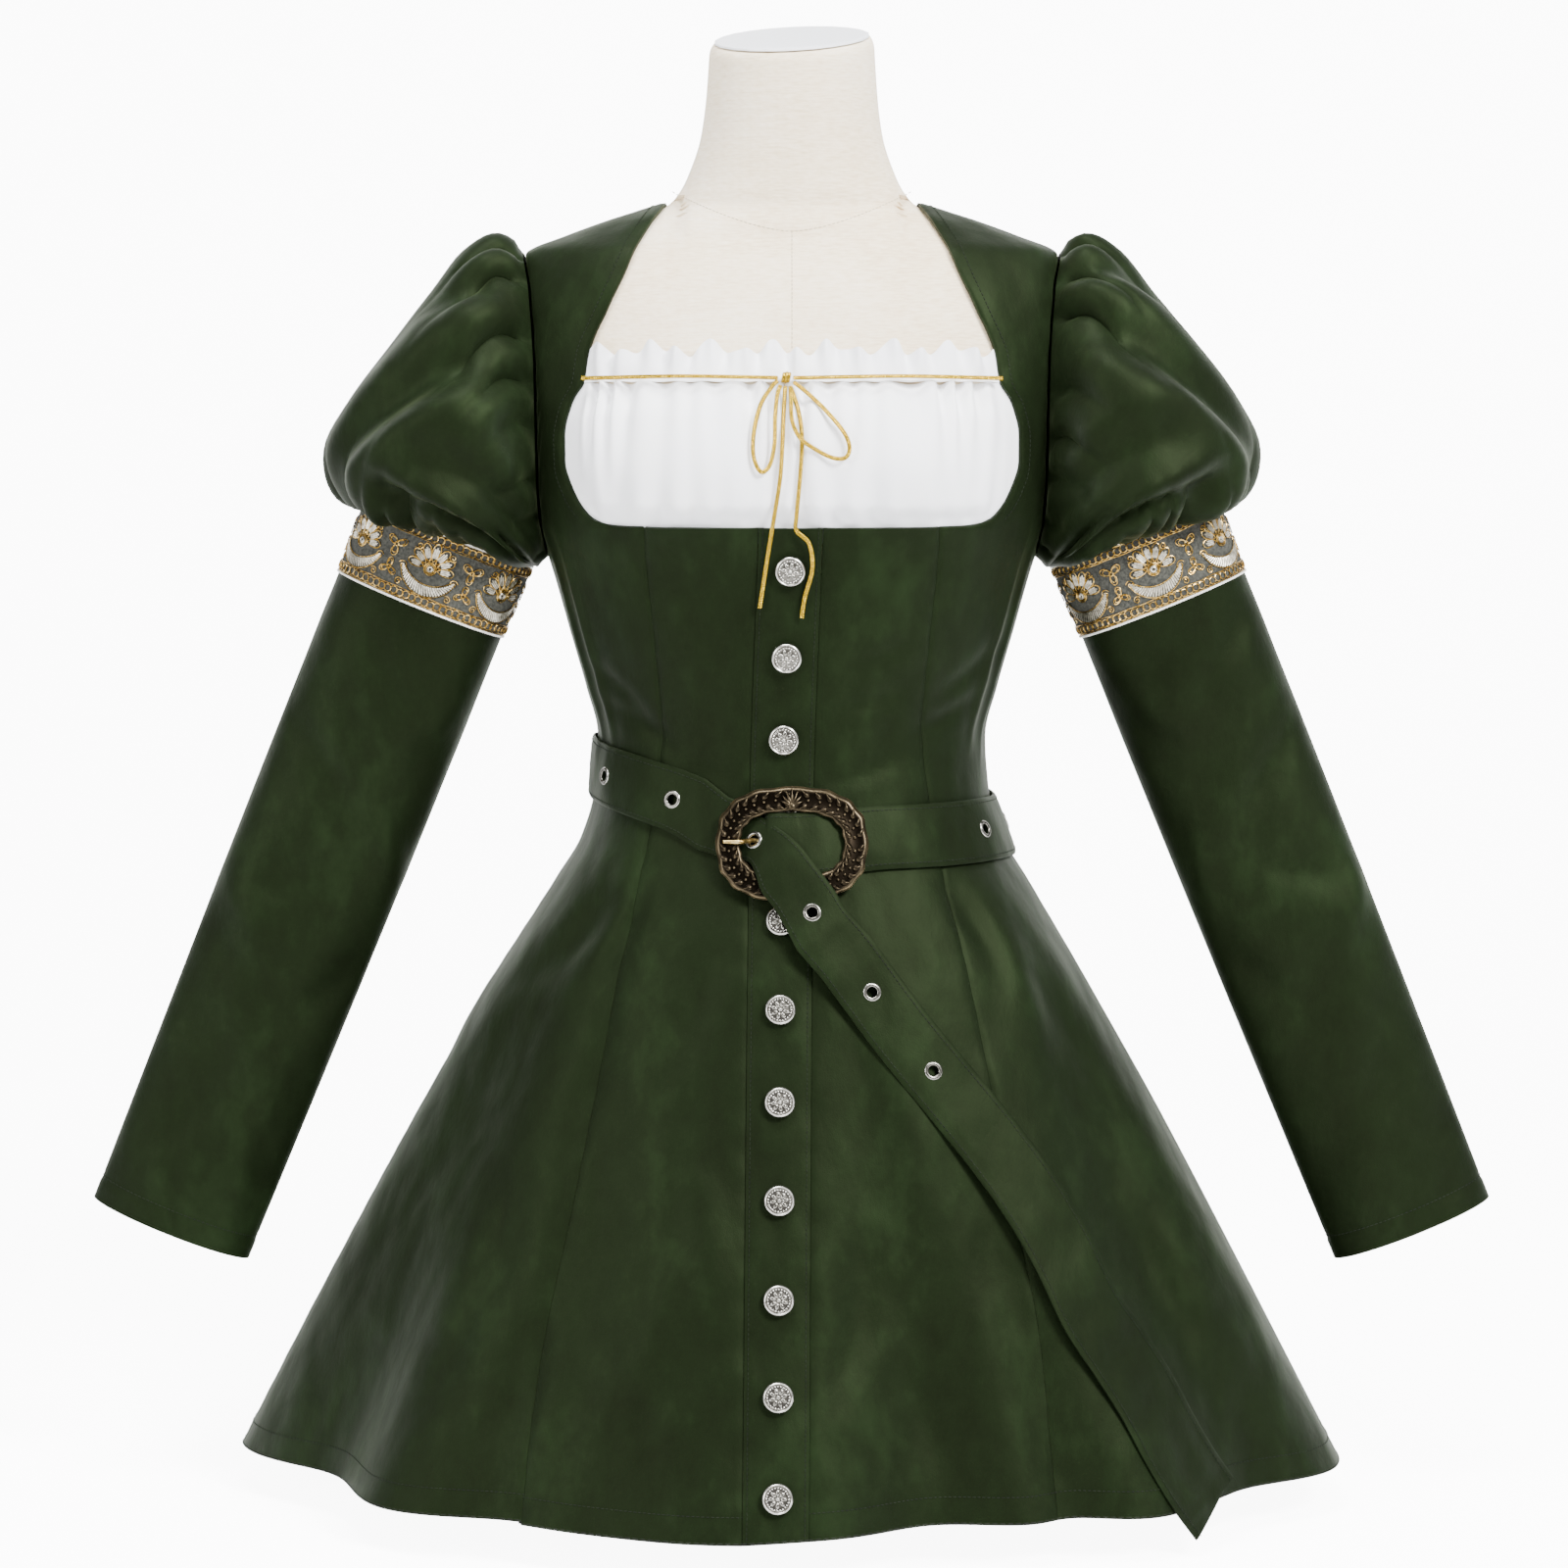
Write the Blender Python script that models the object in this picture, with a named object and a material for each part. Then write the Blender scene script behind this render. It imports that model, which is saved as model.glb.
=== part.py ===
"""Velvet mini gown with puff sleeves, gathered chemise insert and belt, on a limbless dress form.

Metres, +Z up, the front faces -Y. Heights in the tables are measured from the top face of the
base plate; place() lifts each finished mesh by the plate's thickness, so the floor is at zero.
Angles run round the body from the front middle, positive towards +X.
"""
import math

import bmesh
import bpy
from mathutils import Vector

# Driving dimensions
BASE_THICK = 0.008
BASE_RADIUS = 0.120
POLE_RADIUS = 0.0125
WALL = 0.0020
SLEEVE_WALL = 0.0016
FINE_WALL = 0.0012
SEAM_GAP = 0.0003
SEAM_ANGLE = 0.0012
HEM_Z = 0.018
UNDERARM_Z = 0.603
SHOULDER_END_Z = 0.799
UNDERBUST_Z = 0.6250
STRING_Z = 0.7165
PLACKET_HALF = 0.020
PLACKET_PROUD = 0.0008
BUTTON_RADIUS = 0.0095
SHANK_GAP = 0.0007
BELT_HALF = 0.0195
BELT_THICK = 0.0020
BELT_LIFT = 0.0016
TIP_SLANT = 0.0060
EYELET_PITCH = 0.062
EYELET_HOLE = 0.0032
EYELET_RIM = 0.0058
EYELET_HIGH = 0.0009
SEAT_FREE = 0.0006
SEAT_IN_USE = 0.0016
BUCKLE_X = 0.0
BUCKLE_Z = 0.428
BUCKLE_HALF_WIDTH = 0.0465
BUCKLE_HALF_HEIGHT = 0.0340
BUCKLE_BAND = 0.0140
BUCKLE_THICK = 0.0045
BUCKLE_LIFT = 0.0005
BAR_DEPTH = 0.0018
BAR_RADIUS = 0.0016
PRONG_RADIUS = 0.0011
BAND_HEIGHT = 0.0500
SLEEVE_LEAN = math.radians(22.2)
SLEEVE_LENGTH = 0.4944
PUFF_OVER_BAND = 0.0018
SLEEVE_Y = 0.004
CORD_RADIUS = 0.0014
CORD_STEP = 0.0082
KNOT = Vector((-0.0040, 0.0, STRING_Z))

VELVET = ("velvet", (0.016, 0.036, 0.012), 0.75, 0.0)
COTTON = ("chemise_cotton", (0.86, 0.87, 0.90), 0.8, 0.0)
LINEN = ("form_linen", (0.78, 0.72, 0.62), 0.85, 0.0)
WHITE_CAP = ("form_cap_white", (0.85, 0.86, 0.89), 0.5, 0.0)
WHITE_STEEL = ("white_steel", (0.82, 0.82, 0.82), 0.4, 0.0)
TRIM = ("metallic_trim", (0.30, 0.24, 0.15), 0.5, 0.6)
GOLD = ("gold_braid", (0.72, 0.50, 0.12), 0.35, 0.9)
SILVER = ("silver_metal", (0.75, 0.74, 0.70), 0.28, 1.0)
BRASS = ("antique_brass", (0.26, 0.19, 0.10), 0.42, 1.0)


class Table:
    """Rows of numbers under named columns, read at any place by a smooth curve with no overshoot."""

    def __init__(self, names, rows):
        self.key = [row[0] for row in rows]
        self.columns = {}
        for index, name in enumerate(names[1:], start=1):
            values = [row[index] for row in rows]
            self.columns[name] = (values, self.slopes(values))

    def slopes(self, values):
        """The slope at each row: the harmonic mean of its two sides, or nothing at a peak."""
        steps = [
            (values[i + 1] - values[i]) / (self.key[i + 1] - self.key[i])
            for i in range(len(values) - 1)
        ]
        inner = [
            2 * a * b / (a + b) if a * b > 0 else 0.0
            for a, b in zip(steps, steps[1:])
        ]
        return [steps[0]] + inner + [steps[-1]]

    def __call__(self, name, at):
        values, slopes = self.columns[name]
        at = min(max(at, self.key[0]), self.key[-1])
        i = 0
        while i < len(self.key) - 2 and at > self.key[i + 1]:
            i += 1
        width = self.key[i + 1] - self.key[i]
        t = (at - self.key[i]) / width
        return (
            values[i] * (1 + 2 * t) * (1 - t) ** 2
            + slopes[i] * width * t * (1 - t) ** 2
            + values[i + 1] * t * t * (3 - 2 * t)
            + slopes[i + 1] * width * t * t * (t - 1)
        )


# Sections of the gown's outer face, a row for each height
BODY = Table(
    ("z", "half_width", "front", "back", "centre", "power"),
    [
        (0.000, 0.3680, 0.246, 0.250, 0.000, 2.00),
        (0.130, 0.3025, 0.205, 0.212, 0.000, 2.00),
        (0.261, 0.2330, 0.163, 0.168, 0.000, 2.05),
        (0.326, 0.1955, 0.142, 0.146, 0.000, 2.10),
        (0.391, 0.1560, 0.121, 0.124, 0.002, 2.15),
        (0.423, 0.1370, 0.109, 0.111, 0.004, 2.20),
        (0.455, 0.1285, 0.101, 0.101, 0.005, 2.20),
        (0.487, 0.1265, 0.099, 0.098, 0.006, 2.20),
        (0.519, 0.1340, 0.101, 0.099, 0.006, 2.20),
        (0.551, 0.1430, 0.104, 0.102, 0.006, 2.25),
        (0.603, 0.1580, 0.108, 0.107, 0.008, 2.30),
        (0.640, 0.1720, 0.110, 0.109, 0.010, 2.30),
        (0.680, 0.1800, 0.108, 0.110, 0.012, 2.30),
        (0.720, 0.1830, 0.102, 0.107, 0.013, 2.30),
        (0.760, 0.1830, 0.092, 0.099, 0.014, 2.30),
        (0.785, 0.1790, 0.081, 0.087, 0.014, 2.30),
        (0.799, 0.1730, 0.072, 0.074, 0.014, 2.30),
        (0.810, 0.1470, 0.062, 0.062, 0.014, 2.30),
        (0.820, 0.1195, 0.051, 0.051, 0.013, 2.30),
        (0.826, 0.1005, 0.043, 0.043, 0.012, 2.30),
        (0.8325, 0.0820, 0.036, 0.036, 0.011, 2.30),
        (0.8400, 0.0700, 0.032, 0.032, 0.010, 2.30),
    ],
)

# Sections of the dress form, its hips inside the skirt and its bare neck above the cloth
FORM = Table(
    ("z", "half_width", "front", "back", "centre", "power"),
    [
        (0.268, 0.1500, 0.105, 0.108, 0.000, 2.10),
        (0.310, 0.1570, 0.112, 0.116, 0.000, 2.10),
        (0.360, 0.1500, 0.108, 0.112, 0.001, 2.15),
        (0.391, 0.1380, 0.105, 0.107, 0.003, 2.20),
        (0.423, 0.1260, 0.099, 0.100, 0.004, 2.20),
        (0.455, 0.1200, 0.093, 0.093, 0.005, 2.20),
        (0.487, 0.1185, 0.091, 0.090, 0.006, 2.20),
        (0.519, 0.1250, 0.093, 0.091, 0.006, 2.20),
        (0.551, 0.1340, 0.096, 0.095, 0.006, 2.25),
        (0.603, 0.1500, 0.101, 0.101, 0.008, 2.30),
        (0.640, 0.1650, 0.103, 0.103, 0.010, 2.30),
        (0.680, 0.1740, 0.102, 0.105, 0.012, 2.30),
        (0.720, 0.1780, 0.097, 0.103, 0.013, 2.30),
        (0.757, 0.1780, 0.088, 0.095, 0.014, 2.30),
        (0.782, 0.1750, 0.077, 0.083, 0.014, 2.30),
        (0.796, 0.1690, 0.068, 0.070, 0.014, 2.25),
        (0.807, 0.1455, 0.062, 0.061, 0.014, 2.10),
        (0.817, 0.1180, 0.058, 0.056, 0.012, 1.85),
        (0.823, 0.0990, 0.055, 0.053, 0.011, 1.80),
        (0.829, 0.0810, 0.053, 0.051, 0.010, 1.90),
        (0.837, 0.0730, 0.052, 0.051, 0.008, 2.00),
        (0.848, 0.0670, 0.051, 0.051, 0.006, 2.00),
        (0.873, 0.0585, 0.050, 0.050, 0.002, 2.00),
        (0.898, 0.0550, 0.049, 0.049, -0.002, 2.00),
        (0.9345, 0.0525, 0.048, 0.048, -0.005, 2.00),
    ],
)

# How far out the armhole seam stands at each height
ARMHOLE = Table(
    ("z", "x"),
    [
        (0.603, 0.1580),
        (0.640, 0.1625),
        (0.720, 0.1640),
        (0.775, 0.1680),
        (0.799, 0.1730),
    ],
)

# Princess seams: distance from the middle, front and back
SEAMS = Table(
    ("z", "front", "back"),
    [
        (0.000, 0.172, 0.163),
        (0.120, 0.156, 0.140),
        (0.217, 0.135, 0.115),
        (0.353, 0.109, 0.085),
        (0.391, 0.100, 0.075),
        (0.436, 0.090, 0.064),
        (0.500, 0.083, 0.056),
        (0.551, 0.087, 0.060),
        (0.625, 0.093, 0.068),
        (0.720, 0.093, 0.074),
        (0.798, 0.093, 0.070),
    ],
)

# The placket runs a little to the gown's right as it falls
PLACKET = Table(("z", "shift"), [(0.0, -0.0100), (0.45, -0.0065), (0.63, -0.0005)])

# Neckline beside the straps, from the cup corner up to the neck, with the armhole height level with it
STRAP = Table(
    ("step", "x", "z", "side_z"),
    [
        (0, 0.0930, 0.6250, 0.6000),
        (1, 0.1130, 0.6258, 0.6045),
        (2, 0.1255, 0.6290, 0.6110),
        (3, 0.1330, 0.6360, 0.6200),
        (4, 0.1400, 0.6480, 0.6330),
        (5, 0.1455, 0.6660, 0.6520),
        (6, 0.1455, 0.6830, 0.6720),
        (7, 0.1400, 0.7040, 0.6950),
        (8, 0.1320, 0.7170, 0.7110),
        (9, 0.1290, 0.7350, 0.7290),
        (10, 0.1170, 0.7625, 0.7540),
        (11, 0.1060, 0.7860, 0.7760),
        (12, 0.0975, 0.8060, 0.7900),
        (13, 0.0895, 0.8200, 0.7965),
        (14, 0.0820, 0.8325, 0.7990),
    ],
)

# Back neckline and princess seam above the underarm, in the same way
BACK_STRAP = Table(
    ("step", "x", "z", "side_z"),
    [
        (0, 0.0665, 0.6120, 0.6000),
        (1, 0.0685, 0.6280, 0.6060),
        (2, 0.0700, 0.6450, 0.6180),
        (3, 0.0720, 0.6700, 0.6430),
        (4, 0.0738, 0.7000, 0.6780),
        (5, 0.0745, 0.7300, 0.7120),
        (6, 0.0735, 0.7600, 0.7450),
        (7, 0.0720, 0.7820, 0.7700),
        (8, 0.0705, 0.7980, 0.7870),
        (9, 0.0720, 0.8080, 0.7935),
        (10, 0.0745, 0.8170, 0.7970),
        (11, 0.0780, 0.8255, 0.7985),
        (12, 0.0820, 0.8325, 0.7990),
    ],
)

# Heights of the panels' rows below the underarm
LOWER_ROWS = (
    0.065, 0.115, 0.165, 0.215, 0.265, 0.315, 0.355, 0.391,
    0.417, 0.440, 0.465, 0.492, 0.535, 0.590,
)

# Folds: angle at the hem and at the top in degrees, height in or out, half width in degrees, top
FOLDS = (
    (-88, -84, 0.006, 9, 0.40),
    (-64, -60, -0.030, 13, 0.40),
    (-44, -42, 0.008, 8, 0.42),
    (-30, -27, -0.006, 6, 0.36),
    (-10, -9, 0.006, 8, 0.38),
    (15, 12, -0.024, 8, 0.36),
    (30, 26, -0.012, 4, 0.30),
    (38, 33, 0.009, 6, 0.40),
    (56, 50, -0.012, 8, 0.40),
    (72, 64, 0.010, 9, 0.41),
    (96, 92, -0.012, 9, 0.40),
    (116, 110, 0.014, 10, 0.41),
    (138, 132, -0.018, 9, 0.40),
    (158, 152, 0.014, 9, 0.42),
    (178, 178, -0.020, 10, 0.41),
    (-158, -152, 0.014, 9, 0.42),
    (-136, -130, -0.016, 9, 0.40),
    (-112, -108, 0.012, 10, 0.41),
)

# Short soft pleats beside the cup corners: angle, height, half width in degrees, lower and upper end
GATHERS = (
    (-73, 0.0022, 2.2, 0.47, 0.63),
    (-64, 0.0024, 2.2, 0.48, 0.63),
    (64, 0.0024, 2.2, 0.48, 0.63),
    (73, 0.0022, 2.2, 0.47, 0.63),
)


def signed_power(value, power):
    return math.copysign(abs(value) ** power, value)


def smoothstep(t):
    t = min(max(t, 0.0), 1.0)
    return t * t * (3 - 2 * t)


def lerp(a, b, t):
    return a + (b - a) * t


def section(table, angle, z):
    """A point of a rounded section, by its angle from the front middle."""
    power = 2 / table("power", z)
    side = math.sin(angle)
    ahead = math.cos(angle)
    depth = table("front", z) if ahead > 0 else table("back", z)
    return Vector((
        table("half_width", z) * signed_power(side, power),
        table("centre", z) - depth * signed_power(ahead, power),
        z,
    ))


def angle_at(x, z):
    """The angle at which the gown's front or back stands this far from the middle."""
    share = min(abs(x) / BODY("half_width", z), 1.0)
    return math.copysign(math.asin(share ** (BODY("power", z) / 2)), x)


def bust(x, z):
    """Two soft cups and a lower fullness between them."""
    cups = 0.022 * math.exp(-((abs(x) - 0.070) / 0.052) ** 2 - ((z - 0.668) / 0.046) ** 2)
    return cups + 0.006 * math.exp(-(x / 0.04) ** 2 - ((z - 0.668) / 0.05) ** 2)


def fold_height(angle, z):
    """How far the folds move the cloth out at this place."""
    total = 0.0
    degrees = math.degrees(angle)
    for hem, top, height, half, top_z in FOLDS:
        fall = (top_z - z) / (top_z - HEM_Z)
        if fall > 0:
            off = degrees - lerp(top, hem, fall)
            off = (off + 180) % 360 - 180
            total += height * min(fall, 1) ** 1.2 * math.exp(-((off / half) ** 2))
    for centre, height, half, low, high in GATHERS:
        along = (z - low) / (high - low)
        if 0 < along < 1:
            off = (degrees - centre + 180) % 360 - 180
            total += height * math.sin(math.pi * along) ** 0.7 * math.exp(-((off / half) ** 2))
    return total


def surface(angle, z):
    """The gown's outer face, folds and cups included."""
    point = section(BODY, angle, z)
    point.y -= bust(point.x, z) * max(math.cos(angle), 0)
    return point + fold_height(angle, z) * Vector((math.sin(angle), -math.cos(angle), 0))


def outward(angle, z, step=0.004):
    across = surface(angle + step, z) - surface(angle - step, z)
    up = surface(angle, z + step / 2) - surface(angle, z - step / 2)
    return across.cross(up).normalized()


def cloth(angle, z, out=0.0):
    return surface(angle, z) + out * outward(angle, z)


def front_point(x, z, out=0.0):
    return cloth(angle_at(x, z), z, out)


def hem_z(angle):
    """The hem rises a little over the valleys of its folds."""
    return HEM_Z - 0.30 * min(fold_height(angle, HEM_Z), 0.010)


def armhole_angle(z):
    """The angle of the armhole seam, or of the side and shoulder seams below and above it."""
    if z <= UNDERARM_Z or z >= SHOULDER_END_Z:
        return math.pi / 2
    return angle_at(min(ARMHOLE("x", z), BODY("half_width", z)), z)


def material_of(spec):
    name, colour, roughness, metallic = spec
    made = bpy.data.materials.get(name)
    if made is None:
        made = bpy.data.materials.new(name)
        made.use_nodes = True
        shader = made.node_tree.nodes["Principled BSDF"]
        shader.inputs["Base Color"].default_value = (*colour, 1)
        shader.inputs["Roughness"].default_value = roughness
        shader.inputs["Metallic"].default_value = metallic
        made.diffuse_color = (*colour, 1)
    return made


def place(name, mesh_or_curve, finish):
    """One named object for one piece, standing on the base plate's top face."""
    mesh_or_curve.materials.append(material_of(finish))
    made = bpy.data.objects.new(name, mesh_or_curve)
    made.location.z = BASE_THICK
    bpy.context.collection.objects.link(made)
    return made


def mesh_from(name, points, faces, finish):
    """A closed mesh with its faces turned outwards, as an object."""
    mesh = bpy.data.meshes.new(name)
    mesh.from_pydata([tuple(p) for p in points], [], faces)
    work = bmesh.new()
    work.from_mesh(mesh)
    bmesh.ops.recalc_face_normals(work, faces=work.faces)
    if work.calc_volume(signed=True) < 0:
        bmesh.ops.reverse_faces(work, faces=work.faces)
    work.to_mesh(mesh)
    work.free()
    mesh.shade_smooth()
    mesh.set_sharp_from_angle(angle=math.radians(50))
    return place(name, mesh, finish)


def grid_normals(grid, closed):
    """An outward normal for each point of a grid of rows, from its neighbours."""
    rows, columns = len(grid), len(grid[0])
    normals = []
    for i in range(rows):
        below, above = grid[max(i - 1, 0)], grid[min(i + 1, rows - 1)]
        line = []
        for j in range(columns):
            left = grid[i][j - 1] if closed or j else grid[i][0]
            right = grid[i][(j + 1) % columns] if closed or j < columns - 1 else grid[i][j]
            line.append((right - left).cross(above[j] - below[j]).normalized())
        normals.append(line)
    return normals


def shell(name, outer, inner, finish, closed=False):
    """A cloth wall between two grids of rows, open strip or closed tube."""
    rows, columns = len(outer), len(outer[0])
    points = [p for line in outer for p in line] + [p for line in inner for p in line]
    half = rows * columns
    spans = columns if closed else columns - 1

    def at(i, j, side):
        return i * columns + j % columns + side * half

    faces = []
    for i in range(rows - 1):
        for j in range(spans):
            faces.append((at(i, j, 0), at(i, j + 1, 0), at(i + 1, j + 1, 0), at(i + 1, j, 0)))
            faces.append((at(i, j, 1), at(i + 1, j, 1), at(i + 1, j + 1, 1), at(i, j + 1, 1)))
    for i in (0, rows - 1):
        for j in range(spans):
            faces.append((at(i, j, 0), at(i, j, 1), at(i, j + 1, 1), at(i, j + 1, 0)))
    if not closed:
        for j in (0, columns - 1):
            for i in range(rows - 1):
                faces.append((at(i, j, 0), at(i + 1, j, 0), at(i + 1, j, 1), at(i, j, 1)))
    return mesh_from(name, points, faces, finish)


def solid_rings(name, rings, finish):
    """A solid between closed rings of equal counts, capped flat at both ends."""
    count = len(rings[0])
    points = [p for ring in rings for p in ring]
    faces = []
    for i in range(len(rings) - 1):
        for j in range(count):
            k = (j + 1) % count
            faces.append((i * count + j, i * count + k, (i + 1) * count + k, (i + 1) * count + j))
    faces.append(tuple(range(count)))
    faces.append(tuple(range((len(rings) - 1) * count, len(rings) * count)))
    return mesh_from(name, points, faces, finish)


def turned(name, profile, segments, origin, axis, finish, hollow=False):
    """A round piece from radius and height pairs, turned about an axis that leaves its seat."""
    turn = axis.to_track_quat("Z", "Y")
    rings = [
        [
            origin + turn @ Vector((r * math.cos(a), r * math.sin(a), h))
            for a in (2 * math.pi * i / segments for i in range(segments))
        ]
        for r, h in profile
    ]
    if not hollow:
        return solid_rings(name, rings, finish)
    points = [p for ring in rings for p in ring]
    faces = []
    for i in range(len(rings)):
        low, high = i * segments, (i + 1) % len(rings) * segments
        for j in range(segments):
            k = (j + 1) % segments
            faces.append((low + j, low + k, high + k, high + j))
    return mesh_from(name, points, faces, finish)


# The gown's panels
def panel(name, edges, columns, finish, out=0.0, wall=WALL):
    """A panel between two edges: each row gives an angle and a height at either side."""
    outer, inner = [], []
    for (angle_a, z_a), (angle_b, z_b) in edges:
        marks = [
            (lerp(angle_a, angle_b, j / columns), lerp(z_a, z_b, j / columns))
            for j in range(columns + 1)
        ]
        outer.append([cloth(angle, z, out) for angle, z in marks])
        inner.append([cloth(angle, z, out - wall) for angle, z in marks])
    return shell(name, outer, inner, finish)


def gap_angle(x, z):
    """The angle that half a seam gap takes up at this place."""
    return SEAM_GAP / 2 * abs(angle_at(x + 0.002, z) - angle_at(x, z)) / 0.002


def seam_mark(x, z, side):
    """A place on a front seam, drawn back from it by half the gap towards a side."""
    return angle_at(x, z) + side * gap_angle(x, z), z


def back_mark(x, z, side):
    angle, z = seam_mark(x, z, side)
    return math.pi - angle, z


def hem_row(angle_a, angle_b):
    return (angle_a, hem_z(angle_a)), (angle_b, hem_z(angle_b))


def front_rows(left_x, right_x):
    """Rows of a front piece between two lines, from the hem to the underbust edge."""
    low = hem_row(
        seam_mark(left_x(HEM_Z), HEM_Z, 1)[0], seam_mark(right_x(HEM_Z), HEM_Z, -1)[0]
    )
    heights = LOWER_ROWS + (UNDERBUST_Z,)
    return [low] + [
        (seam_mark(left_x(z), z, 1), seam_mark(right_x(z), z, -1)) for z in heights
    ]


def mirrored(rows):
    return [((-b[0], b[1]), (-a[0], a[1])) for a, b in rows]


def side_rows(strap, column, mark, inner_side, outer_angle):
    """Rows of a side piece: its princess seam and neckline, and its side seam and armhole."""
    low_angle = mark(SEAMS(column, HEM_Z), HEM_Z, inner_side)[0]
    rows = [hem_row(low_angle, outer_angle(HEM_Z))]
    for z in LOWER_ROWS:
        rows.append((mark(SEAMS(column, z), z, inner_side), (outer_angle(z), z)))
    for step in strap.key:
        x, z, side_z = (strap(name, step) for name in ("x", "z", "side_z"))
        angle = mark(min(x, BODY("half_width", z)), z, inner_side)[0]
        if step == strap.key[-1]:
            angle = outer_angle(z)
        rows.append(((angle, z), (outer_angle(side_z), side_z)))
    return rows


def front_outer(z):
    return armhole_angle(z) - SEAM_ANGLE


def back_outer(z):
    return math.pi - armhole_angle(z) + SEAM_ANGLE


def build_panels():
    def placket_left(z):
        return PLACKET("shift", z) - PLACKET_HALF

    def placket_right(z):
        return PLACKET("shift", z) + PLACKET_HALF

    def seam_left(z):
        return -SEAMS("front", z)

    def seam_right(z):
        return SEAMS("front", z)

    panel("placket", front_rows(placket_left, placket_right), 2, VELVET,
          out=PLACKET_PROUD, wall=WALL + PLACKET_PROUD)
    panel("front_left", front_rows(seam_left, placket_left), 4, VELVET)
    panel("front_right", front_rows(placket_right, seam_right), 4, VELVET)
    fronts = side_rows(STRAP, "front", seam_mark, 1, front_outer)
    panel("side_front_right", fronts, 6, VELVET)
    panel("side_front_left", mirrored(fronts), 6, VELVET)
    backs = side_rows(BACK_STRAP, "back", back_mark, 1, back_outer)
    panel("side_back_right", backs, 6, VELVET)
    panel("side_back_left", mirrored(backs), 6, VELVET)
    build_back()


def build_back():
    """The centre back, cut on the fold, with a shallow scoop at the neck."""
    heights = LOWER_ROWS + (0.625, 0.665, 0.700, 0.730, 0.760, 0.782, 0.798)
    columns = 8
    outer, inner = [], []
    for z in (HEM_Z,) + heights:
        first = math.pi - seam_mark(SEAMS("back", z), z, -1)[0]
        marks = []
        for j in range(columns + 1):
            angle = lerp(first, 2 * math.pi - first, j / columns)
            dip = 0.012 * (1 - (2 * j / columns - 1) ** 2) * smoothstep((z - 0.70) / 0.098)
            height = hem_z(angle) if z == HEM_Z else z - dip
            marks.append((angle, height))
        outer.append([cloth(angle, height) for angle, height in marks])
        inner.append([cloth(angle, height, -WALL) for angle, height in marks])
    shell("back", outer, inner, VELVET)


# Sleeves
SLEEVE_COLUMNS = 32
AXIS = Vector((math.sin(SLEEVE_LEAN), 0, -math.cos(SLEEVE_LEAN)))
ACROSS = Vector((math.cos(SLEEVE_LEAN), 0, math.sin(SLEEVE_LEAN)))
BAND_TOP = Vector((0.2225, SLEEVE_Y, 0.6190))

# Rings of the puff: outer and inner point seen from the front, half depth, and its gathers
PUFF = (
    # outer x, outer z, inner x, inner z, half depth, head pleats, band pleats
    (0.1900, 0.8090, 0.1620, 0.6000, 0.0650, 0.0030, 0.0000),
    (0.2095, 0.8000, 0.1640, 0.5975, 0.0790, 0.0034, 0.0000),
    (0.2330, 0.7745, 0.1660, 0.5960, 0.0880, 0.0026, 0.0000),
    (0.2605, 0.7390, 0.1675, 0.5955, 0.0930, 0.0014, 0.0006),
    (0.2860, 0.7040, 0.1685, 0.5965, 0.0920, 0.0004, 0.0018),
    (0.3005, 0.6760, 0.1690, 0.5985, 0.0850, 0.0000, 0.0034),
    (0.3000, 0.6560, 0.1690, 0.6010, 0.0750, 0.0000, 0.0044),
    (0.2925, 0.6420, 0.1688, 0.6025, 0.0620, 0.0000, 0.0036),
    (0.2825, 0.6385, 0.1685, 0.6015, 0.0500, 0.0000, 0.0018),
)

# Sections of the sleeve below the puff: distance down the sleeve, half width, half depth
SLEEVE = Table(
    ("down", "half_width", "half_depth"),
    [
        (0.000, 0.0575, 0.0410),
        (0.050, 0.0568, 0.0380),
        (0.150, 0.0570, 0.0310),
        (0.300, 0.0562, 0.0270),
        (0.494, 0.0544, 0.0250),
    ],
)


def armhole_point(turn):
    """The seam where the sleeve is set in: turn 0 at the shoulder end, half a circle at the underarm."""
    middle = (UNDERARM_Z + SHOULDER_END_Z) / 2
    z = middle + (SHOULDER_END_Z - UNDERARM_Z) / 2 * math.cos(turn)
    angle = armhole_angle(z)
    return cloth(angle if math.sin(turn) >= 0 else math.pi - angle, z)


def sleeve_ring(down, turn, out=0.0):
    half_width = SLEEVE("half_width", down) + out
    half_depth = SLEEVE("half_depth", down) + out
    return (
        BAND_TOP + AXIS * down
        + ACROSS * half_width * math.cos(turn)
        - Vector((0, half_depth * math.sin(turn), 0))
    )


def puff_ring(row, turn):
    outer_x, outer_z, inner_x, inner_z, depth, head, band = row
    outer = Vector((outer_x, SLEEVE_Y, outer_z))
    inner = Vector((inner_x, SLEEVE_Y, inner_z))
    middle, reach = (outer + inner) / 2, (outer - inner) / 2
    swell = 1.0
    swell += head / 0.06 * math.cos(14 * turn) * max(math.cos(turn / 2), 0) ** 2
    swell += band / 0.06 * math.cos(10 * turn + 0.8)
    return (
        middle + reach * math.cos(turn) * swell
        - Vector((0, depth * math.sin(turn) * swell, 0))
    )


def turns_of(count):
    return [2 * math.pi * j / count for j in range(count)]


def flipped(grid):
    return [[Vector((-p.x, p.y, p.z)) for p in line] for line in grid]


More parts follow.
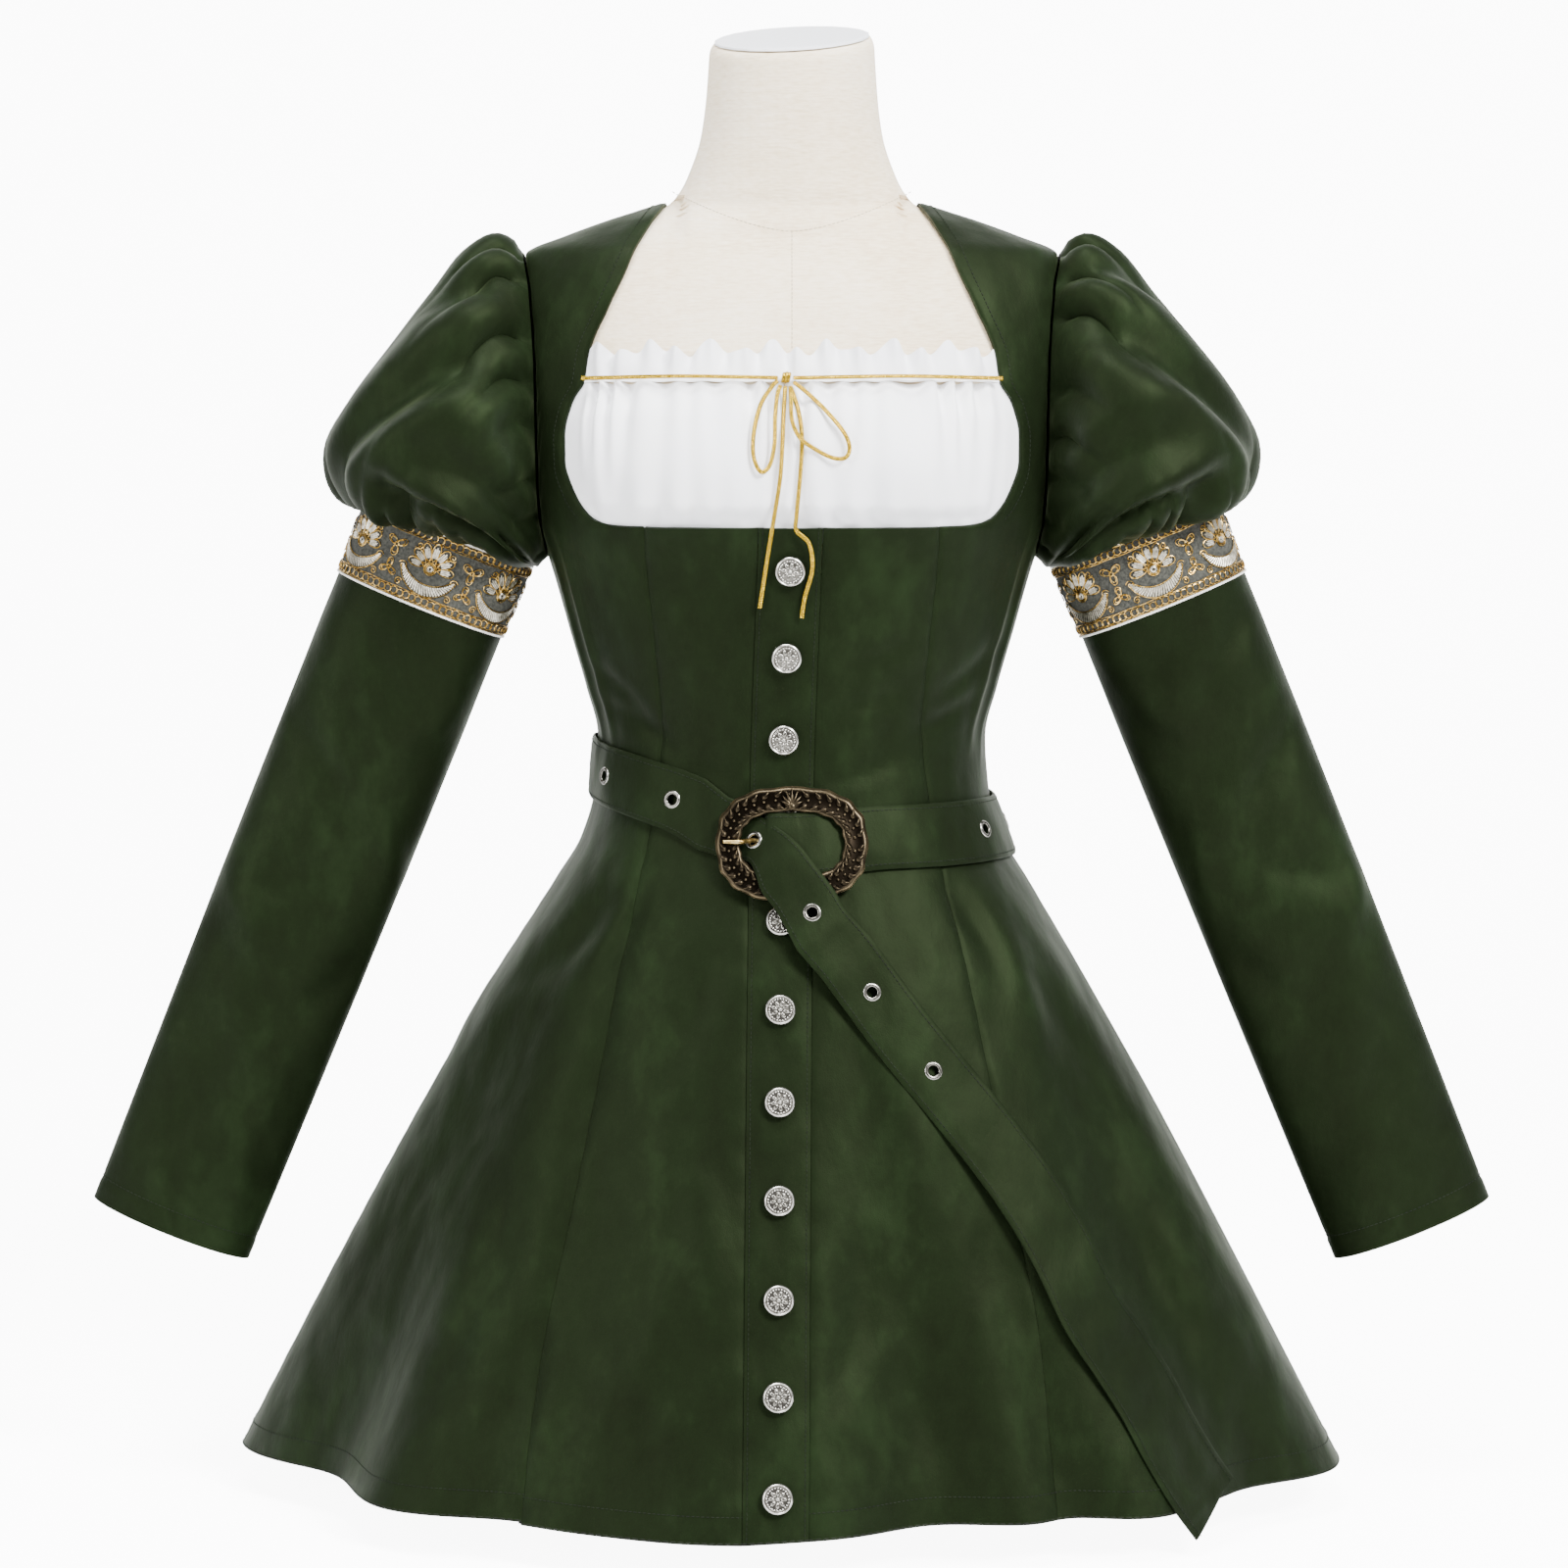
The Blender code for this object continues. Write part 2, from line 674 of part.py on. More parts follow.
def tube_pair(name, outer, wall, finish, end_axes):
    """The right-hand tube and its mirror image, with each open end cut square to its own axis."""
    normals = grid_normals(outer, closed=True)
    across = outer[0][0] - outer[0][len(outer[0]) // 2]
    sense = 1 if normals[0][0].dot(across) > 0 else -1
    for row, axis in ((0, end_axes[0]), (-1, end_axes[1])):
        normals[row] = [(n - axis * n.dot(axis)).normalized() for n in normals[row]]
    inner = [
        [p - n * sense * wall for p, n in zip(line, lines)]
        for line, lines in zip(outer, normals)
    ]
    shell(name + "_right", outer, inner, finish, closed=True)
    shell(name + "_left", flipped(outer), flipped(inner), finish, closed=True)


def build_puffs():
    turns = turns_of(SLEEVE_COLUMNS)
    off_seam = Vector((0.0006, 0, 0))
    rings = [[armhole_point(t) + off_seam for t in turns]]
    rings += [[puff_ring(row, t) for t in turns] for row in PUFF]
    rings.append([sleeve_ring(-SEAM_GAP, t, PUFF_OVER_BAND) for t in turns])
    tube_pair("sleeve_puff", rings, SLEEVE_WALL, VELVET, (Vector((1, 0, 0)), AXIS))


def build_bands():
    turns = turns_of(24)
    relief = ((0.0, 0.0004), (0.005, 0.0012), (0.045, 0.0010), (BAND_HEIGHT, 0.0004))
    rings = [[sleeve_ring(down, t, out) for t in turns] for down, out in relief]
    tube_pair("sleeve_band", rings, WALL, TRIM, (AXIS, AXIS))


def build_lower_sleeves():
    turns = turns_of(18)
    creases = ((0.10, 0.0030), (0.19, -0.0020), (0.28, 0.0020), (0.37, -0.0015))
    downs = (0.0503, 0.100, 0.145, 0.190, 0.235, 0.280, 0.370, SLEEVE_LENGTH)
    rings = []
    for down in downs:
        ring = []
        for turn in turns:
            slant = down + 0.018 * math.cos(turn)
            out = sum(h * math.exp(-((slant - d) / 0.022) ** 2) for d, h in creases)
            ring.append(sleeve_ring(down, turn, out * abs(math.sin(turn))))
        rings.append(ring)
    tube_pair("sleeve_lower", rings, SLEEVE_WALL, VELVET, (AXIS, AXIS))


# Chemise insert and ruffle
RUFFLE_WALL = 0.0010
INSERT_ROWS = (0.6150, 0.6260, 0.6360, 0.6500, 0.6680, 0.6880, 0.7030, 0.7130)
STRAP_EDGE = Table(
    ("z", "x"),
    [
        (0.610, 0.1330), (0.629, 0.1370), (0.636, 0.1410), (0.648, 0.1460), (0.666, 0.1500),
        (0.683, 0.1500), (0.704, 0.1450), (0.717, 0.1400), (0.735, 0.1360), (0.745, 0.1320),
    ],
)


def insert_lift(x, z):
    """How far the white cotton puffs out between the edges that hold it."""
    side = smoothstep((STRAP_EDGE("x", z) - 0.004 - abs(x)) / 0.026)
    low = smoothstep((z - UNDERBUST_Z - 0.0005) / 0.016)
    high = lerp(0.35, 1, smoothstep((0.714 - z) / 0.022))
    puckers = 0.0010 * math.cos(x / 0.0052) * (1 - smoothstep((0.714 - z) / 0.030))
    puckers += 0.0008 * math.cos(x / 0.0060 + 1) * (1 - smoothstep((z - 0.628) / 0.025))
    return -WALL - 0.0012 + side * low * (0.0072 * high + puckers)


def build_insert():
    columns = 24
    outer, inner = [], []
    for z in INSERT_ROWS:
        edge = STRAP_EDGE("x", z)
        line = [lerp(-edge, edge, j / columns) for j in range(columns + 1)]
        outer.append([front_point(x, z, insert_lift(x, z)) for x in line])
        inner.append([front_point(x, z, insert_lift(x, z) - FINE_WALL) for x in line])
    shell("chemise_insert", outer, inner, COTTON)


def build_ruffle():
    """The frill above the drawstring: soft waves that open towards the top."""
    columns = 42
    rows = ((0.7134, 0.0), (0.7240, 0.55), (0.7360, 1.0))
    outer, inner = [], []
    for z, opening in rows:
        edge = STRAP_EDGE("x", z) - 0.0065
        outer_line, inner_line = [], []
        for j in range(columns + 1):
            x = lerp(-edge, edge, j / columns)
            wave = math.sin(2 * math.pi * 14 * j / columns + 0.9 * math.sin(9 * x / edge))
            rim = 1 - smoothstep((abs(x) / edge - 0.9) / 0.1)
            lift = -WALL - 0.0006 + (0.0030 + 0.0026 * opening * wave + 0.002 * opening) * rim
            top = z + 0.0022 * opening * math.sin(2 * math.pi * 7 * j / columns + 0.5)
            outer_line.append(front_point(x, top, lift))
            inner_line.append(front_point(x, top, lift - RUFFLE_WALL))
        outer.append(outer_line)
        inner.append(inner_line)
    shell("chemise_ruffle", outer, inner, COTTON)


# Belt, eyelets and buckle
BELT_RING = Table(
    ("degrees", "z"),
    [
        (2, 0.4255), (25, 0.4300), (60, 0.4300), (90, 0.4290), (135, 0.4340), (180, 0.4450),
        (225, 0.4580), (270, 0.4680), (300, 0.4630), (325, 0.4540), (336, 0.4465),
    ],
)

# The strap through the buckle: each edge's place, and its way from the cloth to over the frame
THROUGH_BUCKLE = (
    # top x, top z, top share, low x, low z, low share
    (-0.0395, 0.4555, 0.00, -0.0600, 0.4230, 0.00),
    (-0.0270, 0.4505, 0.00, -0.0440, 0.4190, 0.00),
    (-0.0160, 0.4420, 0.34, -0.0335, 0.4172, 0.00),
    (-0.0070, 0.4370, 0.84, -0.0262, 0.4165, 0.44),
    (0.0035, 0.4290, 1.00, -0.0225, 0.4095, 1.00),
    (0.0150, 0.4150, 1.00, -0.0190, 0.3990, 1.00),
    (0.0260, 0.4010, 1.00, -0.0100, 0.3880, 1.00),
)

# The free end below the buckle: its middle, and its height above the cloth
BELT_TAIL = Table(
    ("step", "x", "z", "lift"),
    [
        (0, 0.0180, 0.3770, 0.0086),
        (1, 0.0333, 0.3595, 0.0062),
        (2, 0.0500, 0.3370, 0.0034),
        (3, 0.0680, 0.3130, 0.0022),
        (4, 0.0985, 0.2760, 0.0018),
        (5, 0.1255, 0.2430, 0.0018),
        (6, 0.1480, 0.2120, 0.0022),
        (7, 0.1680, 0.1780, 0.0026),
        (8, 0.1850, 0.1430, 0.0030),
        (9, 0.2030, 0.1160, 0.0032),
        (10, 0.2195, 0.0900, 0.0034),
        (11, 0.2350, 0.0610, 0.0034),
        (12, 0.2500, 0.0360, 0.0042),
        (13, 0.2620, 0.0190, 0.0042),
    ],
)


def cloth_depth(x, z):
    """How far forward the cloth and the placket reach here, seen from the front."""
    proud = PLACKET_PROUD if abs(x - PLACKET("shift", z)) < PLACKET_HALF + 0.004 else 0.0
    return proud - front_point(x, max(z, HEM_Z)).y


# The eyelet that the prong goes through
PRONG_HOLE = Vector((-0.0248, -0.110, 0.4296))

PLACKET_ENDS = 14

# Degrees round the body at which the strap's ring has a station
RING_MARKS = (
    1.9, 7, 13, 19, 26, 34, 43, 52, 61, 70, 79, 88, 97, 107, 118, 130, 143, 157, 171, 185,
    199, 212, 225, 237, 248, 258, 267, 276, 285, 294, 303, 311, 319, 327, 334,
)


def belt_stations():
    """Top and bottom edge of the strap's inner face, and its outward normal, station by station."""
    stations = []
    for degrees in RING_MARKS:
        angle = math.radians(degrees)
        z = BELT_RING("z", degrees)
        radius = surface(angle, z).xy.length
        slope = math.atan2(BELT_RING("z", degrees + 1) - z, math.radians(1) * radius)
        shift = math.sin(slope) * BELT_HALF / radius
        rise = math.cos(slope) * BELT_HALF
        lift = BELT_LIFT + PLACKET_PROUD * (degrees < PLACKET_ENDS or degrees > 360 - PLACKET_ENDS)
        top = cloth(angle - shift, z + rise, lift)
        bottom = cloth(angle + shift, z - rise, lift)
        across = surface(angle + 0.02, z) - surface(angle - 0.02, z)
        stations.append((top, bottom, across.cross(top - bottom).normalized()))
    return stations


def strap_depths(x, z, side):
    """Forward reach at either edge of a straight line across the strap that clears the cloth."""
    marks = [(k / 4, cloth_depth(x + side.x * k / 4, z + side.z * k / 4)) for k in range(-4, 5)]
    low, high = marks[0][1], marks[-1][1]
    raised = max(depth - lerp(low, high, (k + 1) / 2) for k, depth in marks)
    return high + raised, low + raised


def station(top, bottom):
    """A station of the strap in front of the body, with the normal that faces forward."""
    across = (top - bottom).normalized()
    ahead = Vector((0, -1, 0))
    return top, bottom, (ahead - across * ahead.dot(across)).normalized()


def tail_stations():
    """The strap's free end: through the buckle, over the skirt and past the hem, cut aslant."""
    stations = []
    for top_x, top_z, top_share, low_x, low_z, low_share in THROUGH_BUCKLE:
        ends = []
        for x, z, share in ((top_x, top_z, top_share), (low_x, low_z, low_share)):
            over = buckle_plane(x, z) + BUCKLE_THICK + 0.0006
            ends.append(Vector((x, -lerp(cloth_depth(x, z) + BELT_LIFT, over, share), z)))
        stations.append(station(*ends))
    last = BELT_TAIL.key[-1]
    count = 22
    for i in range(count + 1):
        step = last * i / count
        x, z, lift = (BELT_TAIL(name, step) for name in ("x", "z", "lift"))
        ahead = min(step + 0.2, last)
        behind = max(step - 0.2, 0)
        run = Vector((
            BELT_TAIL("x", ahead) - BELT_TAIL("x", behind), 0,
            BELT_TAIL("z", ahead) - BELT_TAIL("z", behind),
        )).normalized()
        side = Vector((-run.z, 0, run.x)) * BELT_HALF
        high, low = strap_depths(x, z, side)
        slant = run * TIP_SLANT if i == count else Vector()
        top = Vector((x + side.x, -high - lift, z + side.z)) - slant
        bottom = Vector((x - side.x, -low - lift, z - side.z)) + slant
        stations.append(station(top, bottom))
    return stations


def build_belt():
    stations = belt_stations() + tail_stations()
    outer = [[top + n * BELT_THICK, bottom + n * BELT_THICK] for top, bottom, n in stations]
    inner = [[top, bottom] for top, bottom, n in stations]
    strap = shell("belt_strap", outer, inner, VELVET)
    build_eyelets(strap, stations)


def build_eyelets(strap, stations):
    """Holes along the strap, each with its metal eyelet, counted from the one that the prong uses."""
    middles = [(top + bottom) / 2 for top, bottom, n in stations]
    lengths = [0.0]
    for a, b in zip(middles, middles[1:]):
        lengths.append(lengths[-1] + (b - a).length)
    prong_at = min(range(len(middles)), key=lambda i: (middles[i] - PRONG_HOLE).length)
    start = lengths[prong_at]
    places = [start + EYELET_PITCH * k for k in range(-10, 4)]
    in_use = places.index(start)
    cutter_parts = bmesh.new()
    for number, place_at in enumerate(places, start=1):
        i = max(k for k in range(len(lengths) - 1) if lengths[k] <= place_at)
        share = (place_at - lengths[i]) / (lengths[i + 1] - lengths[i])
        centre = middles[i].lerp(middles[i + 1], share)
        along = (middles[i + 1] - middles[i]).normalized()
        wide = stations[i][0] - stations[i][1]
        wide = wide.lerp(stations[i + 1][0] - stations[i + 1][1], share)
        normal = along.cross(wide).normalized()
        if normal.dot(stations[i][2]) < 0:
            normal = -normal
        turn = normal.to_track_quat("Z", "Y").to_matrix().to_4x4()
        turn.translation = centre + normal * BELT_THICK / 2
        bmesh.ops.create_cone(
            cutter_parts, cap_ends=True, segments=8, radius1=EYELET_HOLE,
            radius2=EYELET_HOLE, depth=0.006, matrix=turn,
        )
        seat = BELT_THICK + (SEAT_IN_USE if number == in_use + 1 else SEAT_FREE)
        profile = (
            (EYELET_HOLE, seat), (EYELET_RIM, seat),
            (EYELET_RIM - 0.0008, seat + EYELET_HIGH), (EYELET_HOLE + 0.0003, seat + EYELET_HIGH),
        )
        turned(f"eyelet_{number:02d}", profile, 8, centre, normal, SILVER, hollow=True)
    mesh = bpy.data.meshes.new("eyelet_holes")
    cutter_parts.to_mesh(mesh)
    cutter_parts.free()
    cutter = bpy.data.objects.new("eyelet_holes", mesh)
    cutter.location.z = BASE_THICK
    cutter.hide_render = True
    cutter.display_type = "WIRE"
    bpy.context.collection.objects.link(cutter)
    cut = strap.modifiers.new("holes", "BOOLEAN")
    cut.operation = "DIFFERENCE"
    cut.object = cutter


def buckle_plane(x, z):
    """How far forward the back of the buckle lies: it leans with the skirt and bends round it."""
    low, high = BUCKLE_Z - BUCKLE_HALF_HEIGHT, BUCKLE_Z + BUCKLE_HALF_HEIGHT
    lean = lerp(cloth_depth(0, low), cloth_depth(0, high), (z - low) / (high - low))
    bend = 0.0030 * (x / BUCKLE_HALF_WIDTH) ** 2
    return lean + BELT_LIFT + BELT_THICK + BUCKLE_LIFT - bend


def buckle_outline(turn, half_width, half_height, scallop):
    power = 2 / 2.5
    grow = 1 + scallop * math.cos(18 * turn)
    x = half_width * signed_power(math.cos(turn), power) * grow
    z = half_height * signed_power(math.sin(turn), power) * grow
    return BUCKLE_X + x, BUCKLE_Z + z


def build_buckle():
    rings = (
        (0.0, 0.0000, 0.010), (0.0, 0.0026, 0.016), (0.30, 0.0045, 0.010),
        (0.70, 0.0040, 0.000), (1.0, 0.0024, 0.000), (1.0, 0.0000, 0.000),
    )
    count = 36
    points, faces = [], []
    for inset, height, scallop in rings:
        for j in range(count):
            x, z = buckle_outline(
                2 * math.pi * j / count, BUCKLE_HALF_WIDTH - BUCKLE_BAND * inset,
                BUCKLE_HALF_HEIGHT - BUCKLE_BAND * inset, scallop,
            )
            points.append(Vector((x, -buckle_plane(x, z) - height, z)))
    for i in range(len(rings)):
        for j in range(count):
            k = (j + 1) % count
            low, high = i * count, (i + 1) % len(rings) * count
            faces.append((low + j, low + k, high + k, high + j))
    mesh_from("buckle_frame", points, faces, BRASS)
    ends = []
    for side in (-1, 1):
        z = BUCKLE_Z + side * (BUCKLE_HALF_HEIGHT - BUCKLE_BAND - 2 * SEAM_GAP)
        ends.append(Vector((BUCKLE_X, -buckle_plane(0, z) - BAR_DEPTH, z)))
    curve_tube("buckle_bar", ends, BAR_RADIUS, BRASS)
    build_prong()


def build_prong():
    """The tongue: from the bar, up through the strap's eyelet and over the frame's side."""
    z = PRONG_HOLE.z
    bar = -buckle_plane(0, z) - BAR_DEPTH
    seat = -cloth_depth(PRONG_HOLE.x, z)
    tip = -buckle_plane(-0.040, z) - BUCKLE_THICK - 0.0014
    route = (
        (BUCKLE_X - 0.0030, bar, z), (-0.0120, bar + 0.0014, z), (-0.0217, seat - 0.0036, z),
        (-0.0286, seat - 0.0086, z), (-0.0325, tip, z), (-0.0430, tip + 0.0003, z),
    )
    curve_tube("buckle_prong", [Vector(p) for p in route], PRONG_RADIUS, BRASS)


# Buttons
BUTTON_HEIGHTS = (
    0.5985, 0.5440, 0.4920, 0.4480, 0.3800, 0.3270, 0.2720, 0.2140, 0.1560, 0.1000, 0.0420,
)


def build_buttons():
    """Shank buttons down the placket: a rolled rim round a low dome."""
    r = BUTTON_RADIUS
    profile = (
        (r * 0.28, 0.0), (r * 0.92, 0.0014), (r, 0.0028), (r * 0.88, 0.0042),
        (r * 0.70, 0.0034),
    )
    for number, z in enumerate(BUTTON_HEIGHTS, start=1):
        x = PLACKET("shift", z) + 0.0005
        seat = front_point(x, z, PLACKET_PROUD + SHANK_GAP)
        turned(f"button_{number:02d}", profile, 10, seat, outward(angle_at(x, z), z), SILVER)


# Drawstring and bow
def curve_tube(name, points, radius, finish):
    made = bpy.data.curves.new(name, "CURVE")
    made.dimensions = "3D"
    made.bevel_depth = radius
    made.bevel_resolution = 2
    made.use_fill_caps = True
    made.twist_mode = "MINIMUM"
    spline = made.splines.new("POLY")
    spline.points.add(len(points) - 1)
    for slot, point in zip(spline.points, points):
        slot.co = (*point, 1)
    return place(name, made, finish)


def through(points, spacing):
    """Evenly spaced points on a smooth curve through these."""
    ends = [2 * points[0] - points[1]] + list(points) + [2 * points[-1] - points[-2]]
    dense = []
    for a, b, c, d in zip(ends, ends[1:], ends[2:], ends[3:]):
        for i in range(24):
            t = i / 24
            dense.append(0.5 * (
                2 * b + (c - a) * t + (2 * a - 5 * b + 4 * c - d) * t * t
                + (3 * b - a - 3 * c + d) * t ** 3
            ))
    dense.append(points[-1])
    total = sum((b - a).length for a, b in zip(dense, dense[1:]))
    count = max(round(total / spacing), 3)
    made, walked, goal = [dense[0]], 0.0, total / count
    for a, b in zip(dense, dense[1:]):
        walked += (b - a).length
        if walked >= goal and len(made) < count:
            made.append(b)
            goal += total / count
    return made + [dense[-1]]


def chest_point(x, z, out):
    """A place just in front of the white cotton, or of the velvet below it."""
    if z > UNDERBUST_Z + 0.004:
        return front_point(x, z, max(insert_lift(x, z), 0.0030) + CORD_RADIUS + out)
    return front_point(x, z, PLACKET_PROUD + CORD_RADIUS + out)


# Routes as distance right of the knot and down from it, and height off the cloth, in millimetres
ROUTES = {
    "bow_loop_left": (
        (-5.4, 2.2, 2.6), (-9.0, 6.0, 2.0), (-16.0, 17.0, 1.7), (-20.5, 33.0, 1.6),
        (-21.0, 47.0, 1.6), (-16.5, 56.0, 1.6), (-11.0, 52.5, 1.6), (-8.0, 40.0, 1.7),
        (-7.4, 25.0, 2.0), (-5.6, 11.0, 2.5), (-3.6, 5.2, 2.8),
    ),
    "bow_loop_right": (
        (5.4, 3.0, 2.6), (12.0, 8.0, 2.2), (24.0, 19.0, 1.7), (36.5, 33.0, 1.6),
        (40.5, 42.0, 1.6), (38.0, 48.0, 1.6), (30.0, 48.0, 1.8), (20.0, 43.5, 3.0),
        (10.5, 37.0, 4.4), (4.0, 27.0, 4.4), (2.6, 14.0, 4.4), (2.4, 6.2, 4.0),
    ),
    "bow_tail_left": (
        (-0.6, 5.4, 1.9), (-1.6, 18.0, 1.3), (-3.0, 40.0, 1.0), (-4.4, 60.0, 1.0),
        (-7.4, 82.0, 1.2), (-11.4, 110.0, 1.5), (-16.0, 141.0, 1.5),
    ),
    "bow_tail_right": (
        (3.2, 6.2, 1.0), (8.6, 20.0, 1.5), (11.2, 36.0, 1.5), (10.4, 56.0, 1.5),
        (7.4, 82.0, 1.5), (7.0, 92.0, 1.5), (14.8, 100.0, 2.6), (16.6, 116.0, 2.6),
        (12.0, 134.0, 1.8), (10.0, 147.0, 1.5),
    ),
}


def build_bow():
    knot = chest_point(KNOT.x, KNOT.z, 0.0022)
    bpy.ops.mesh.primitive_uv_sphere_add(segments=12, ring_count=6, radius=0.0036)
    ball = bpy.context.object
    ball.name = "bow_knot"
    for vertex in ball.data.vertices:
        vertex.co.z *= 0.85
        vertex.co.y *= 0.55
    ball.location = knot + Vector((0, 0, BASE_THICK))
    ball.data.shade_smooth()
    ball.data.materials.append(material_of(GOLD))
    for name, route in ROUTES.items():
        points = [
            chest_point(KNOT.x + right / 1000, KNOT.z - down / 1000, off / 1000)
            for right, down, off in route
        ]
        curve_tube(name, through(points, CORD_STEP), CORD_RADIUS, GOLD)
    for name, side in (("drawstring_left", -1), ("drawstring_right", 1)):
        start = KNOT.x + side * 0.0052
        end = side * 0.1295
        points = [
            chest_point(lerp(start, end, i / 8), lerp(KNOT.z, 0.7172, i / 8), 0.0017)
            for i in range(9)
        ]
        curve_tube(name, through(points, CORD_STEP), CORD_RADIUS, GOLD)


# Dress form
def reach(table, x, z, side):
    """How far from its centre a section stands at this distance from the middle."""
    share = 1 - min(abs(x) / table("half_width", z), 1.0) ** table("power", z)
    return table(side, z) * share ** (1 / table("power", z))


def form_point(angle, z):
    """The form's skin: the gown's own cups, flat plates where arms would start, clear of the cloth."""
    point = section(FORM, angle, z)
    centre = FORM("centre", z)
    point.y -= bust(point.x, z) * max(math.cos(angle), 0) * 0.93
    plate = ARMHOLE("x", z) - 0.0075
    if UNDERARM_Z - 0.02 < z < SHOULDER_END_Z:
        point.x = min(max(point.x, -plate), plate)
    if 0.785 < z < 0.835:
        side = "front" if point.y < centre else "back"
        most = max(reach(BODY, point.x, z + 0.0042, side) - WALL - 0.0012, 0.0)
        most = lerp(1.0, most, smoothstep((abs(point.x) - 0.060) / 0.010))
        offset = point.y - BODY("centre", z)
        point.y -= math.copysign(max(abs(offset) - most, 0.0), offset)
    return point


# The neck is cut off on a slant, higher at the back and a little at the right
NECK_TOP = 0.9345
NECK_RISE_BACK = math.tan(math.radians(13))
NECK_RISE_RIGHT = 0.05


def neck_plane(p):
    return p + Vector((0, 0, p.y * NECK_RISE_BACK + p.x * NECK_RISE_RIGHT))


def build_form():
    heights = (
        0.268, 0.276, 0.330, 0.391, 0.440, 0.487, 0.535, 0.585, 0.615, 0.640, 0.665, 0.690,
        0.720, 0.757, 0.780, 0.792, 0.799, 0.807, 0.817, 0.823, 0.829, 0.837, 0.850, 0.885,
        NECK_TOP,
    )
    turns = turns_of(22)
    rings = []
    for z in heights:
        shrink = 0.94 if z == heights[0] else 1.0
        ring = [form_point(t, z) for t in turns]
        rings.append([Vector((p.x * shrink, p.y * shrink, p.z)) for p in ring])
    rings[-1] = [neck_plane(p) for p in rings[-1]]
    solid_rings("form_torso", rings, LINEN)
    cap = []
    middle = Vector((0, FORM("centre", NECK_TOP), NECK_TOP))
    for grow, height in ((0.92, 0.0003), (0.95, 0.0009), (0.95, 0.0020), (0.92, 0.0026)):
        ring = [neck_plane(middle.lerp(form_point(t, NECK_TOP), grow)) for t in turns]
        cap.append([p + Vector((0, 0, height)) for p in ring])
    solid_rings("form_neck_cap", cap, WHITE_CAP)
    turned("form_pole", ((POLE_RADIUS, SEAM_GAP), (POLE_RADIUS, 0.268 - SEAM_GAP)), 16,
           Vector((0, 0, 0)), Vector((0, 0, 1)), WHITE_STEEL)
    base = (
        (BASE_RADIUS - 0.001, -BASE_THICK), (BASE_RADIUS, -BASE_THICK + 0.001),
        (BASE_RADIUS, -0.002), (BASE_RADIUS - 0.003, 0.0),
    )
    turned("form_base", base, 28, Vector((0, 0, 0)), Vector((0, 0, 1)), WHITE_STEEL)


def main():
    for old in list(bpy.data.objects):
        bpy.data.objects.remove(old, do_unlink=True)
    build_form()
    build_panels()
    build_puffs()
    build_bands()
    build_lower_sleeves()
    build_insert()
    build_ruffle()
    build_belt()
    build_buckle()
    build_buttons()
    build_bow()


main()
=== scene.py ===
# %% [markdown]
# # A velvet gown on its dress form
# This lesson dresses a plain CAD gown with its real cloth, trim and metal. The frame comes first:
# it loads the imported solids, and every piece made here sits where its solid sits.

# %% Open the frame
import math

import bpy
import numpy as np
from mathutils import Matrix, Vector


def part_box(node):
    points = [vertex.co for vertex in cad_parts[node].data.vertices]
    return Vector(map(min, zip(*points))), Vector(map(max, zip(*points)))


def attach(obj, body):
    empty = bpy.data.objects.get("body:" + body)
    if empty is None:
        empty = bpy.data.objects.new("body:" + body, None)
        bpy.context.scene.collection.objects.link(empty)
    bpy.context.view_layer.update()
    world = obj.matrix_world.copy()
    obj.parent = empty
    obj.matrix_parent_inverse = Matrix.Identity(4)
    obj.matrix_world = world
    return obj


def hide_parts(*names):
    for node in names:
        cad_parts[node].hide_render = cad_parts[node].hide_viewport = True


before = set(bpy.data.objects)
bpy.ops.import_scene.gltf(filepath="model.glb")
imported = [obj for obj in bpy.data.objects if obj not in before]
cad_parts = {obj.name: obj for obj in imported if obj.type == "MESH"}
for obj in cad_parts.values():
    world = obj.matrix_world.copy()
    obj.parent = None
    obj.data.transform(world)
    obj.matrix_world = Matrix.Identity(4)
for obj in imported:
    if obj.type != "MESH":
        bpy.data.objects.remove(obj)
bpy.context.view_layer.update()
FLOOR_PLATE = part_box("form_base")[1].z
MM = 0.001

# %% [markdown]
# ## Camera
# The picture was taken with a long lens at about hip height, looking down a little. A long lens
# keeps the sleeves and the hem in true proportion. The camera stands on a line that leaves its
# target at that small pitch.

# %% Camera
CAMERA_DISTANCE = 2.70
CAMERA_PITCH = math.radians(5.5)
CAMERA_TARGET = Vector((-0.005, 0.0, 0.463))
LENS_MM = 95
camera_data = bpy.data.cameras.new("camera")
camera_data.lens = LENS_MM
camera = bpy.data.objects.new("camera", camera_data)
back = Vector((0, -math.cos(CAMERA_PITCH), math.sin(CAMERA_PITCH)))
camera.location = CAMERA_TARGET + back * CAMERA_DISTANCE
camera.rotation_euler = (math.pi / 2 - CAMERA_PITCH, 0, 0)
bpy.context.collection.objects.link(camera)
bpy.context.scene.camera = camera
print("camera at", tuple(round(c, 3) for c in camera.location))

# %% [markdown]
# ## Tables and the shape of the gown
# A gown is a skin around a body, so its shape is written as sections: for each height, how wide
# and how deep it is. A small table class reads any place between the rows with a smooth curve.
# The same tables made the solids, so each fine cloth lies on its solid's form.

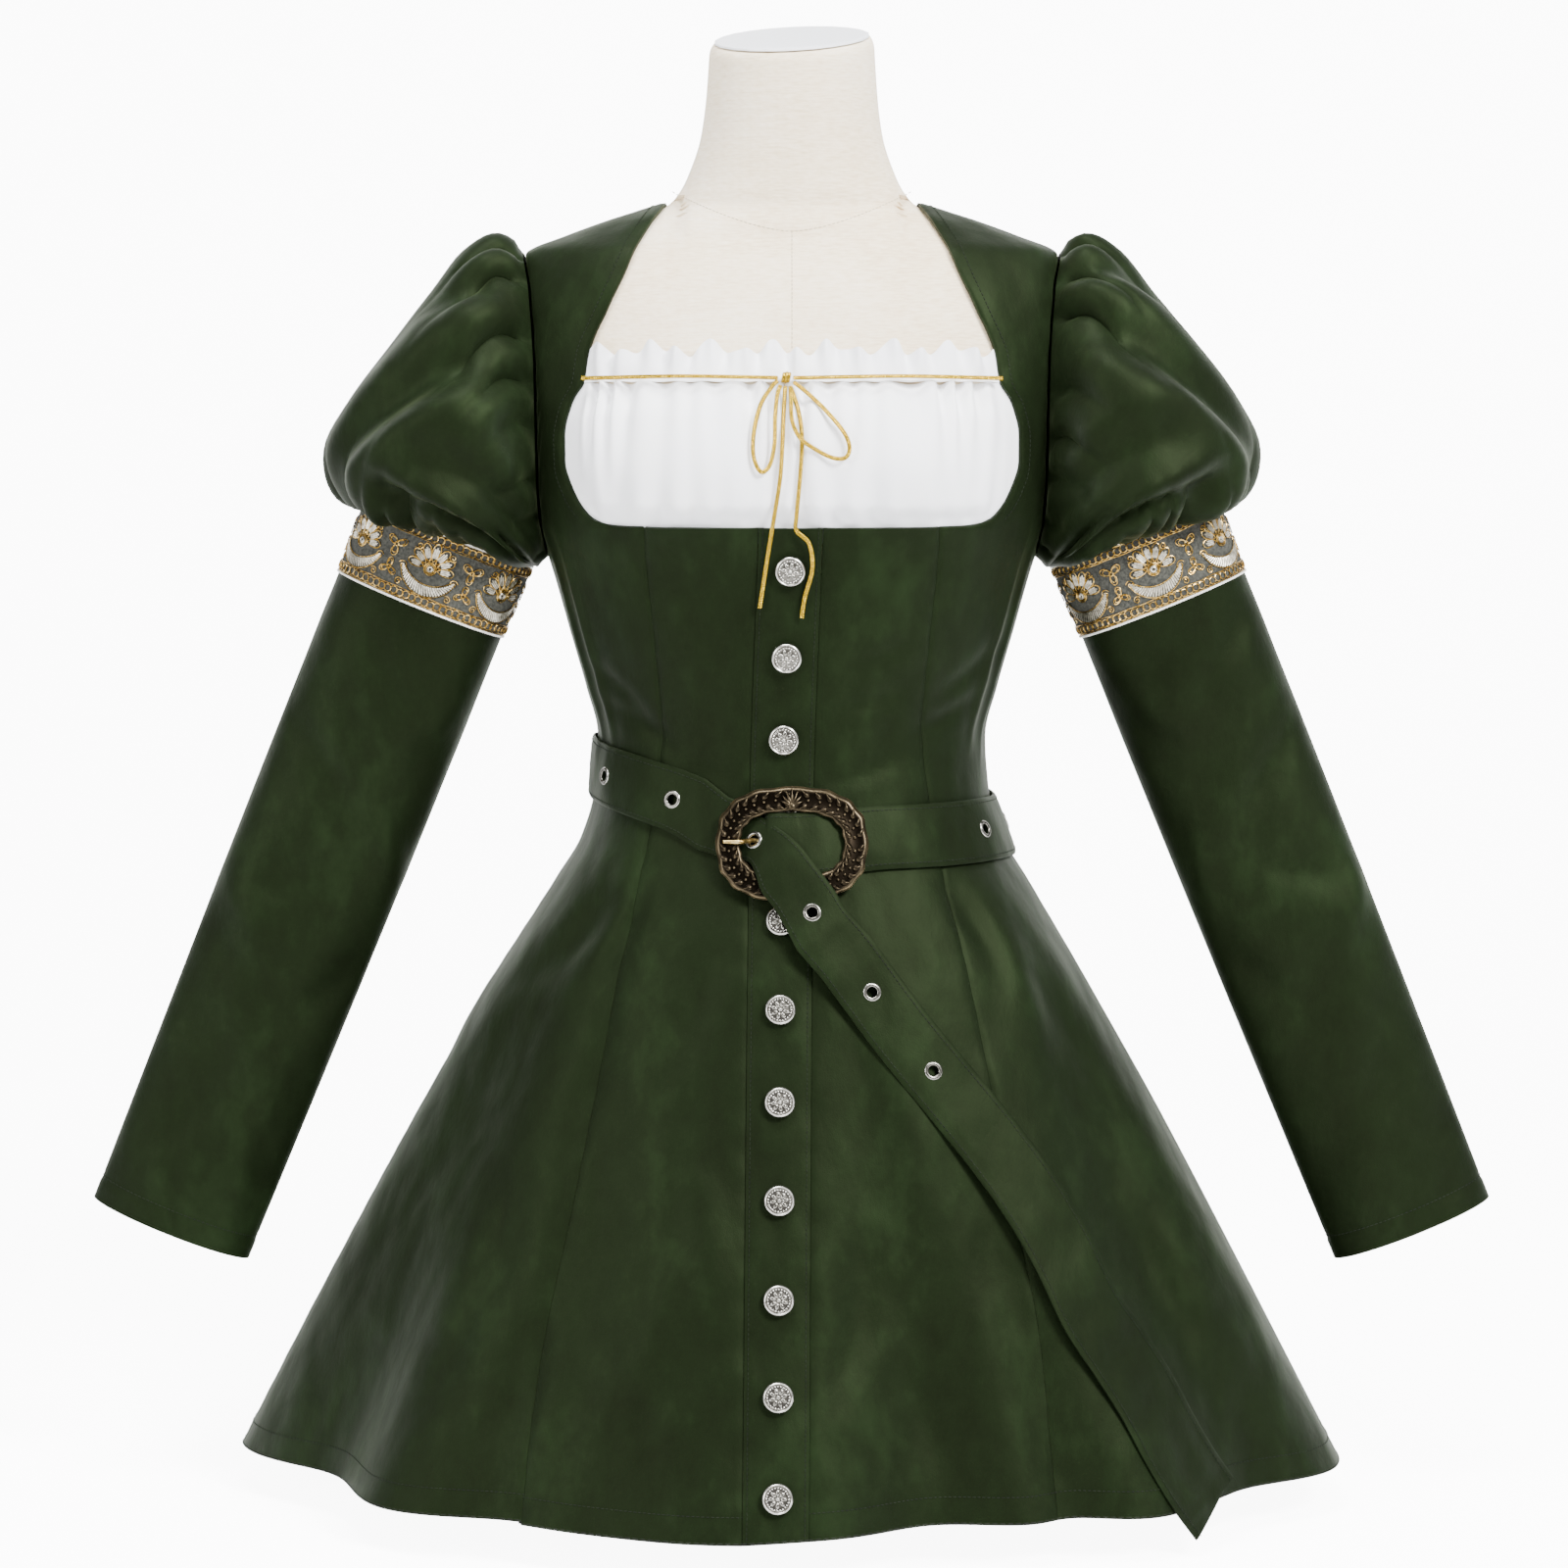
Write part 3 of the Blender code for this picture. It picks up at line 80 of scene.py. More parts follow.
# %% Table of sections
class Table:
    """Rows under named columns, read at any place by a smooth curve with no overshoot."""

    def __init__(self, names, rows):
        data = np.array(rows, float).T
        self.key = data[0]
        self.columns = {n: (v, self.slopes(v)) for n, v in zip(names[1:], data[1:])}

    def slopes(self, values):
        steps = np.diff(values) / np.diff(self.key)
        a, b = steps[:-1], steps[1:]
        same = a * b > 0
        inner = np.where(same, 2 * a * b / np.where(same, a + b, 1.0), 0.0)
        return np.concatenate(([steps[0]], inner, [steps[-1]]))

    def __call__(self, name, at):
        values, slopes = self.columns[name]
        at = np.clip(at, self.key[0], self.key[-1])
        i = np.clip(np.searchsorted(self.key, at) - 1, 0, len(self.key) - 2)
        width = self.key[i + 1] - self.key[i]
        t = (at - self.key[i]) / width
        low = values[i] * (1 + 2 * t) * (1 - t) ** 2 + slopes[i] * width * t * (1 - t) ** 2
        high = values[i + 1] * t * t * (3 - 2 * t) + slopes[i + 1] * width * t * t * (t - 1)
        return low + high


BODY = Table(
    ("z", "half_width", "front", "back", "centre", "power"),
    [
        (0.000, 0.3680, 0.246, 0.250, 0.000, 2.00),
        (0.130, 0.3025, 0.205, 0.212, 0.000, 2.00),
        (0.261, 0.2330, 0.163, 0.168, 0.000, 2.05),
        (0.326, 0.1955, 0.142, 0.146, 0.000, 2.10),
        (0.391, 0.1560, 0.121, 0.124, 0.002, 2.15),
        (0.423, 0.1370, 0.109, 0.111, 0.004, 2.20),
        (0.455, 0.1285, 0.101, 0.101, 0.005, 2.20),
        (0.487, 0.1265, 0.099, 0.098, 0.006, 2.20),
        (0.519, 0.1340, 0.101, 0.099, 0.006, 2.20),
        (0.551, 0.1430, 0.104, 0.102, 0.006, 2.25),
        (0.603, 0.1580, 0.108, 0.107, 0.008, 2.30),
        (0.640, 0.1720, 0.110, 0.109, 0.010, 2.30),
        (0.680, 0.1800, 0.108, 0.110, 0.012, 2.30),
        (0.720, 0.1830, 0.102, 0.107, 0.013, 2.30),
        (0.760, 0.1830, 0.092, 0.099, 0.014, 2.30),
        (0.785, 0.1790, 0.081, 0.087, 0.014, 2.30),
        (0.799, 0.1730, 0.072, 0.074, 0.014, 2.30),
        (0.810, 0.1470, 0.062, 0.062, 0.014, 2.30),
        (0.820, 0.1195, 0.051, 0.051, 0.013, 2.30),
        (0.826, 0.1005, 0.043, 0.043, 0.012, 2.30),
        (0.8325, 0.0820, 0.036, 0.036, 0.011, 2.30),
        (0.8400, 0.0700, 0.032, 0.032, 0.010, 2.30),
    ],
)
FORM = Table(
    ("z", "half_width", "front", "back", "centre", "power"),
    [
        (0.268, 0.1500, 0.105, 0.108, 0.000, 2.10),
        (0.310, 0.1570, 0.112, 0.116, 0.000, 2.10),
        (0.360, 0.1500, 0.108, 0.112, 0.001, 2.15),
        (0.391, 0.1380, 0.105, 0.107, 0.003, 2.20),
        (0.423, 0.1260, 0.099, 0.100, 0.004, 2.20),
        (0.455, 0.1200, 0.093, 0.093, 0.005, 2.20),
        (0.487, 0.1185, 0.091, 0.090, 0.006, 2.20),
        (0.519, 0.1250, 0.093, 0.091, 0.006, 2.20),
        (0.551, 0.1340, 0.096, 0.095, 0.006, 2.25),
        (0.603, 0.1500, 0.101, 0.101, 0.008, 2.30),
        (0.640, 0.1650, 0.103, 0.103, 0.010, 2.30),
        (0.680, 0.1740, 0.102, 0.105, 0.012, 2.30),
        (0.720, 0.1780, 0.097, 0.103, 0.013, 2.30),
        (0.757, 0.1780, 0.088, 0.095, 0.014, 2.30),
        (0.782, 0.1750, 0.077, 0.083, 0.014, 2.30),
        (0.796, 0.1690, 0.068, 0.070, 0.014, 2.25),
        (0.807, 0.1455, 0.062, 0.061, 0.014, 2.10),
        (0.817, 0.1180, 0.058, 0.056, 0.012, 1.85),
        (0.823, 0.0990, 0.055, 0.053, 0.011, 1.80),
        (0.829, 0.0810, 0.053, 0.051, 0.010, 1.90),
        (0.837, 0.0730, 0.052, 0.051, 0.008, 2.00),
        (0.848, 0.0670, 0.051, 0.051, 0.006, 2.00),
        (0.873, 0.0585, 0.050, 0.050, 0.002, 2.00),
        (0.898, 0.0550, 0.049, 0.049, -0.002, 2.00),
        (0.9345, 0.0525, 0.048, 0.048, -0.005, 2.00),
    ],
)
ARMHOLE = Table(
    ("z", "x"),
    [(0.603, 0.1580), (0.640, 0.1625), (0.720, 0.1640), (0.775, 0.1680), (0.799, 0.1730)],
)
SEAMS = Table(
    ("z", "front", "back"),
    [
        (0.000, 0.172, 0.163), (0.120, 0.156, 0.140), (0.217, 0.135, 0.115),
        (0.353, 0.109, 0.085), (0.391, 0.100, 0.075), (0.436, 0.090, 0.064),
        (0.500, 0.083, 0.056), (0.551, 0.087, 0.060), (0.625, 0.093, 0.068),
        (0.720, 0.093, 0.074), (0.798, 0.093, 0.070),
    ],
)
PLACKET = Table(("z", "shift"), [(0.0, -0.0100), (0.45, -0.0065), (0.63, -0.0005)])
print("sections:", len(BODY.key), "for the gown,", len(FORM.key), "for the form")

# %% [markdown]
# ## Folds
# The skirt hangs in soft folds that deepen towards the hem. Each fold is a ridge or a valley
# with its own angle, height and width, so no two are alike.

# %% Folds
HEM_Z = 0.018
UNDERARM_Z = 0.603
SHOULDER_END_Z = 0.799
UNDERBUST_Z = 0.6250
WALL = 0.0020
SEAM_GAP = 0.0002
FOLDS = (
    # angle at the hem and at the top in degrees, height, half width in degrees, top
    (-88, -84, 0.006, 9, 0.40), (-64, -60, -0.030, 13, 0.40), (-44, -42, 0.008, 8, 0.42),
    (-30, -27, -0.006, 6, 0.36), (-10, -9, 0.006, 8, 0.38), (15, 12, -0.024, 8, 0.36),
    (30, 26, -0.012, 4, 0.30), (38, 33, 0.009, 6, 0.40), (56, 50, -0.012, 8, 0.40),
    (72, 64, 0.010, 9, 0.41), (96, 92, -0.012, 9, 0.40), (116, 110, 0.014, 10, 0.41),
    (138, 132, -0.018, 9, 0.40), (158, 152, 0.014, 9, 0.42), (178, 178, -0.020, 10, 0.41),
    (-158, -152, 0.014, 9, 0.42), (-136, -130, -0.016, 9, 0.40), (-112, -108, 0.012, 10, 0.41),
)
GATHERS = (
    # angle, height, half width in degrees, lower and upper end
    (-73, 0.0022, 2.2, 0.47, 0.63), (-64, 0.0024, 2.2, 0.48, 0.63),
    (64, 0.0024, 2.2, 0.48, 0.63), (73, 0.0022, 2.2, 0.47, 0.63),
)


def smoothstep(t):
    t = np.clip(t, 0.0, 1.0)
    return t * t * (3 - 2 * t)


def lerp(a, b, t):
    return a + (b - a) * t


def signed_power(value, power):
    return np.sign(value) * np.abs(value) ** power


def around(degrees):
    return (degrees + 180) % 360 - 180


def fold_height(angle, z):
    degrees = np.degrees(angle)
    total = np.zeros(np.broadcast(angle, z).shape)
    for hem, top, height, half, top_z in FOLDS:
        fall = np.clip((top_z - z) / (top_z - HEM_Z), 0, None)
        off = around(degrees - lerp(top, hem, fall))
        total = total + height * np.minimum(fall, 1) ** 1.2 * np.exp(-((off / half) ** 2))
    for centre, height, half, low, high in GATHERS:
        along = np.clip((z - low) / (high - low), 0, 1)
        off = around(degrees - centre)
        total = total + height * np.sin(np.pi * along) ** 0.7 * np.exp(-((off / half) ** 2))
    return total


print(len(FOLDS), "folds and", len(GATHERS), "gathers")

# %% [markdown]
# ## The gown's surface
# One function gives the point of the cloth at an angle round the body and a height. Its normal
# comes from the points beside it, so a piece that lies on the cloth is the same point moved out.

# %% Surface of the gown
def section(table, angle, z):
    power = 2 / table("power", z)
    side, ahead = np.sin(angle), np.cos(angle)
    depth = np.where(ahead > 0, table("front", z), table("back", z))
    x = table("half_width", z) * signed_power(side, power)
    y = table("centre", z) - depth * signed_power(ahead, power)
    return np.stack(np.broadcast_arrays(x, y, z), axis=-1)


def angle_at(x, z):
    share = np.minimum(np.abs(x) / BODY("half_width", z), 1.0)
    return np.sign(x) * np.arcsin(share ** (BODY("power", z) / 2))


def bust(x, z):
    cups = 0.022 * np.exp(-((np.abs(x) - 0.070) / 0.052) ** 2 - ((z - 0.668) / 0.046) ** 2)
    return cups + 0.006 * np.exp(-(x / 0.04) ** 2 - ((z - 0.668) / 0.05) ** 2)


def surface(angle, z):
    angle, z = np.broadcast_arrays(np.asarray(angle, float), np.asarray(z, float))
    point = section(BODY, angle, z)
    point[..., 1] -= bust(point[..., 0], z) * np.clip(np.cos(angle), 0, None)
    out = fold_height(angle, z)
    point[..., 0] += out * np.sin(angle)
    point[..., 1] -= out * np.cos(angle)
    return point


def unit(vectors):
    return vectors / np.maximum(np.linalg.norm(vectors, axis=-1, keepdims=True), 1e-12)


def outward(angle, z, step=0.004):
    across = surface(angle + step, z) - surface(angle - step, z)
    up = surface(angle, z + step / 2) - surface(angle, z - step / 2)
    return unit(np.cross(across, up))


def cloth(angle, z, out=0.0):
    return surface(angle, z) + np.asarray(out)[..., None] * outward(angle, z)


def front_point(x, z, out=0.0):
    return cloth(angle_at(x, z), z, out)


def hem_z(angle):
    return HEM_Z - 0.30 * np.minimum(fold_height(angle, HEM_Z), 0.010)


def armhole_angle(z):
    z = np.asarray(z, float)
    edge = angle_at(np.minimum(ARMHOLE("x", z), BODY("half_width", z)), z)
    return np.where((z <= UNDERARM_Z) | (z >= SHOULDER_END_Z), np.pi / 2, edge)


print("waist at the side:", surface(math.pi / 2, 0.487).round(4))

# %% [markdown]
# ## Meshes from grids
# Cloth has two faces and a cut edge. A grid of points on its outer face and one on its inner
# face make one closed wall, which is honest from every side. Many small threads go into one
# mesh, so a bundle collects them before it becomes an object.

# %% Mesh helpers
def new_object(name, points, faces, sharp=50):
    """A mesh object from points in table heights, lifted onto the base plate."""
    mesh = bpy.data.meshes.new(name)
    mesh.from_pydata((np.asarray(points) + (0, 0, FLOOR_PLATE)).tolist(), [], faces)
    mesh.shade_smooth()
    mesh.set_sharp_from_angle(angle=math.radians(sharp))
    made = bpy.data.objects.new(name, mesh)
    bpy.context.collection.objects.link(made)
    return made


def finish_piece(made, material, slot, *nodes):
    """Every piece gets its material, rides on the gown and stands for its solids."""
    made.data.materials.append(material)
    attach(made, "root")
    if nodes:
        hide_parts(*nodes)
    return made


def grid_faces(rows, columns, closed, start, turned):
    i, j = np.meshgrid(np.arange(rows - 1), np.arange(columns if closed else columns - 1), indexing="ij")
    k = (j + 1) % columns
    quads = np.stack([i * columns + j, i * columns + k, (i + 1) * columns + k, (i + 1) * columns + j], -1)
    quads = quads.reshape(-1, 4) + start
    return quads[:, ::-1] if turned else quads


def wall(name, outer, inner, closed=False, sharp=50):
    """A cloth wall between two grids of rows, an open strip or a closed tube."""
    rows, columns = outer.shape[:2]
    half = rows * columns
    across, up = outer[0, 1] - outer[0, 0], outer[1, 0] - outer[0, 0]
    turned = np.dot(np.cross(across, up), outer[0, 0] - inner[0, 0]) < 0
    faces = [grid_faces(rows, columns, closed, 0, turned), grid_faces(rows, columns, closed, half, not turned)]
    j = np.arange(columns if closed else columns - 1)
    k = (j + 1) % columns
    for row, flip in ((0, turned), (rows - 1, not turned)):
        a, b = row * columns + j, row * columns + k
        rim = np.stack([a, a + half, b + half, b], -1)
        faces.append(rim[:, ::-1] if flip else rim)
    if not closed:
        i = np.arange(rows - 1) * columns
        for column, flip in ((0, not turned), (columns - 1, turned)):
            a, b = i + column, i + column + columns
            rim = np.stack([a, a + half, b + half, b], -1)
            faces.append(rim[:, ::-1] if flip else rim)
    points = np.concatenate([outer.reshape(-1, 3), inner.reshape(-1, 3)])
    return new_object(name, points, np.concatenate(faces).tolist(), sharp)


def walk(points, axis):
    """Distance along rows or columns of a grid, from its first line."""
    steps = np.linalg.norm(np.diff(points, axis=axis), axis=-1)
    shape = list(steps.shape)
    shape[axis] = 1
    return np.concatenate([np.zeros(shape), np.cumsum(steps, axis=axis)], axis=axis)


def normals_of(grid, closed=False):
    """Normals of a grid, to the left of its rows' direction as they rise."""
    if closed:
        across = np.roll(grid, -1, axis=1) - np.roll(grid, 1, axis=1)
    else:
        across = np.gradient(grid, axis=1)
    return unit(np.cross(across, np.gradient(grid, axis=0)))


class Bundle:
    """Many small shapes that become one mesh."""

    def __init__(self):
        self.points, self.faces, self.count = [], [], 0

    def add(self, points, faces):
        self.points.append(points)
        self.faces += [tuple(int(c) + self.count for c in face) for face in faces]
        self.count += len(points)

    def tube(self, path, normals, radius, sides=6, flat=1.0, closed=False):
        """A cord along a path, its flat side facing the normals."""
        path, normals = np.asarray(path, float), np.asarray(normals, float)
        if closed:
            along = np.roll(path, -1, axis=0) - np.roll(path, 1, axis=0)
        else:
            along = np.gradient(path, axis=0)
        side = unit(np.cross(along, normals))
        up = unit(np.cross(side, along))
        turn = np.arange(sides) / sides * 2 * np.pi
        radius = np.broadcast_to(radius, len(path))[:, None, None]
        ring = np.cos(turn)[None, :, None] * side[:, None] + flat * np.sin(turn)[None, :, None] * up[:, None]
        points = (path[:, None] + radius * ring).reshape(-1, 3)
        rows = len(path) + (1 if closed else 0)
        quads = grid_faces(rows, sides, True, 0, False) % len(points)
        faces = quads.tolist()
        if not closed:
            faces.append(tuple(range(sides))[::-1])
            faces.append(tuple(range(len(points) - sides, len(points))))
        self.add(points, faces)

    def make(self, name, sharp=60):
        return new_object(name, np.concatenate(self.points), self.faces, sharp)


def resample(path, spacing, measured=3):
    """The same line with evenly spaced points. Length runs over the first columns only."""
    at = walk(path[:, None, :measured], 0)[:, 0]
    count = max(int(round(at[-1] / spacing)), 2)
    goal = np.linspace(0, at[-1], count + 1)
    return np.stack([np.interp(goal, at, path[:, c]) for c in range(path.shape[1])], -1)


print("mesh helpers are ready")

# %% [markdown]
# ## Finishes
# A finish is built from nodes that read the piece's own coordinates, so it stays on the cloth
# from every side. Colours are written as the hex values that a screen shows and turned to
# linear light once, by one function.

# %% Material helpers
def linear(text):
    """An sRGB hex colour as linear light."""
    parts = [int(text[i:i + 2], 16) / 255 for i in (1, 3, 5)]
    return tuple(c / 12.92 if c <= 0.04045 else ((c + 0.055) / 1.055) ** 2.4 for c in parts) + (1.0,)


def new_material(name, **sockets):
    """A Principled surface with its constants set on its own sockets."""
    material = bpy.data.materials.new(name)
    material.use_nodes = True
    shader = material.node_tree.nodes["Principled BSDF"]
    for socket, value in sockets.items():
        shader.inputs[socket.replace("_", " ")].default_value = value
    return material, material.node_tree, shader


def add(tree, kind, inputs=(), stops=(), **settings):
    """One node with its settings, its ramp's stops and its inputs, which are values or links."""
    made = tree.nodes.new(kind)
    for name, value in settings.items():
        setattr(made, name, value)
    for index, (place, colour) in enumerate(stops):
        elements = made.color_ramp.elements
        stop = elements[index] if index < len(elements) else elements.new(place)
        stop.position, stop.color = place, colour
    for socket, value in dict(inputs).items():
        if isinstance(value, bpy.types.NodeSocket):
            tree.links.new(value, made.inputs[socket])
        else:
            made.inputs[socket].default_value = value
    return made


print("material helpers are ready")

# %% [markdown]
# Velvet is a cut pile: thousands of short upright hairs. It is dark where we look down into the
# pile and pale where the hairs lean or the cloth turns away, so the shader gets sheen, a soft
# wide gloss and broad patches where the nap lies another way: a bump, and lighter and darker
# patches in the colour, partly random tone and partly painted sheen.

# %% Velvet
def make_velvet():
    material, tree, shader = new_material(
        "moss_green_velvet", Roughness=0.52, Specular_IOR_Level=0.21, Sheen_Weight=0.15,
        Sheen_Roughness=0.38, Sheen_Tint=linear("#7d9065"), Specular_Tint=linear("#8fa474"),
    )
    place = add(tree, "ShaderNodeTexCoord").outputs["Object"]
    hanging = add(tree, "ShaderNodeMapping", {"Vector": place, "Scale": (1, 1, 0.6)}).outputs["Vector"]
    nap_and_sheen = add(tree, "ShaderNodeTexNoise", {"Vector": hanging, "Scale": 15, "Detail": 2, "Roughness": 0.5})
    crush_and_sheen = add(tree, "ShaderNodeTexNoise", {"Vector": hanging, "Scale": 75, "Detail": 4, "Roughness": 0.6})
    both = add(tree, "ShaderNodeMix", {"Factor": 0.45, "A": nap_and_sheen.outputs["Fac"], "B": crush_and_sheen.outputs["Fac"]})
    # The colour ramp paints broad lighter and darker patches: partly random tone, partly painted sheen where the
    # nap and crush marks lie another way.
    shade = add(
        tree, "ShaderNodeValToRGB", {"Fac": both.outputs["Result"]},
        stops=((0.28, linear("#080c05")), (0.52, linear("#0c1308")), (0.76, linear("#152010"))),
    )
    lie = add(tree, "ShaderNodeBump", {"Height": nap_and_sheen.outputs["Fac"], "Strength": 0.7, "Distance": 0.012})
    pile = add(tree, "ShaderNodeTexNoise", {"Vector": place, "Scale": 1400, "Detail": 2})
    soft = add(tree, "ShaderNodeBump", {
        "Height": crush_and_sheen.outputs["Fac"], "Strength": 0.35, "Distance": 0.0014, "Normal": lie.outputs["Normal"],
    })
    fine = add(
        tree, "ShaderNodeBump",
        {"Height": pile.outputs["Fac"], "Strength": 0.3, "Distance": 0.0003, "Normal": soft.outputs["Normal"]},
    )
    tree.links.new(shade.outputs["Color"], shader.inputs["Base Color"])
    tree.links.new(fine.outputs["Normal"], shader.inputs["Normal"])
    return material


def make_plain(name, dark, pale, noise_scale, bump_mm, **sockets):
    """A smooth finish whose colour wanders a little, with a fine even grain."""
    material, tree, shader = new_material(name, **sockets)
    place = add(tree, "ShaderNodeTexCoord").outputs["Object"]
    wander = add(tree, "ShaderNodeTexNoise", {"Vector": place, "Scale": noise_scale, "Detail": 3})
    shade = add(
        tree, "ShaderNodeValToRGB", {"Fac": wander.outputs["Fac"]},
        stops=((0.35, linear(dark)), (0.65, linear(pale))),
    )
    grain = add(tree, "ShaderNodeTexNoise", {"Vector": place, "Scale": 1200, "Detail": 2})
    bump = add(tree, "ShaderNodeBump", {"Height": grain.outputs["Fac"], "Strength": 0.3, "Distance": bump_mm * MM})
    tree.links.new(shade.outputs["Color"], shader.inputs["Base Color"])
    tree.links.new(bump.outputs["Normal"], shader.inputs["Normal"])
    return material


def make_linen():
    """Plain-woven linen, its threads drawn at 0.9 mm so that the weave shows."""
    material, tree, shader = new_material(
        "ecru_linen", Roughness=0.85, Specular_IOR_Level=0.25, Sheen_Weight=0.15,
    )
    place = add(tree, "ShaderNodeTexCoord").outputs["Object"]
    slub = add(tree, "ShaderNodeMapping", {"Vector": place, "Scale": (0.15, 0.15, 1)}).outputs["Vector"]
    slubs = add(tree, "ShaderNodeTexNoise", {"Vector": slub, "Scale": 900, "Detail": 3})
    wander = add(tree, "ShaderNodeTexNoise", {"Vector": place, "Scale": 9, "Detail": 3})
    both = add(tree, "ShaderNodeMix", {"Factor": 0.5, "A": slubs.outputs["Fac"], "B": wander.outputs["Fac"]})
    shade = add(
        tree, "ShaderNodeValToRGB", {"Fac": both.outputs["Result"]},
        stops=((0.35, linear("#dcc8a6")), (0.50, linear("#ecdcc0")), (0.65, linear("#f5e9d4"))),
    )
    threads_per_metre = 1 / (0.9 * MM)
    weft = add(
        tree, "ShaderNodeTexWave", {"Vector": place, "Scale": threads_per_metre / 20, "Distortion": 0.4},
        bands_direction="Z",
    )
    warp = add(
        tree, "ShaderNodeTexWave", {"Vector": place, "Scale": threads_per_metre / 20, "Distortion": 0.4},
        bands_direction="X",
    )
    weave = add(
        tree, "ShaderNodeMath", {0: weft.outputs["Fac"], 1: warp.outputs["Fac"]}, operation="MULTIPLY",
    )
    bump = add(tree, "ShaderNodeBump", {"Height": weave.outputs["Value"], "Strength": 0.5, "Distance": 0.00025})
    tree.links.new(shade.outputs["Color"], shader.inputs["Base Color"])
    tree.links.new(bump.outputs["Normal"], shader.inputs["Normal"])
    return material


def make_patina_and_glints(name, hollow_and_shade, body, worn_and_glint, size, edges=0.0, **sockets):
    """A plated metal: dark in its pores, and on a casting pale where edges have been handled. On the wrapped
    threads and the braid, which have no edge weight, the noise paints pale glints and dark shade into the colour.
    """
    material, tree, shader = new_material(name, Metallic=1.0, **sockets)
    place = add(tree, "ShaderNodeTexCoord").outputs["Object"]
    grain = add(tree, "ShaderNodeTexNoise", {"Vector": place, "Scale": size, "Detail": 5, "Roughness": 0.65})
    high = add(tree, "ShaderNodeNewGeometry").outputs["Pointiness"]
    wear = add(tree, "ShaderNodeMapRange", {"Value": high, "From Min": 0.47, "From Max": 0.68})
    both = add(tree, "ShaderNodeMix", {"Factor": edges, "A": grain.outputs["Fac"], "B": wear.outputs["Result"]})
    # On the threads and the braid this ramp paints glints in its pale stop and shade in its dark one; on the
    # castings it is patina in the hollows and wear on the edges.
    shade = add(
        tree, "ShaderNodeValToRGB", {"Fac": both.outputs["Result"]},
        stops=((0.34, linear(hollow_and_shade)), (0.50, linear(body)), (0.68, linear(worn_and_glint))),
    )
    bump = add(tree, "ShaderNodeBump", {"Height": grain.outputs["Fac"], "Strength": 0.25, "Distance": 0.0004})
    tree.links.new(shade.outputs["Color"], shader.inputs["Base Color"])
    tree.links.new(bump.outputs["Normal"], shader.inputs["Normal"])
    return material


VELVET = make_velvet()
COTTON = make_plain(
    "white_cotton_voile", "#f3f4f9", "#fcfdff", 14, 0.08, Roughness=0.78, Specular_IOR_Level=0.3,
    Sheen_Weight=0.2,
)
LINEN = make_linen()
CAP_WHITE = make_plain(
    "white_lacquer", "#e4e7ee", "#eff1f6", 6, 0.02, Roughness=0.35, Coat_Weight=0.2,
)
STEEL_WHITE = make_plain(
    "white_powder_coat", "#e2e2e2", "#ececec", 10, 0.06, Roughness=0.42,
)
THREAD = make_plain(
    "green_sewing_thread", "#0b1008", "#141b0e", 60, 0.05, Roughness=0.7, Specular_IOR_Level=0.15,
)
ECRU_THREAD = make_plain(
    "ecru_sewing_thread", "#b5a88f", "#c8bba2", 60, 0.05, Roughness=0.7,
)
NET = make_plain(
    "grey_net", "#2c2d29", "#45453f", 600, 0.3, Roughness=0.75, Specular_IOR_Level=0.2,
)
WHITE_CORD = make_plain(
    "white_piping_cord", "#dddbd3", "#f2f1ec", 220, 0.15, Roughness=0.6, Sheen_Weight=0.3,
)
# The two wrapped threads and the gold braid get painted glints and painted shade: random pale and dark patches in
# their colour.
SILVER_THREAD = make_patina_and_glints(
    "silver_wrapped_thread", "#8f8a7c", "#c0baa9", "#e9e4d6", 380, Roughness=0.38,
)
BRONZE_THREAD = make_patina_and_glints(
    "bronze_wrapped_thread", "#634a18", "#b08b42", "#ead08f", 420, Roughness=0.30,
)
# Painted glints and painted shade on the lurex braid, spread by noise.
GOLD = make_patina_and_glints(
    "gold_lurex_braid", "#4a3a06", "#a08019", "#dcbf45", 1500, Roughness=0.27,
)
SILVER = make_patina_and_glints(
    "aged_silver_plate", "#66645e", "#d6d4ce", "#fbfaf7", 60, 0.8, Roughness=0.24,
)
BRASS = make_patina_and_glints(
    "antique_brass", "#15110c", "#4a4132", "#b09a74", 120, 0.8, Roughness=0.34,
)
BRIGHT_BRASS = make_patina_and_glints(
    "handled_brass", "#6b552c", "#a58a50", "#dcc78e", 200, Roughness=0.30,
)
print(len(bpy.data.materials), "finishes")

# %% [markdown]
# ## The gown's panels
# The body is cut in eight pieces: a buttoned placket, two fronts, two side fronts, two side
# backs and a centre back. Each row of a panel runs between its two edges, and each seam pulls
# the cloth in a little, so the seams read as seams.

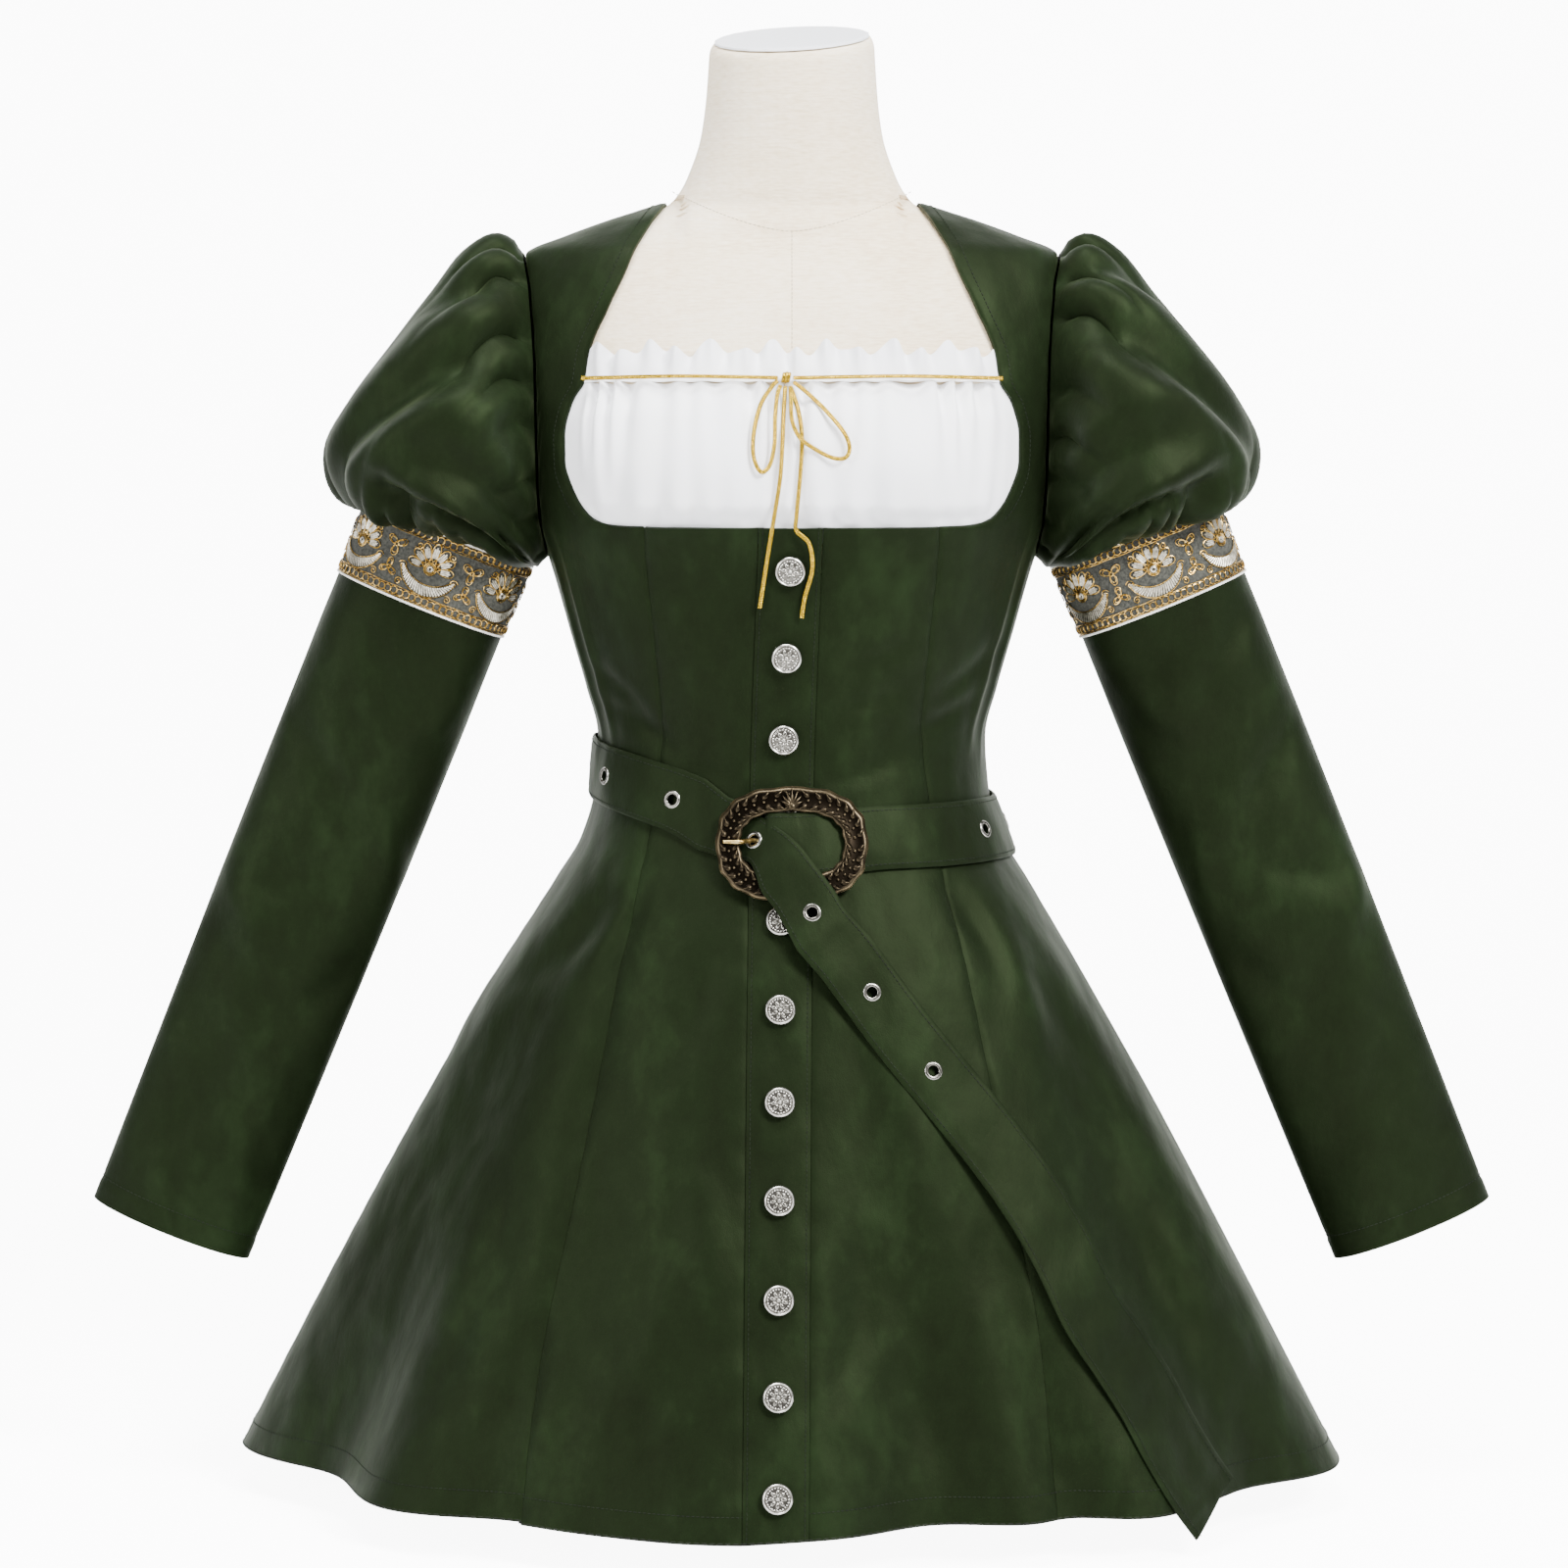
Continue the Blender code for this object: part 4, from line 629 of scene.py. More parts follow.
# %% Creases
CREASES_FRONT = (
    # x, z, half length, half width, lean from upright in degrees, height
    (-0.143, 0.358, 0.060, 0.010, 44, -0.0035),
    (-0.175, 0.330, 0.075, 0.016, 40, 0.0030),
    (-0.105, 0.372, 0.040, 0.007, 30, -0.0022),
    (-0.120, 0.300, 0.090, 0.012, 14, -0.0025),
    (0.120, 0.370, 0.050, 0.008, -28, -0.0035),
    (0.142, 0.340, 0.070, 0.014, -24, 0.0032),
    (0.190, 0.290, 0.080, 0.014, -30, -0.0030),
    (0.100, 0.505, 0.030, 0.006, 62, -0.0018),
    (-0.095, 0.500, 0.034, 0.006, -58, -0.0020),
    (-0.108, 0.520, 0.030, 0.005, -48, -0.0016),
    (0.112, 0.530, 0.034, 0.006, 52, -0.0018),
    (0.050, 0.515, 0.028, 0.006, 78, -0.0013),
    (0.058, 0.545, 0.024, 0.005, 70, -0.0010),
    (-0.050, 0.470, 0.030, 0.006, -70, -0.0012),
    (0.045, 0.470, 0.030, 0.006, 74, -0.0014),
    (-0.060, 0.330, 0.050, 0.012, 20, -0.0020),
    (-0.052, 0.190, 0.060, 0.014, -12, 0.0022),
    (-0.090, 0.120, 0.070, 0.016, 24, 0.0026),
    (0.040, 0.140, 0.060, 0.013, 10, -0.0024),
    (0.075, 0.250, 0.090, 0.014, -12, 0.0026),
    (0.085, 0.080, 0.050, 0.012, -30, -0.0022),
    (0.220, 0.170, 0.100, 0.016, -26, -0.0036),
    (0.255, 0.150, 0.090, 0.014, -30, 0.0032),
    (-0.240, 0.160, 0.100, 0.018, 30, 0.0034),
    (-0.200, 0.140, 0.100, 0.014, 26, -0.0030),
    (-0.150, 0.090, 0.060, 0.012, 18, 0.0022),
)
CREASES_BACK = (
    (-0.120, 0.350, 0.060, 0.010, 36, -0.0032), (0.125, 0.345, 0.065, 0.012, -38, -0.0034),
    (0.030, 0.345, 0.060, 0.012, -8, 0.0024), (-0.045, 0.330, 0.070, 0.012, 14, -0.0026),
    (-0.190, 0.230, 0.100, 0.016, 30, 0.0034), (0.180, 0.220, 0.110, 0.016, -26, 0.0034),
    (0.090, 0.180, 0.090, 0.014, -14, -0.0030), (-0.080, 0.140, 0.080, 0.014, 16, 0.0030),
    (0.070, 0.500, 0.040, 0.007, 60, -0.0020), (-0.066, 0.505, 0.036, 0.006, -64, -0.0020),
    (0.095, 0.560, 0.050, 0.008, 40, -0.0018), (-0.100, 0.570, 0.044, 0.008, -36, -0.0018),
    (0.000, 0.520, 0.050, 0.008, 86, -0.0014), (0.105, 0.690, 0.050, 0.010, 30, -0.0018),
    (-0.110, 0.680, 0.054, 0.010, -34, -0.0018), (0.010, 0.160, 0.110, 0.016, 3, 0.0028),
)


CREASE_DEPTH = 1.45


def crease_height(x, z, table):
    """Soft troughs and ridges, each a short leaning stroke with fading ends."""
    total = np.zeros(np.shape(x))
    for at_x, at_z, half, wide, lean, height in table:
        turn = math.radians(lean)
        dx, dz = x - at_x, z - at_z
        along = (dx * math.sin(turn) + dz * math.cos(turn)) / half
        across = (dx * math.cos(turn) - dz * math.sin(turn) + 0.10 * half * along ** 2) / wide
        total += height * np.exp(-across ** 2) * np.clip(1 - along ** 2, 0, None) ** 1.5
    return total


def gown_creases(points, angle):
    front = crease_height(points[..., 0], points[..., 2], CREASES_FRONT)
    rear = crease_height(points[..., 0], points[..., 2], CREASES_BACK)
    return CREASE_DEPTH * np.where(np.cos(angle) > 0, front, rear)


def seam_dip(distance, run):
    """How a sewn seam draws the cloth in, with small uneven puckers along it."""
    pucker = 1 + 0.5 * np.sin(run / 0.0042 + 2 * np.sin(run / 0.031))
    return -0.0007 * np.exp(-(distance / 0.0018) ** 2) - 0.0005 * pucker * np.exp(-(distance / 0.007) ** 2)


print(len(CREASES_FRONT), "creases in front,", len(CREASES_BACK), "behind")

# %% Panel rows
CELL = 0.0042
LOWER_ROWS = tuple(np.linspace(0.030, 0.590, 57))
STRAP = Table(
    ("step", "x", "z", "side_z"),
    [
        (0, 0.0930, 0.6250, 0.6000), (1, 0.1130, 0.6258, 0.6045), (2, 0.1255, 0.6290, 0.6110),
        (3, 0.1330, 0.6360, 0.6200), (4, 0.1400, 0.6480, 0.6330), (5, 0.1455, 0.6660, 0.6520),
        (6, 0.1455, 0.6830, 0.6720), (7, 0.1400, 0.7040, 0.6950), (8, 0.1320, 0.7170, 0.7110),
        (9, 0.1290, 0.7350, 0.7290), (10, 0.1170, 0.7625, 0.7540), (11, 0.1060, 0.7860, 0.7760),
        (12, 0.0975, 0.8060, 0.7900), (13, 0.0895, 0.8200, 0.7965), (14, 0.0820, 0.8325, 0.7990),
    ],
)
BACK_STRAP = Table(
    ("step", "x", "z", "side_z"),
    [
        (0, 0.0665, 0.6120, 0.6000), (1, 0.0685, 0.6280, 0.6060), (2, 0.0700, 0.6450, 0.6180),
        (3, 0.0720, 0.6700, 0.6430), (4, 0.0738, 0.7000, 0.6780), (5, 0.0745, 0.7300, 0.7120),
        (6, 0.0735, 0.7600, 0.7450), (7, 0.0720, 0.7820, 0.7700), (8, 0.0705, 0.7980, 0.7870),
        (9, 0.0720, 0.8080, 0.7935), (10, 0.0745, 0.8170, 0.7970), (11, 0.0780, 0.8255, 0.7985),
        (12, 0.0820, 0.8325, 0.7990),
    ],
)
PLACKET_HALF = 0.020
PLACKET_PROUD = 0.0008
SEAM_ANGLE = 0.0006


def gap_angle(x, z):
    return SEAM_GAP / 2 * abs(angle_at(x + 0.002, z) - angle_at(x, z)) / 0.002


def seam_mark(x, z, side):
    return angle_at(x, z) + side * gap_angle(x, z), z


def back_mark(x, z, side):
    return math.pi - seam_mark(x, z, side)[0], z


def hem_row(left, right):
    return (left, hem_z(left)), (right, hem_z(right))


def front_rows(left_x, right_x):
    low = hem_row(seam_mark(left_x(HEM_Z), HEM_Z, 1)[0], seam_mark(right_x(HEM_Z), HEM_Z, -1)[0])
    heights = LOWER_ROWS + tuple(np.linspace(LOWER_ROWS[-1], UNDERBUST_Z, 6)[1:])
    return [low] + [(seam_mark(left_x(z), z, 1), seam_mark(right_x(z), z, -1)) for z in heights]


def side_rows(strap, column, mark, outer_angle):
    """Rows of a side piece, close enough above the waist for its neckline to run smooth."""
    rows = [hem_row(mark(SEAMS(column, HEM_Z), HEM_Z, 1)[0], outer_angle(HEM_Z))]
    for z in LOWER_ROWS:
        rows.append((mark(SEAMS(column, z), z, 1), (outer_angle(z), z)))
    steps = np.linspace(0, strap.key[-1], 8 * (len(strap.key) - 1) + 1)
    for step in steps:
        x, z, side_z = (float(strap(name, step)) for name in ("x", "z", "side_z"))
        if step == 0:
            x = float(SEAMS(column, z))
            rise = np.linspace(LOWER_ROWS[-1], z, 6)[1:-1]
            rows += [(mark(SEAMS(column, h), h, 1), (outer_angle(0.6), lerp(0.59, side_z, k))) for h, k in zip(rise, (0.2, 0.4, 0.6, 0.8))]
        inner = mark(min(x, BODY("half_width", z)), z, 1)[0]
        if step == steps[-1]:
            inner = outer_angle(z)
        rows.append(((inner, z), (outer_angle(side_z), side_z)))
    return rows


def mirrored(rows):
    return [((-b[0], b[1]), (-a[0], a[1])) for a, b in rows]


def refine(rows, cell=CELL):
    """Finer rows between a panel's own: angle and height at its left and right edge."""
    rows = np.array(rows, float).reshape(len(rows), 4)
    ends = [surface(rows[:, c], rows[:, c + 1]) for c in (0, 2)]
    steps = np.max([np.linalg.norm(np.diff(e, axis=0), axis=1) for e in ends], axis=0)
    run = np.concatenate(([0], np.cumsum(steps)))
    table = Table(("run", "a", "za", "b", "zb"), np.column_stack([run, rows]))
    fine = np.linspace(0, run[-1], int(run[-1] / cell) + 1)
    return [table(name, fine)[:, None] for name in ("a", "za", "b", "zb")]


print("rows of the side front:", len(LOWER_ROWS) + 1 + len(STRAP.key))

# %% Sew the panels
LAID = {}


def sheet_facts(made, grid, flat):
    """Say what flat piece of cloth this was cut from, and print what it covers now."""
    cells = np.cross(np.diff(grid, axis=1)[:-1], np.diff(grid, axis=0)[:, :-1])
    covered = np.linalg.norm(cells, axis=-1).sum()
    print(f"{made.name}: {covered:.4f} m2 of cloth from a cut of {flat[0]:.3f} x {flat[1]:.3f} m")


def panel(name, rows, flat, out=0.0, thick=WALL):
    left_angle, left_z, right_angle, right_z = refine(rows)
    width = np.linalg.norm(np.diff(surface(
        lerp(left_angle[0], right_angle[0], np.linspace(0, 1, 30)), HEM_Z), axis=0), axis=1).sum()
    columns = max(int(width / CELL), 10)
    share = np.linspace(0, 1, columns + 1)
    share = lerp(share, (1 - np.cos(np.pi * share)) / 2, 0.45)
    angle, z = lerp(left_angle, right_angle, share), lerp(left_z, right_z, share)
    normal = outward(angle, z)
    base = surface(angle, z) + out * normal
    left, run = walk(base, 1), walk(base, 0)
    right = left[:, -1:] - left
    relief = gown_creases(base, angle) + seam_dip(left, run) + seam_dip(right, run)
    outer = base + relief[..., None] * normal
    made = wall(name, outer, outer - thick * normal)
    finish_piece(made, VELVET, "velvet", name.replace("_velvet", ""))
    sheet_facts(made, outer, flat)
    LAID[name] = {"grid": outer, "normal": normal, "left": left, "right": right, "run": run}
    return made


def placket_edge(side):
    return lambda z: PLACKET("shift", z) + side * PLACKET_HALF


def princess(side):
    return lambda z: side * SEAMS("front", z)


def front_outer(z):
    return armhole_angle(z) - SEAM_ANGLE


def back_outer(z):
    return math.pi - armhole_angle(z) + SEAM_ANGLE


panel("placket_velvet", front_rows(placket_edge(-1), placket_edge(1)), (0.043, 0.640),
      PLACKET_PROUD, WALL + PLACKET_PROUD)
panel("front_left_velvet", front_rows(princess(-1), placket_edge(-1)), (0.165, 0.650))
panel("front_right_velvet", front_rows(placket_edge(1), princess(1)), (0.175, 0.650))
side_front = side_rows(STRAP, "front", seam_mark, front_outer)
panel("side_front_right_velvet", side_front, (0.390, 0.900))
panel("side_front_left_velvet", mirrored(side_front), (0.390, 0.900))
side_back = side_rows(BACK_STRAP, "back", back_mark, back_outer)
panel("side_back_right_velvet", side_back, (0.400, 0.900))
panel("side_back_left_velvet", mirrored(side_back), (0.400, 0.900))

# %% [markdown]
# The centre back is cut on the fold, so it is one piece with a shallow scoop at the neck.

# %% Centre back
BACK_HEIGHTS = LOWER_ROWS + (0.625, 0.665, 0.700, 0.730, 0.760, 0.782, 0.798)


def centre_back():
    def first(z):
        return math.pi - seam_mark(SEAMS("back", z), z, -1)[0]

    rows = [((first(z), z), (2 * math.pi - first(z), z)) for z in (HEM_Z,) + BACK_HEIGHTS]
    left_angle, left_z, right_angle, right_z = refine(rows)
    share = np.linspace(0, 1, 84)
    angle, z = lerp(left_angle, right_angle, share), lerp(left_z, right_z, share)
    dip = 0.012 * (1 - (2 * share - 1) ** 2) * smoothstep((z - 0.70) / 0.098)
    lift = (hem_z(angle) - HEM_Z) * (1 - smoothstep((z - HEM_Z) / 0.04))
    z = z - dip + lift
    normal = outward(angle, z)
    base = surface(angle, z)
    left, run = walk(base, 1), walk(base, 0)
    right = left[:, -1:] - left
    relief = gown_creases(base, angle) + seam_dip(left, run) + seam_dip(right, run)
    outer = base + relief[..., None] * normal
    made = wall("back_velvet", outer, outer - WALL * normal)
    finish_piece(made, VELVET, "velvet", "back")
    sheet_facts(made, outer, (0.390, 0.830))
    LAID["back_velvet"] = {"grid": outer, "normal": normal, "left": left, "right": right, "run": run}


centre_back()

# %% [markdown]
# ## Sleeves
# Each sleeve has a puff that is pleated into the armhole and gathered into a narrow band, and a
# straight sleeve below it. The rings of the right sleeve are worked out once, and the left one
# is its mirror image with creases of its own.

# %% Sleeve rings
SLEEVE_LEAN = math.radians(22.2)
SLEEVE_LENGTH = 0.4944
SLEEVE_Y = 0.004
BAND_HEIGHT = 0.0500
AXIS = np.array((math.sin(SLEEVE_LEAN), 0, -math.cos(SLEEVE_LEAN)))
ACROSS = np.array((math.cos(SLEEVE_LEAN), 0, math.sin(SLEEVE_LEAN)))
AHEAD = np.array((0.0, -1.0, 0.0))
BAND_TOP = np.array((0.2225, SLEEVE_Y, 0.6190))
SLEEVE = Table(
    ("down", "half_width", "half_depth"),
    [
        (0.000, 0.0575, 0.0410), (0.050, 0.0568, 0.0380), (0.150, 0.0570, 0.0310),
        (0.300, 0.0562, 0.0270), (0.494, 0.0544, 0.0250),
    ],
)
PUFF = (
    # outer x, outer z, inner x, inner z, half depth
    (0.1900, 0.8090, 0.1620, 0.6000, 0.0650), (0.2095, 0.8000, 0.1640, 0.5975, 0.0790),
    (0.2330, 0.7745, 0.1660, 0.5960, 0.0880), (0.2605, 0.7390, 0.1675, 0.5955, 0.0930),
    (0.2860, 0.7040, 0.1685, 0.5965, 0.0920), (0.3005, 0.6760, 0.1690, 0.5985, 0.0850),
    (0.3000, 0.6560, 0.1690, 0.6010, 0.0750), (0.2925, 0.6420, 0.1688, 0.6025, 0.0620),
    (0.2825, 0.6385, 0.1685, 0.6015, 0.0500),
)


def sleeve_ring(down, turn, out=0.0):
    down, turn = np.broadcast_arrays(down, turn)
    wide = (SLEEVE("half_width", down) + out) * np.cos(turn)
    deep = (SLEEVE("half_depth", down) + out) * np.sin(turn)
    return BAND_TOP + down[..., None] * AXIS + wide[..., None] * ACROSS + deep[..., None] * AHEAD


def armhole_ring(turn):
    middle, half = (UNDERARM_Z + SHOULDER_END_Z) / 2, (SHOULDER_END_Z - UNDERARM_Z) / 2
    z = middle + half * np.cos(turn)
    angle = armhole_angle(z)
    return cloth(np.where(np.sin(turn) >= 0, angle, math.pi - angle), z) + (0.0006, 0, 0)


def puff_ring(row, turn):
    outer, inner = np.array((row[0], SLEEVE_Y, row[1])), np.array((row[2], SLEEVE_Y, row[3]))
    middle, reach = (outer + inner) / 2, (outer - inner) / 2
    return middle + np.cos(turn)[:, None] * reach + row[4] * np.sin(turn)[:, None] * AHEAD


def through(rings, spacing):
    """A smooth grid through rings, with new rows this far apart."""
    rings = np.asarray(rings)
    steps = np.linalg.norm(np.diff(rings, axis=0), axis=-1).mean(axis=1)
    key = np.concatenate(([0], np.cumsum(steps)))
    slope = np.gradient(rings, key, axis=0)
    goal = np.linspace(0, key[-1], int(key[-1] / spacing) + 1)
    i = np.clip(np.searchsorted(key, goal) - 1, 0, len(key) - 2)
    width = (key[i + 1] - key[i])[:, None, None]
    t = ((goal - key[i]) / (key[i + 1] - key[i]))[:, None, None]
    return (
        rings[i] * (1 + 2 * t) * (1 - t) ** 2 + slope[i] * width * t * (1 - t) ** 2
        + rings[i + 1] * t * t * (3 - 2 * t) + slope[i + 1] * width * t * t * (t - 1)
    )


print("sleeve length below the puff in mm:", SLEEVE_LENGTH / MM)

# %% Puffed sleeve heads
PUFF_TURNS = 224
PUFF_CREASES = (
    # turn in degrees, share down the puff, half length, half width in metres, lean, height
    (42, 0.46, 0.135, 0.008, -11, -0.0110), (56, 0.44, 0.120, 0.010, -11, 0.0060),
    (28, 0.46, 0.120, 0.010, -9, 0.0050), (27, 0.20, 0.050, 0.006, -12, -0.0065),
    (100, 0.36, 0.080, 0.010, -22, -0.0060), (86, 0.34, 0.070, 0.011, -20, 0.0045),
    (92, 0.70, 0.050, 0.011, -52, -0.0075), (104, 0.62, 0.050, 0.012, -50, 0.0060),
    (128, 0.52, 0.070, 0.010, -26, -0.0055), (66, 0.80, 0.034, 0.008, 14, -0.0065),
    (50, 0.84, 0.034, 0.007, 4, 0.0050), (140, 0.74, 0.040, 0.010, -40, 0.0045),
    (-30, 0.45, 0.060, 0.012, -10, -0.0045), (-62, 0.50, 0.060, 0.010, -16, 0.0050),
    (-95, 0.45, 0.070, 0.010, 4, -0.0048), (-126, 0.52, 0.055, 0.010, 14, 0.0046),
    (-80, 0.72, 0.040, 0.008, -6, -0.0040), (160, 0.5, 0.050, 0.012, 0, -0.0030),
)


def tube_crease(turns, share, length, table, seed):
    """Creases on a tube, placed by turn and by share of its length, moved round by a seed."""
    girth = 0.26
    total = np.zeros(np.broadcast(turns, share).shape)
    for at, down, half, wide, lean, height in table:
        tilt = math.radians(lean)
        dx = around(np.degrees(turns) - at - seed) / 360 * girth
        dz = (share - down) * length
        along = (dx * math.sin(tilt) + dz * math.cos(tilt)) / half
        across = (dx * math.cos(tilt) - dz * math.sin(tilt)) / wide
        total += height * np.exp(-across ** 2) * np.clip(1 - along ** 2, 0, None) ** 1.5
    return total


def pleats(turn, count, wander, shift):
    """Uneven gathers round a ring: narrow valleys between round crests."""
    phase = count / 2 * turn + wander * np.sin(3 * turn + shift) + 0.6 * wander * np.sin(7 * turn + 2 * shift)
    return np.abs(np.sin(phase)) ** 0.65 - 0.58


def puff(side, seed):
    turn = np.arange(PUFF_TURNS) / PUFF_TURNS * 2 * np.pi
    rings = [armhole_ring(turn)] + [puff_ring(row, turn) for row in PUFF]
    rings.append(sleeve_ring(-SEAM_GAP, turn, 0.0018))
    grid = through(rings, 0.0036)
    normal = normals_of(grid, closed=True)
    across = grid[0, 0] - grid[0, PUFF_TURNS // 2]
    normal *= 1 if normal[20, 0].dot(across) > 0 else -1
    share = np.linspace(0, 1, len(grid))[:, None]
    top = np.clip(np.cos(turn / 2), 0, 1)[None, :] ** 0.8
    top = np.where(np.abs(turn - np.pi) < 0.5 * np.pi, top, 1.0)
    head = 0.0095 * pleats(turn, 18, 0.6, seed) * smoothstep(share / 0.05) * np.exp(-(share / 0.27) ** 2) * top
    cuff = 0.0086 * pleats(turn, 22, 0.9, seed + 1) * smoothstep((1 - share) / 0.04)
    outside = 0.35 + 0.65 * smoothstep((np.cos(turn) + 0.75) / 0.9)
    cuff = cuff * np.exp(-((1 - share) / 0.23) ** 2) * outside
    middle = tube_crease(turn[None, :], share, 0.26, PUFF_CREASES, 9 * seed)
    middle = 1.35 * middle * smoothstep(share / 0.12) * smoothstep((1 - share) / 0.12)
    outer = grid + (head + cuff + middle)[..., None] * normal
    inner = outer - 0.0016 * normal
    name = "right" if side > 0 else "left"
    flip = np.array((side, 1, 1))
    made = wall(f"sleeve_puff_{name}_velvet", outer * flip, inner * flip, closed=True)
    finish_piece(made, VELVET, "velvet", f"sleeve_puff_{name}")
    sheet_facts(made, outer, (0.480, 0.290))


puff(1, 0.0)
puff(-1, 1.3)

# %% Straight sleeves
SLEEVE_TURNS = 132
SLEEVE_CREASES = (
    (70, 0.10, 0.040, 0.010, 40, -0.0022), (110, 0.16, 0.045, 0.012, -30, 0.0024),
    (60, 0.27, 0.045, 0.010, 50, -0.0022), (115, 0.33, 0.050, 0.012, 36, 0.0026),
    (80, 0.42, 0.050, 0.012, -44, -0.0024), (50, 0.52, 0.045, 0.012, 30, 0.0020),
    (120, 0.58, 0.050, 0.012, -26, -0.0020), (85, 0.70, 0.060, 0.014, 20, 0.0022),
    (60, 0.82, 0.050, 0.012, -24, -0.0018), (105, 0.88, 0.045, 0.012, 12, 0.0016),
    (-70, 0.15, 0.045, 0.012, 30, -0.0024), (-110, 0.28, 0.050, 0.012, -30, 0.0024),
    (-80, 0.42, 0.055, 0.012, 36, -0.0024), (-60, 0.60, 0.050, 0.012, -20, 0.0022),
    (-100, 0.78, 0.055, 0.012, 16, -0.0020),
)


def straight_sleeve(side, seed):
    turn = np.arange(SLEEVE_TURNS) / SLEEVE_TURNS * 2 * np.pi
    down = np.linspace(BAND_HEIGHT + SEAM_GAP, SLEEVE_LENGTH, 116)[:, None]
    bends = ((0.10, 0.0030), (0.19, -0.0020), (0.28, 0.0020), (0.37, -0.0015))
    slant = down + 0.018 * np.cos(turn)
    soft = sum(h * np.exp(-((slant - d) / 0.022) ** 2) for d, h in bends) * np.abs(np.sin(turn))
    share = (down - down[0]) / (down[-1] - down[0])
    length = SLEEVE_LENGTH - BAND_HEIGHT
    fine = 1.5 * tube_crease(turn[None, :], share, length, SLEEVE_CREASES, 14 * seed)
    fade = smoothstep(share / 0.05) * smoothstep((1 - share) / 0.06)
    stitched = -0.0005 * np.exp(-(((1 - share) * length - 0.0160) / 0.0012) ** 2)
    swell = 0.0004 * smoothstep((0.016 - (1 - share) * length) / 0.003)
    outer = sleeve_ring(down, turn[None, :], soft + fine * fade + stitched + swell)
    inner = sleeve_ring(down, turn[None, :], soft + fine * fade + stitched + swell - 0.0016)
    name = "right" if side > 0 else "left"
    flip = np.array((side, 1, 1))
    made = wall(f"sleeve_lower_{name}_velvet", outer * flip, inner * flip, closed=True)
    finish_piece(made, VELVET, "velvet", f"sleeve_lower_{name}")
    sheet_facts(made, outer, (0.275, 0.480))
    LAID[f"sleeve_{name}"] = {"grid": outer * flip}


straight_sleeve(1, 0.0)
straight_sleeve(-1, 1.0)

# %% [markdown]
# ## Trim round the sleeves
# Below each puff runs a strip of grey net with metal threads couched on it. A strip like this is
# laid flat first, so its pattern is drawn in its own two measures, along the strip and up it,
# and one function lays any point of that drawing round the sleeve.

# %% Net ground
BAND_RELIEF = Table(("down", "out"), [(0.0, 0.0004), (0.005, 0.0012), (0.045, 0.0010), (0.050, 0.0004)])
RING_TURNS = np.linspace(-0.5 * np.pi, 1.5 * np.pi, 721)
RING_RUN = walk(sleeve_ring(BAND_HEIGHT / 2, RING_TURNS, 0.0011)[:, None], 0)[:, 0]
TRIM_GIRTH = RING_RUN[-1]
TRIM_REPEATS = 6


def on_band(side, along, up, out):
    """A place of the strip: along from the middle of its front, up from its middle, and out."""
    along, up = np.broadcast_arrays(np.asarray(along, float), np.asarray(up, float))
    turn = np.interp((along + TRIM_GIRTH / 2) % TRIM_GIRTH, RING_RUN, RING_TURNS)
    down = BAND_HEIGHT / 2 - up
    point = sleeve_ring(down, turn, BAND_RELIEF("out", down) + out)
    wide = np.cos(turn)[..., None] / SLEEVE("half_width", down)[..., None] * ACROSS
    deep = np.sin(turn)[..., None] / SLEEVE("half_depth", down)[..., None] * AHEAD
    flip = np.array((side, 1, 1))
    return point * flip, unit(wide + deep) * flip


def net_ground(side):
    name = "right" if side > 0 else "left"
    turn = np.arange(120) / 120 * 2 * np.pi
    down = np.linspace(0, BAND_HEIGHT, 17)[:, None]
    relief = BAND_RELIEF("out", down)
    flip = np.array((side, 1, 1))
    outer = sleeve_ring(down, turn[None, :], relief) * flip
    inner = sleeve_ring(down, turn[None, :], relief - 0.0012) * flip
    made = wall(f"sleeve_band_{name}_net", outer, inner, closed=True)
    finish_piece(made, NET, "metallic_trim", f"sleeve_band_{name}")
    return made, outer


print("trim runs", round(TRIM_GIRTH / MM), "mm round the sleeve")

# %% Threads of the trim
def stroke(bundle, side, along, up, radius, out=0.0006, sides=5, flat=0.8, closed=False):
    """One thread drawn on the strip, its measures in metres."""
    path, normals = on_band(side, along, up, out)
    bundle.tube(path, normals, radius, sides, flat, closed)


def petal(length, width, count=15):
    """A teardrop loop from its root, pointing up."""
    t = np.linspace(0, 2 * np.pi, count)
    return width / 2 * np.sin(t) * np.sin(t / 2) ** 0.7, length * (1 - np.cos(t)) / 2


def turned_drawing(x, y, degrees, at):
    a = math.radians(degrees)
    return at[0] + x * math.cos(a) + y * math.sin(a), at[1] - x * math.sin(a) + y * math.cos(a)


def fan(gold, silver, side, at):
    """Seven petals round a boss."""
    for number in range(7):
        lean = -84 + 28 * number
        length = (10.6 + 1.8 * math.cos(math.radians(lean))) * MM
        root_x, root_y = turned_drawing(0, 4.6 * MM, lean, at)
        x, y = turned_drawing(*petal(length, 6.4 * MM), lean, (root_x, root_y))
        stroke(gold, side, x, y, 0.40 * MM)
        for shift in (-1.2, 0.0, 1.2):
            rib = np.linspace(0.22, 0.80 - 0.08 * abs(shift), 4) * length
            x, y = turned_drawing(np.full(4, shift * MM), rib, lean, (root_x, root_y))
            stroke(silver, side, x, y, 0.66 * MM, 0.0005, 5, 0.7)
    turn = np.arange(14) / 14 * 2 * np.pi
    for radius, bundle, thick in ((4.0, gold, 0.48), (2.9, gold, 0.42), (1.5, silver, 0.85)):
        stroke(
            bundle, side, at[0] + radius * MM * np.cos(turn), at[1] + radius * MM * np.sin(turn),
            thick * MM, 0.0008, closed=True,
        )


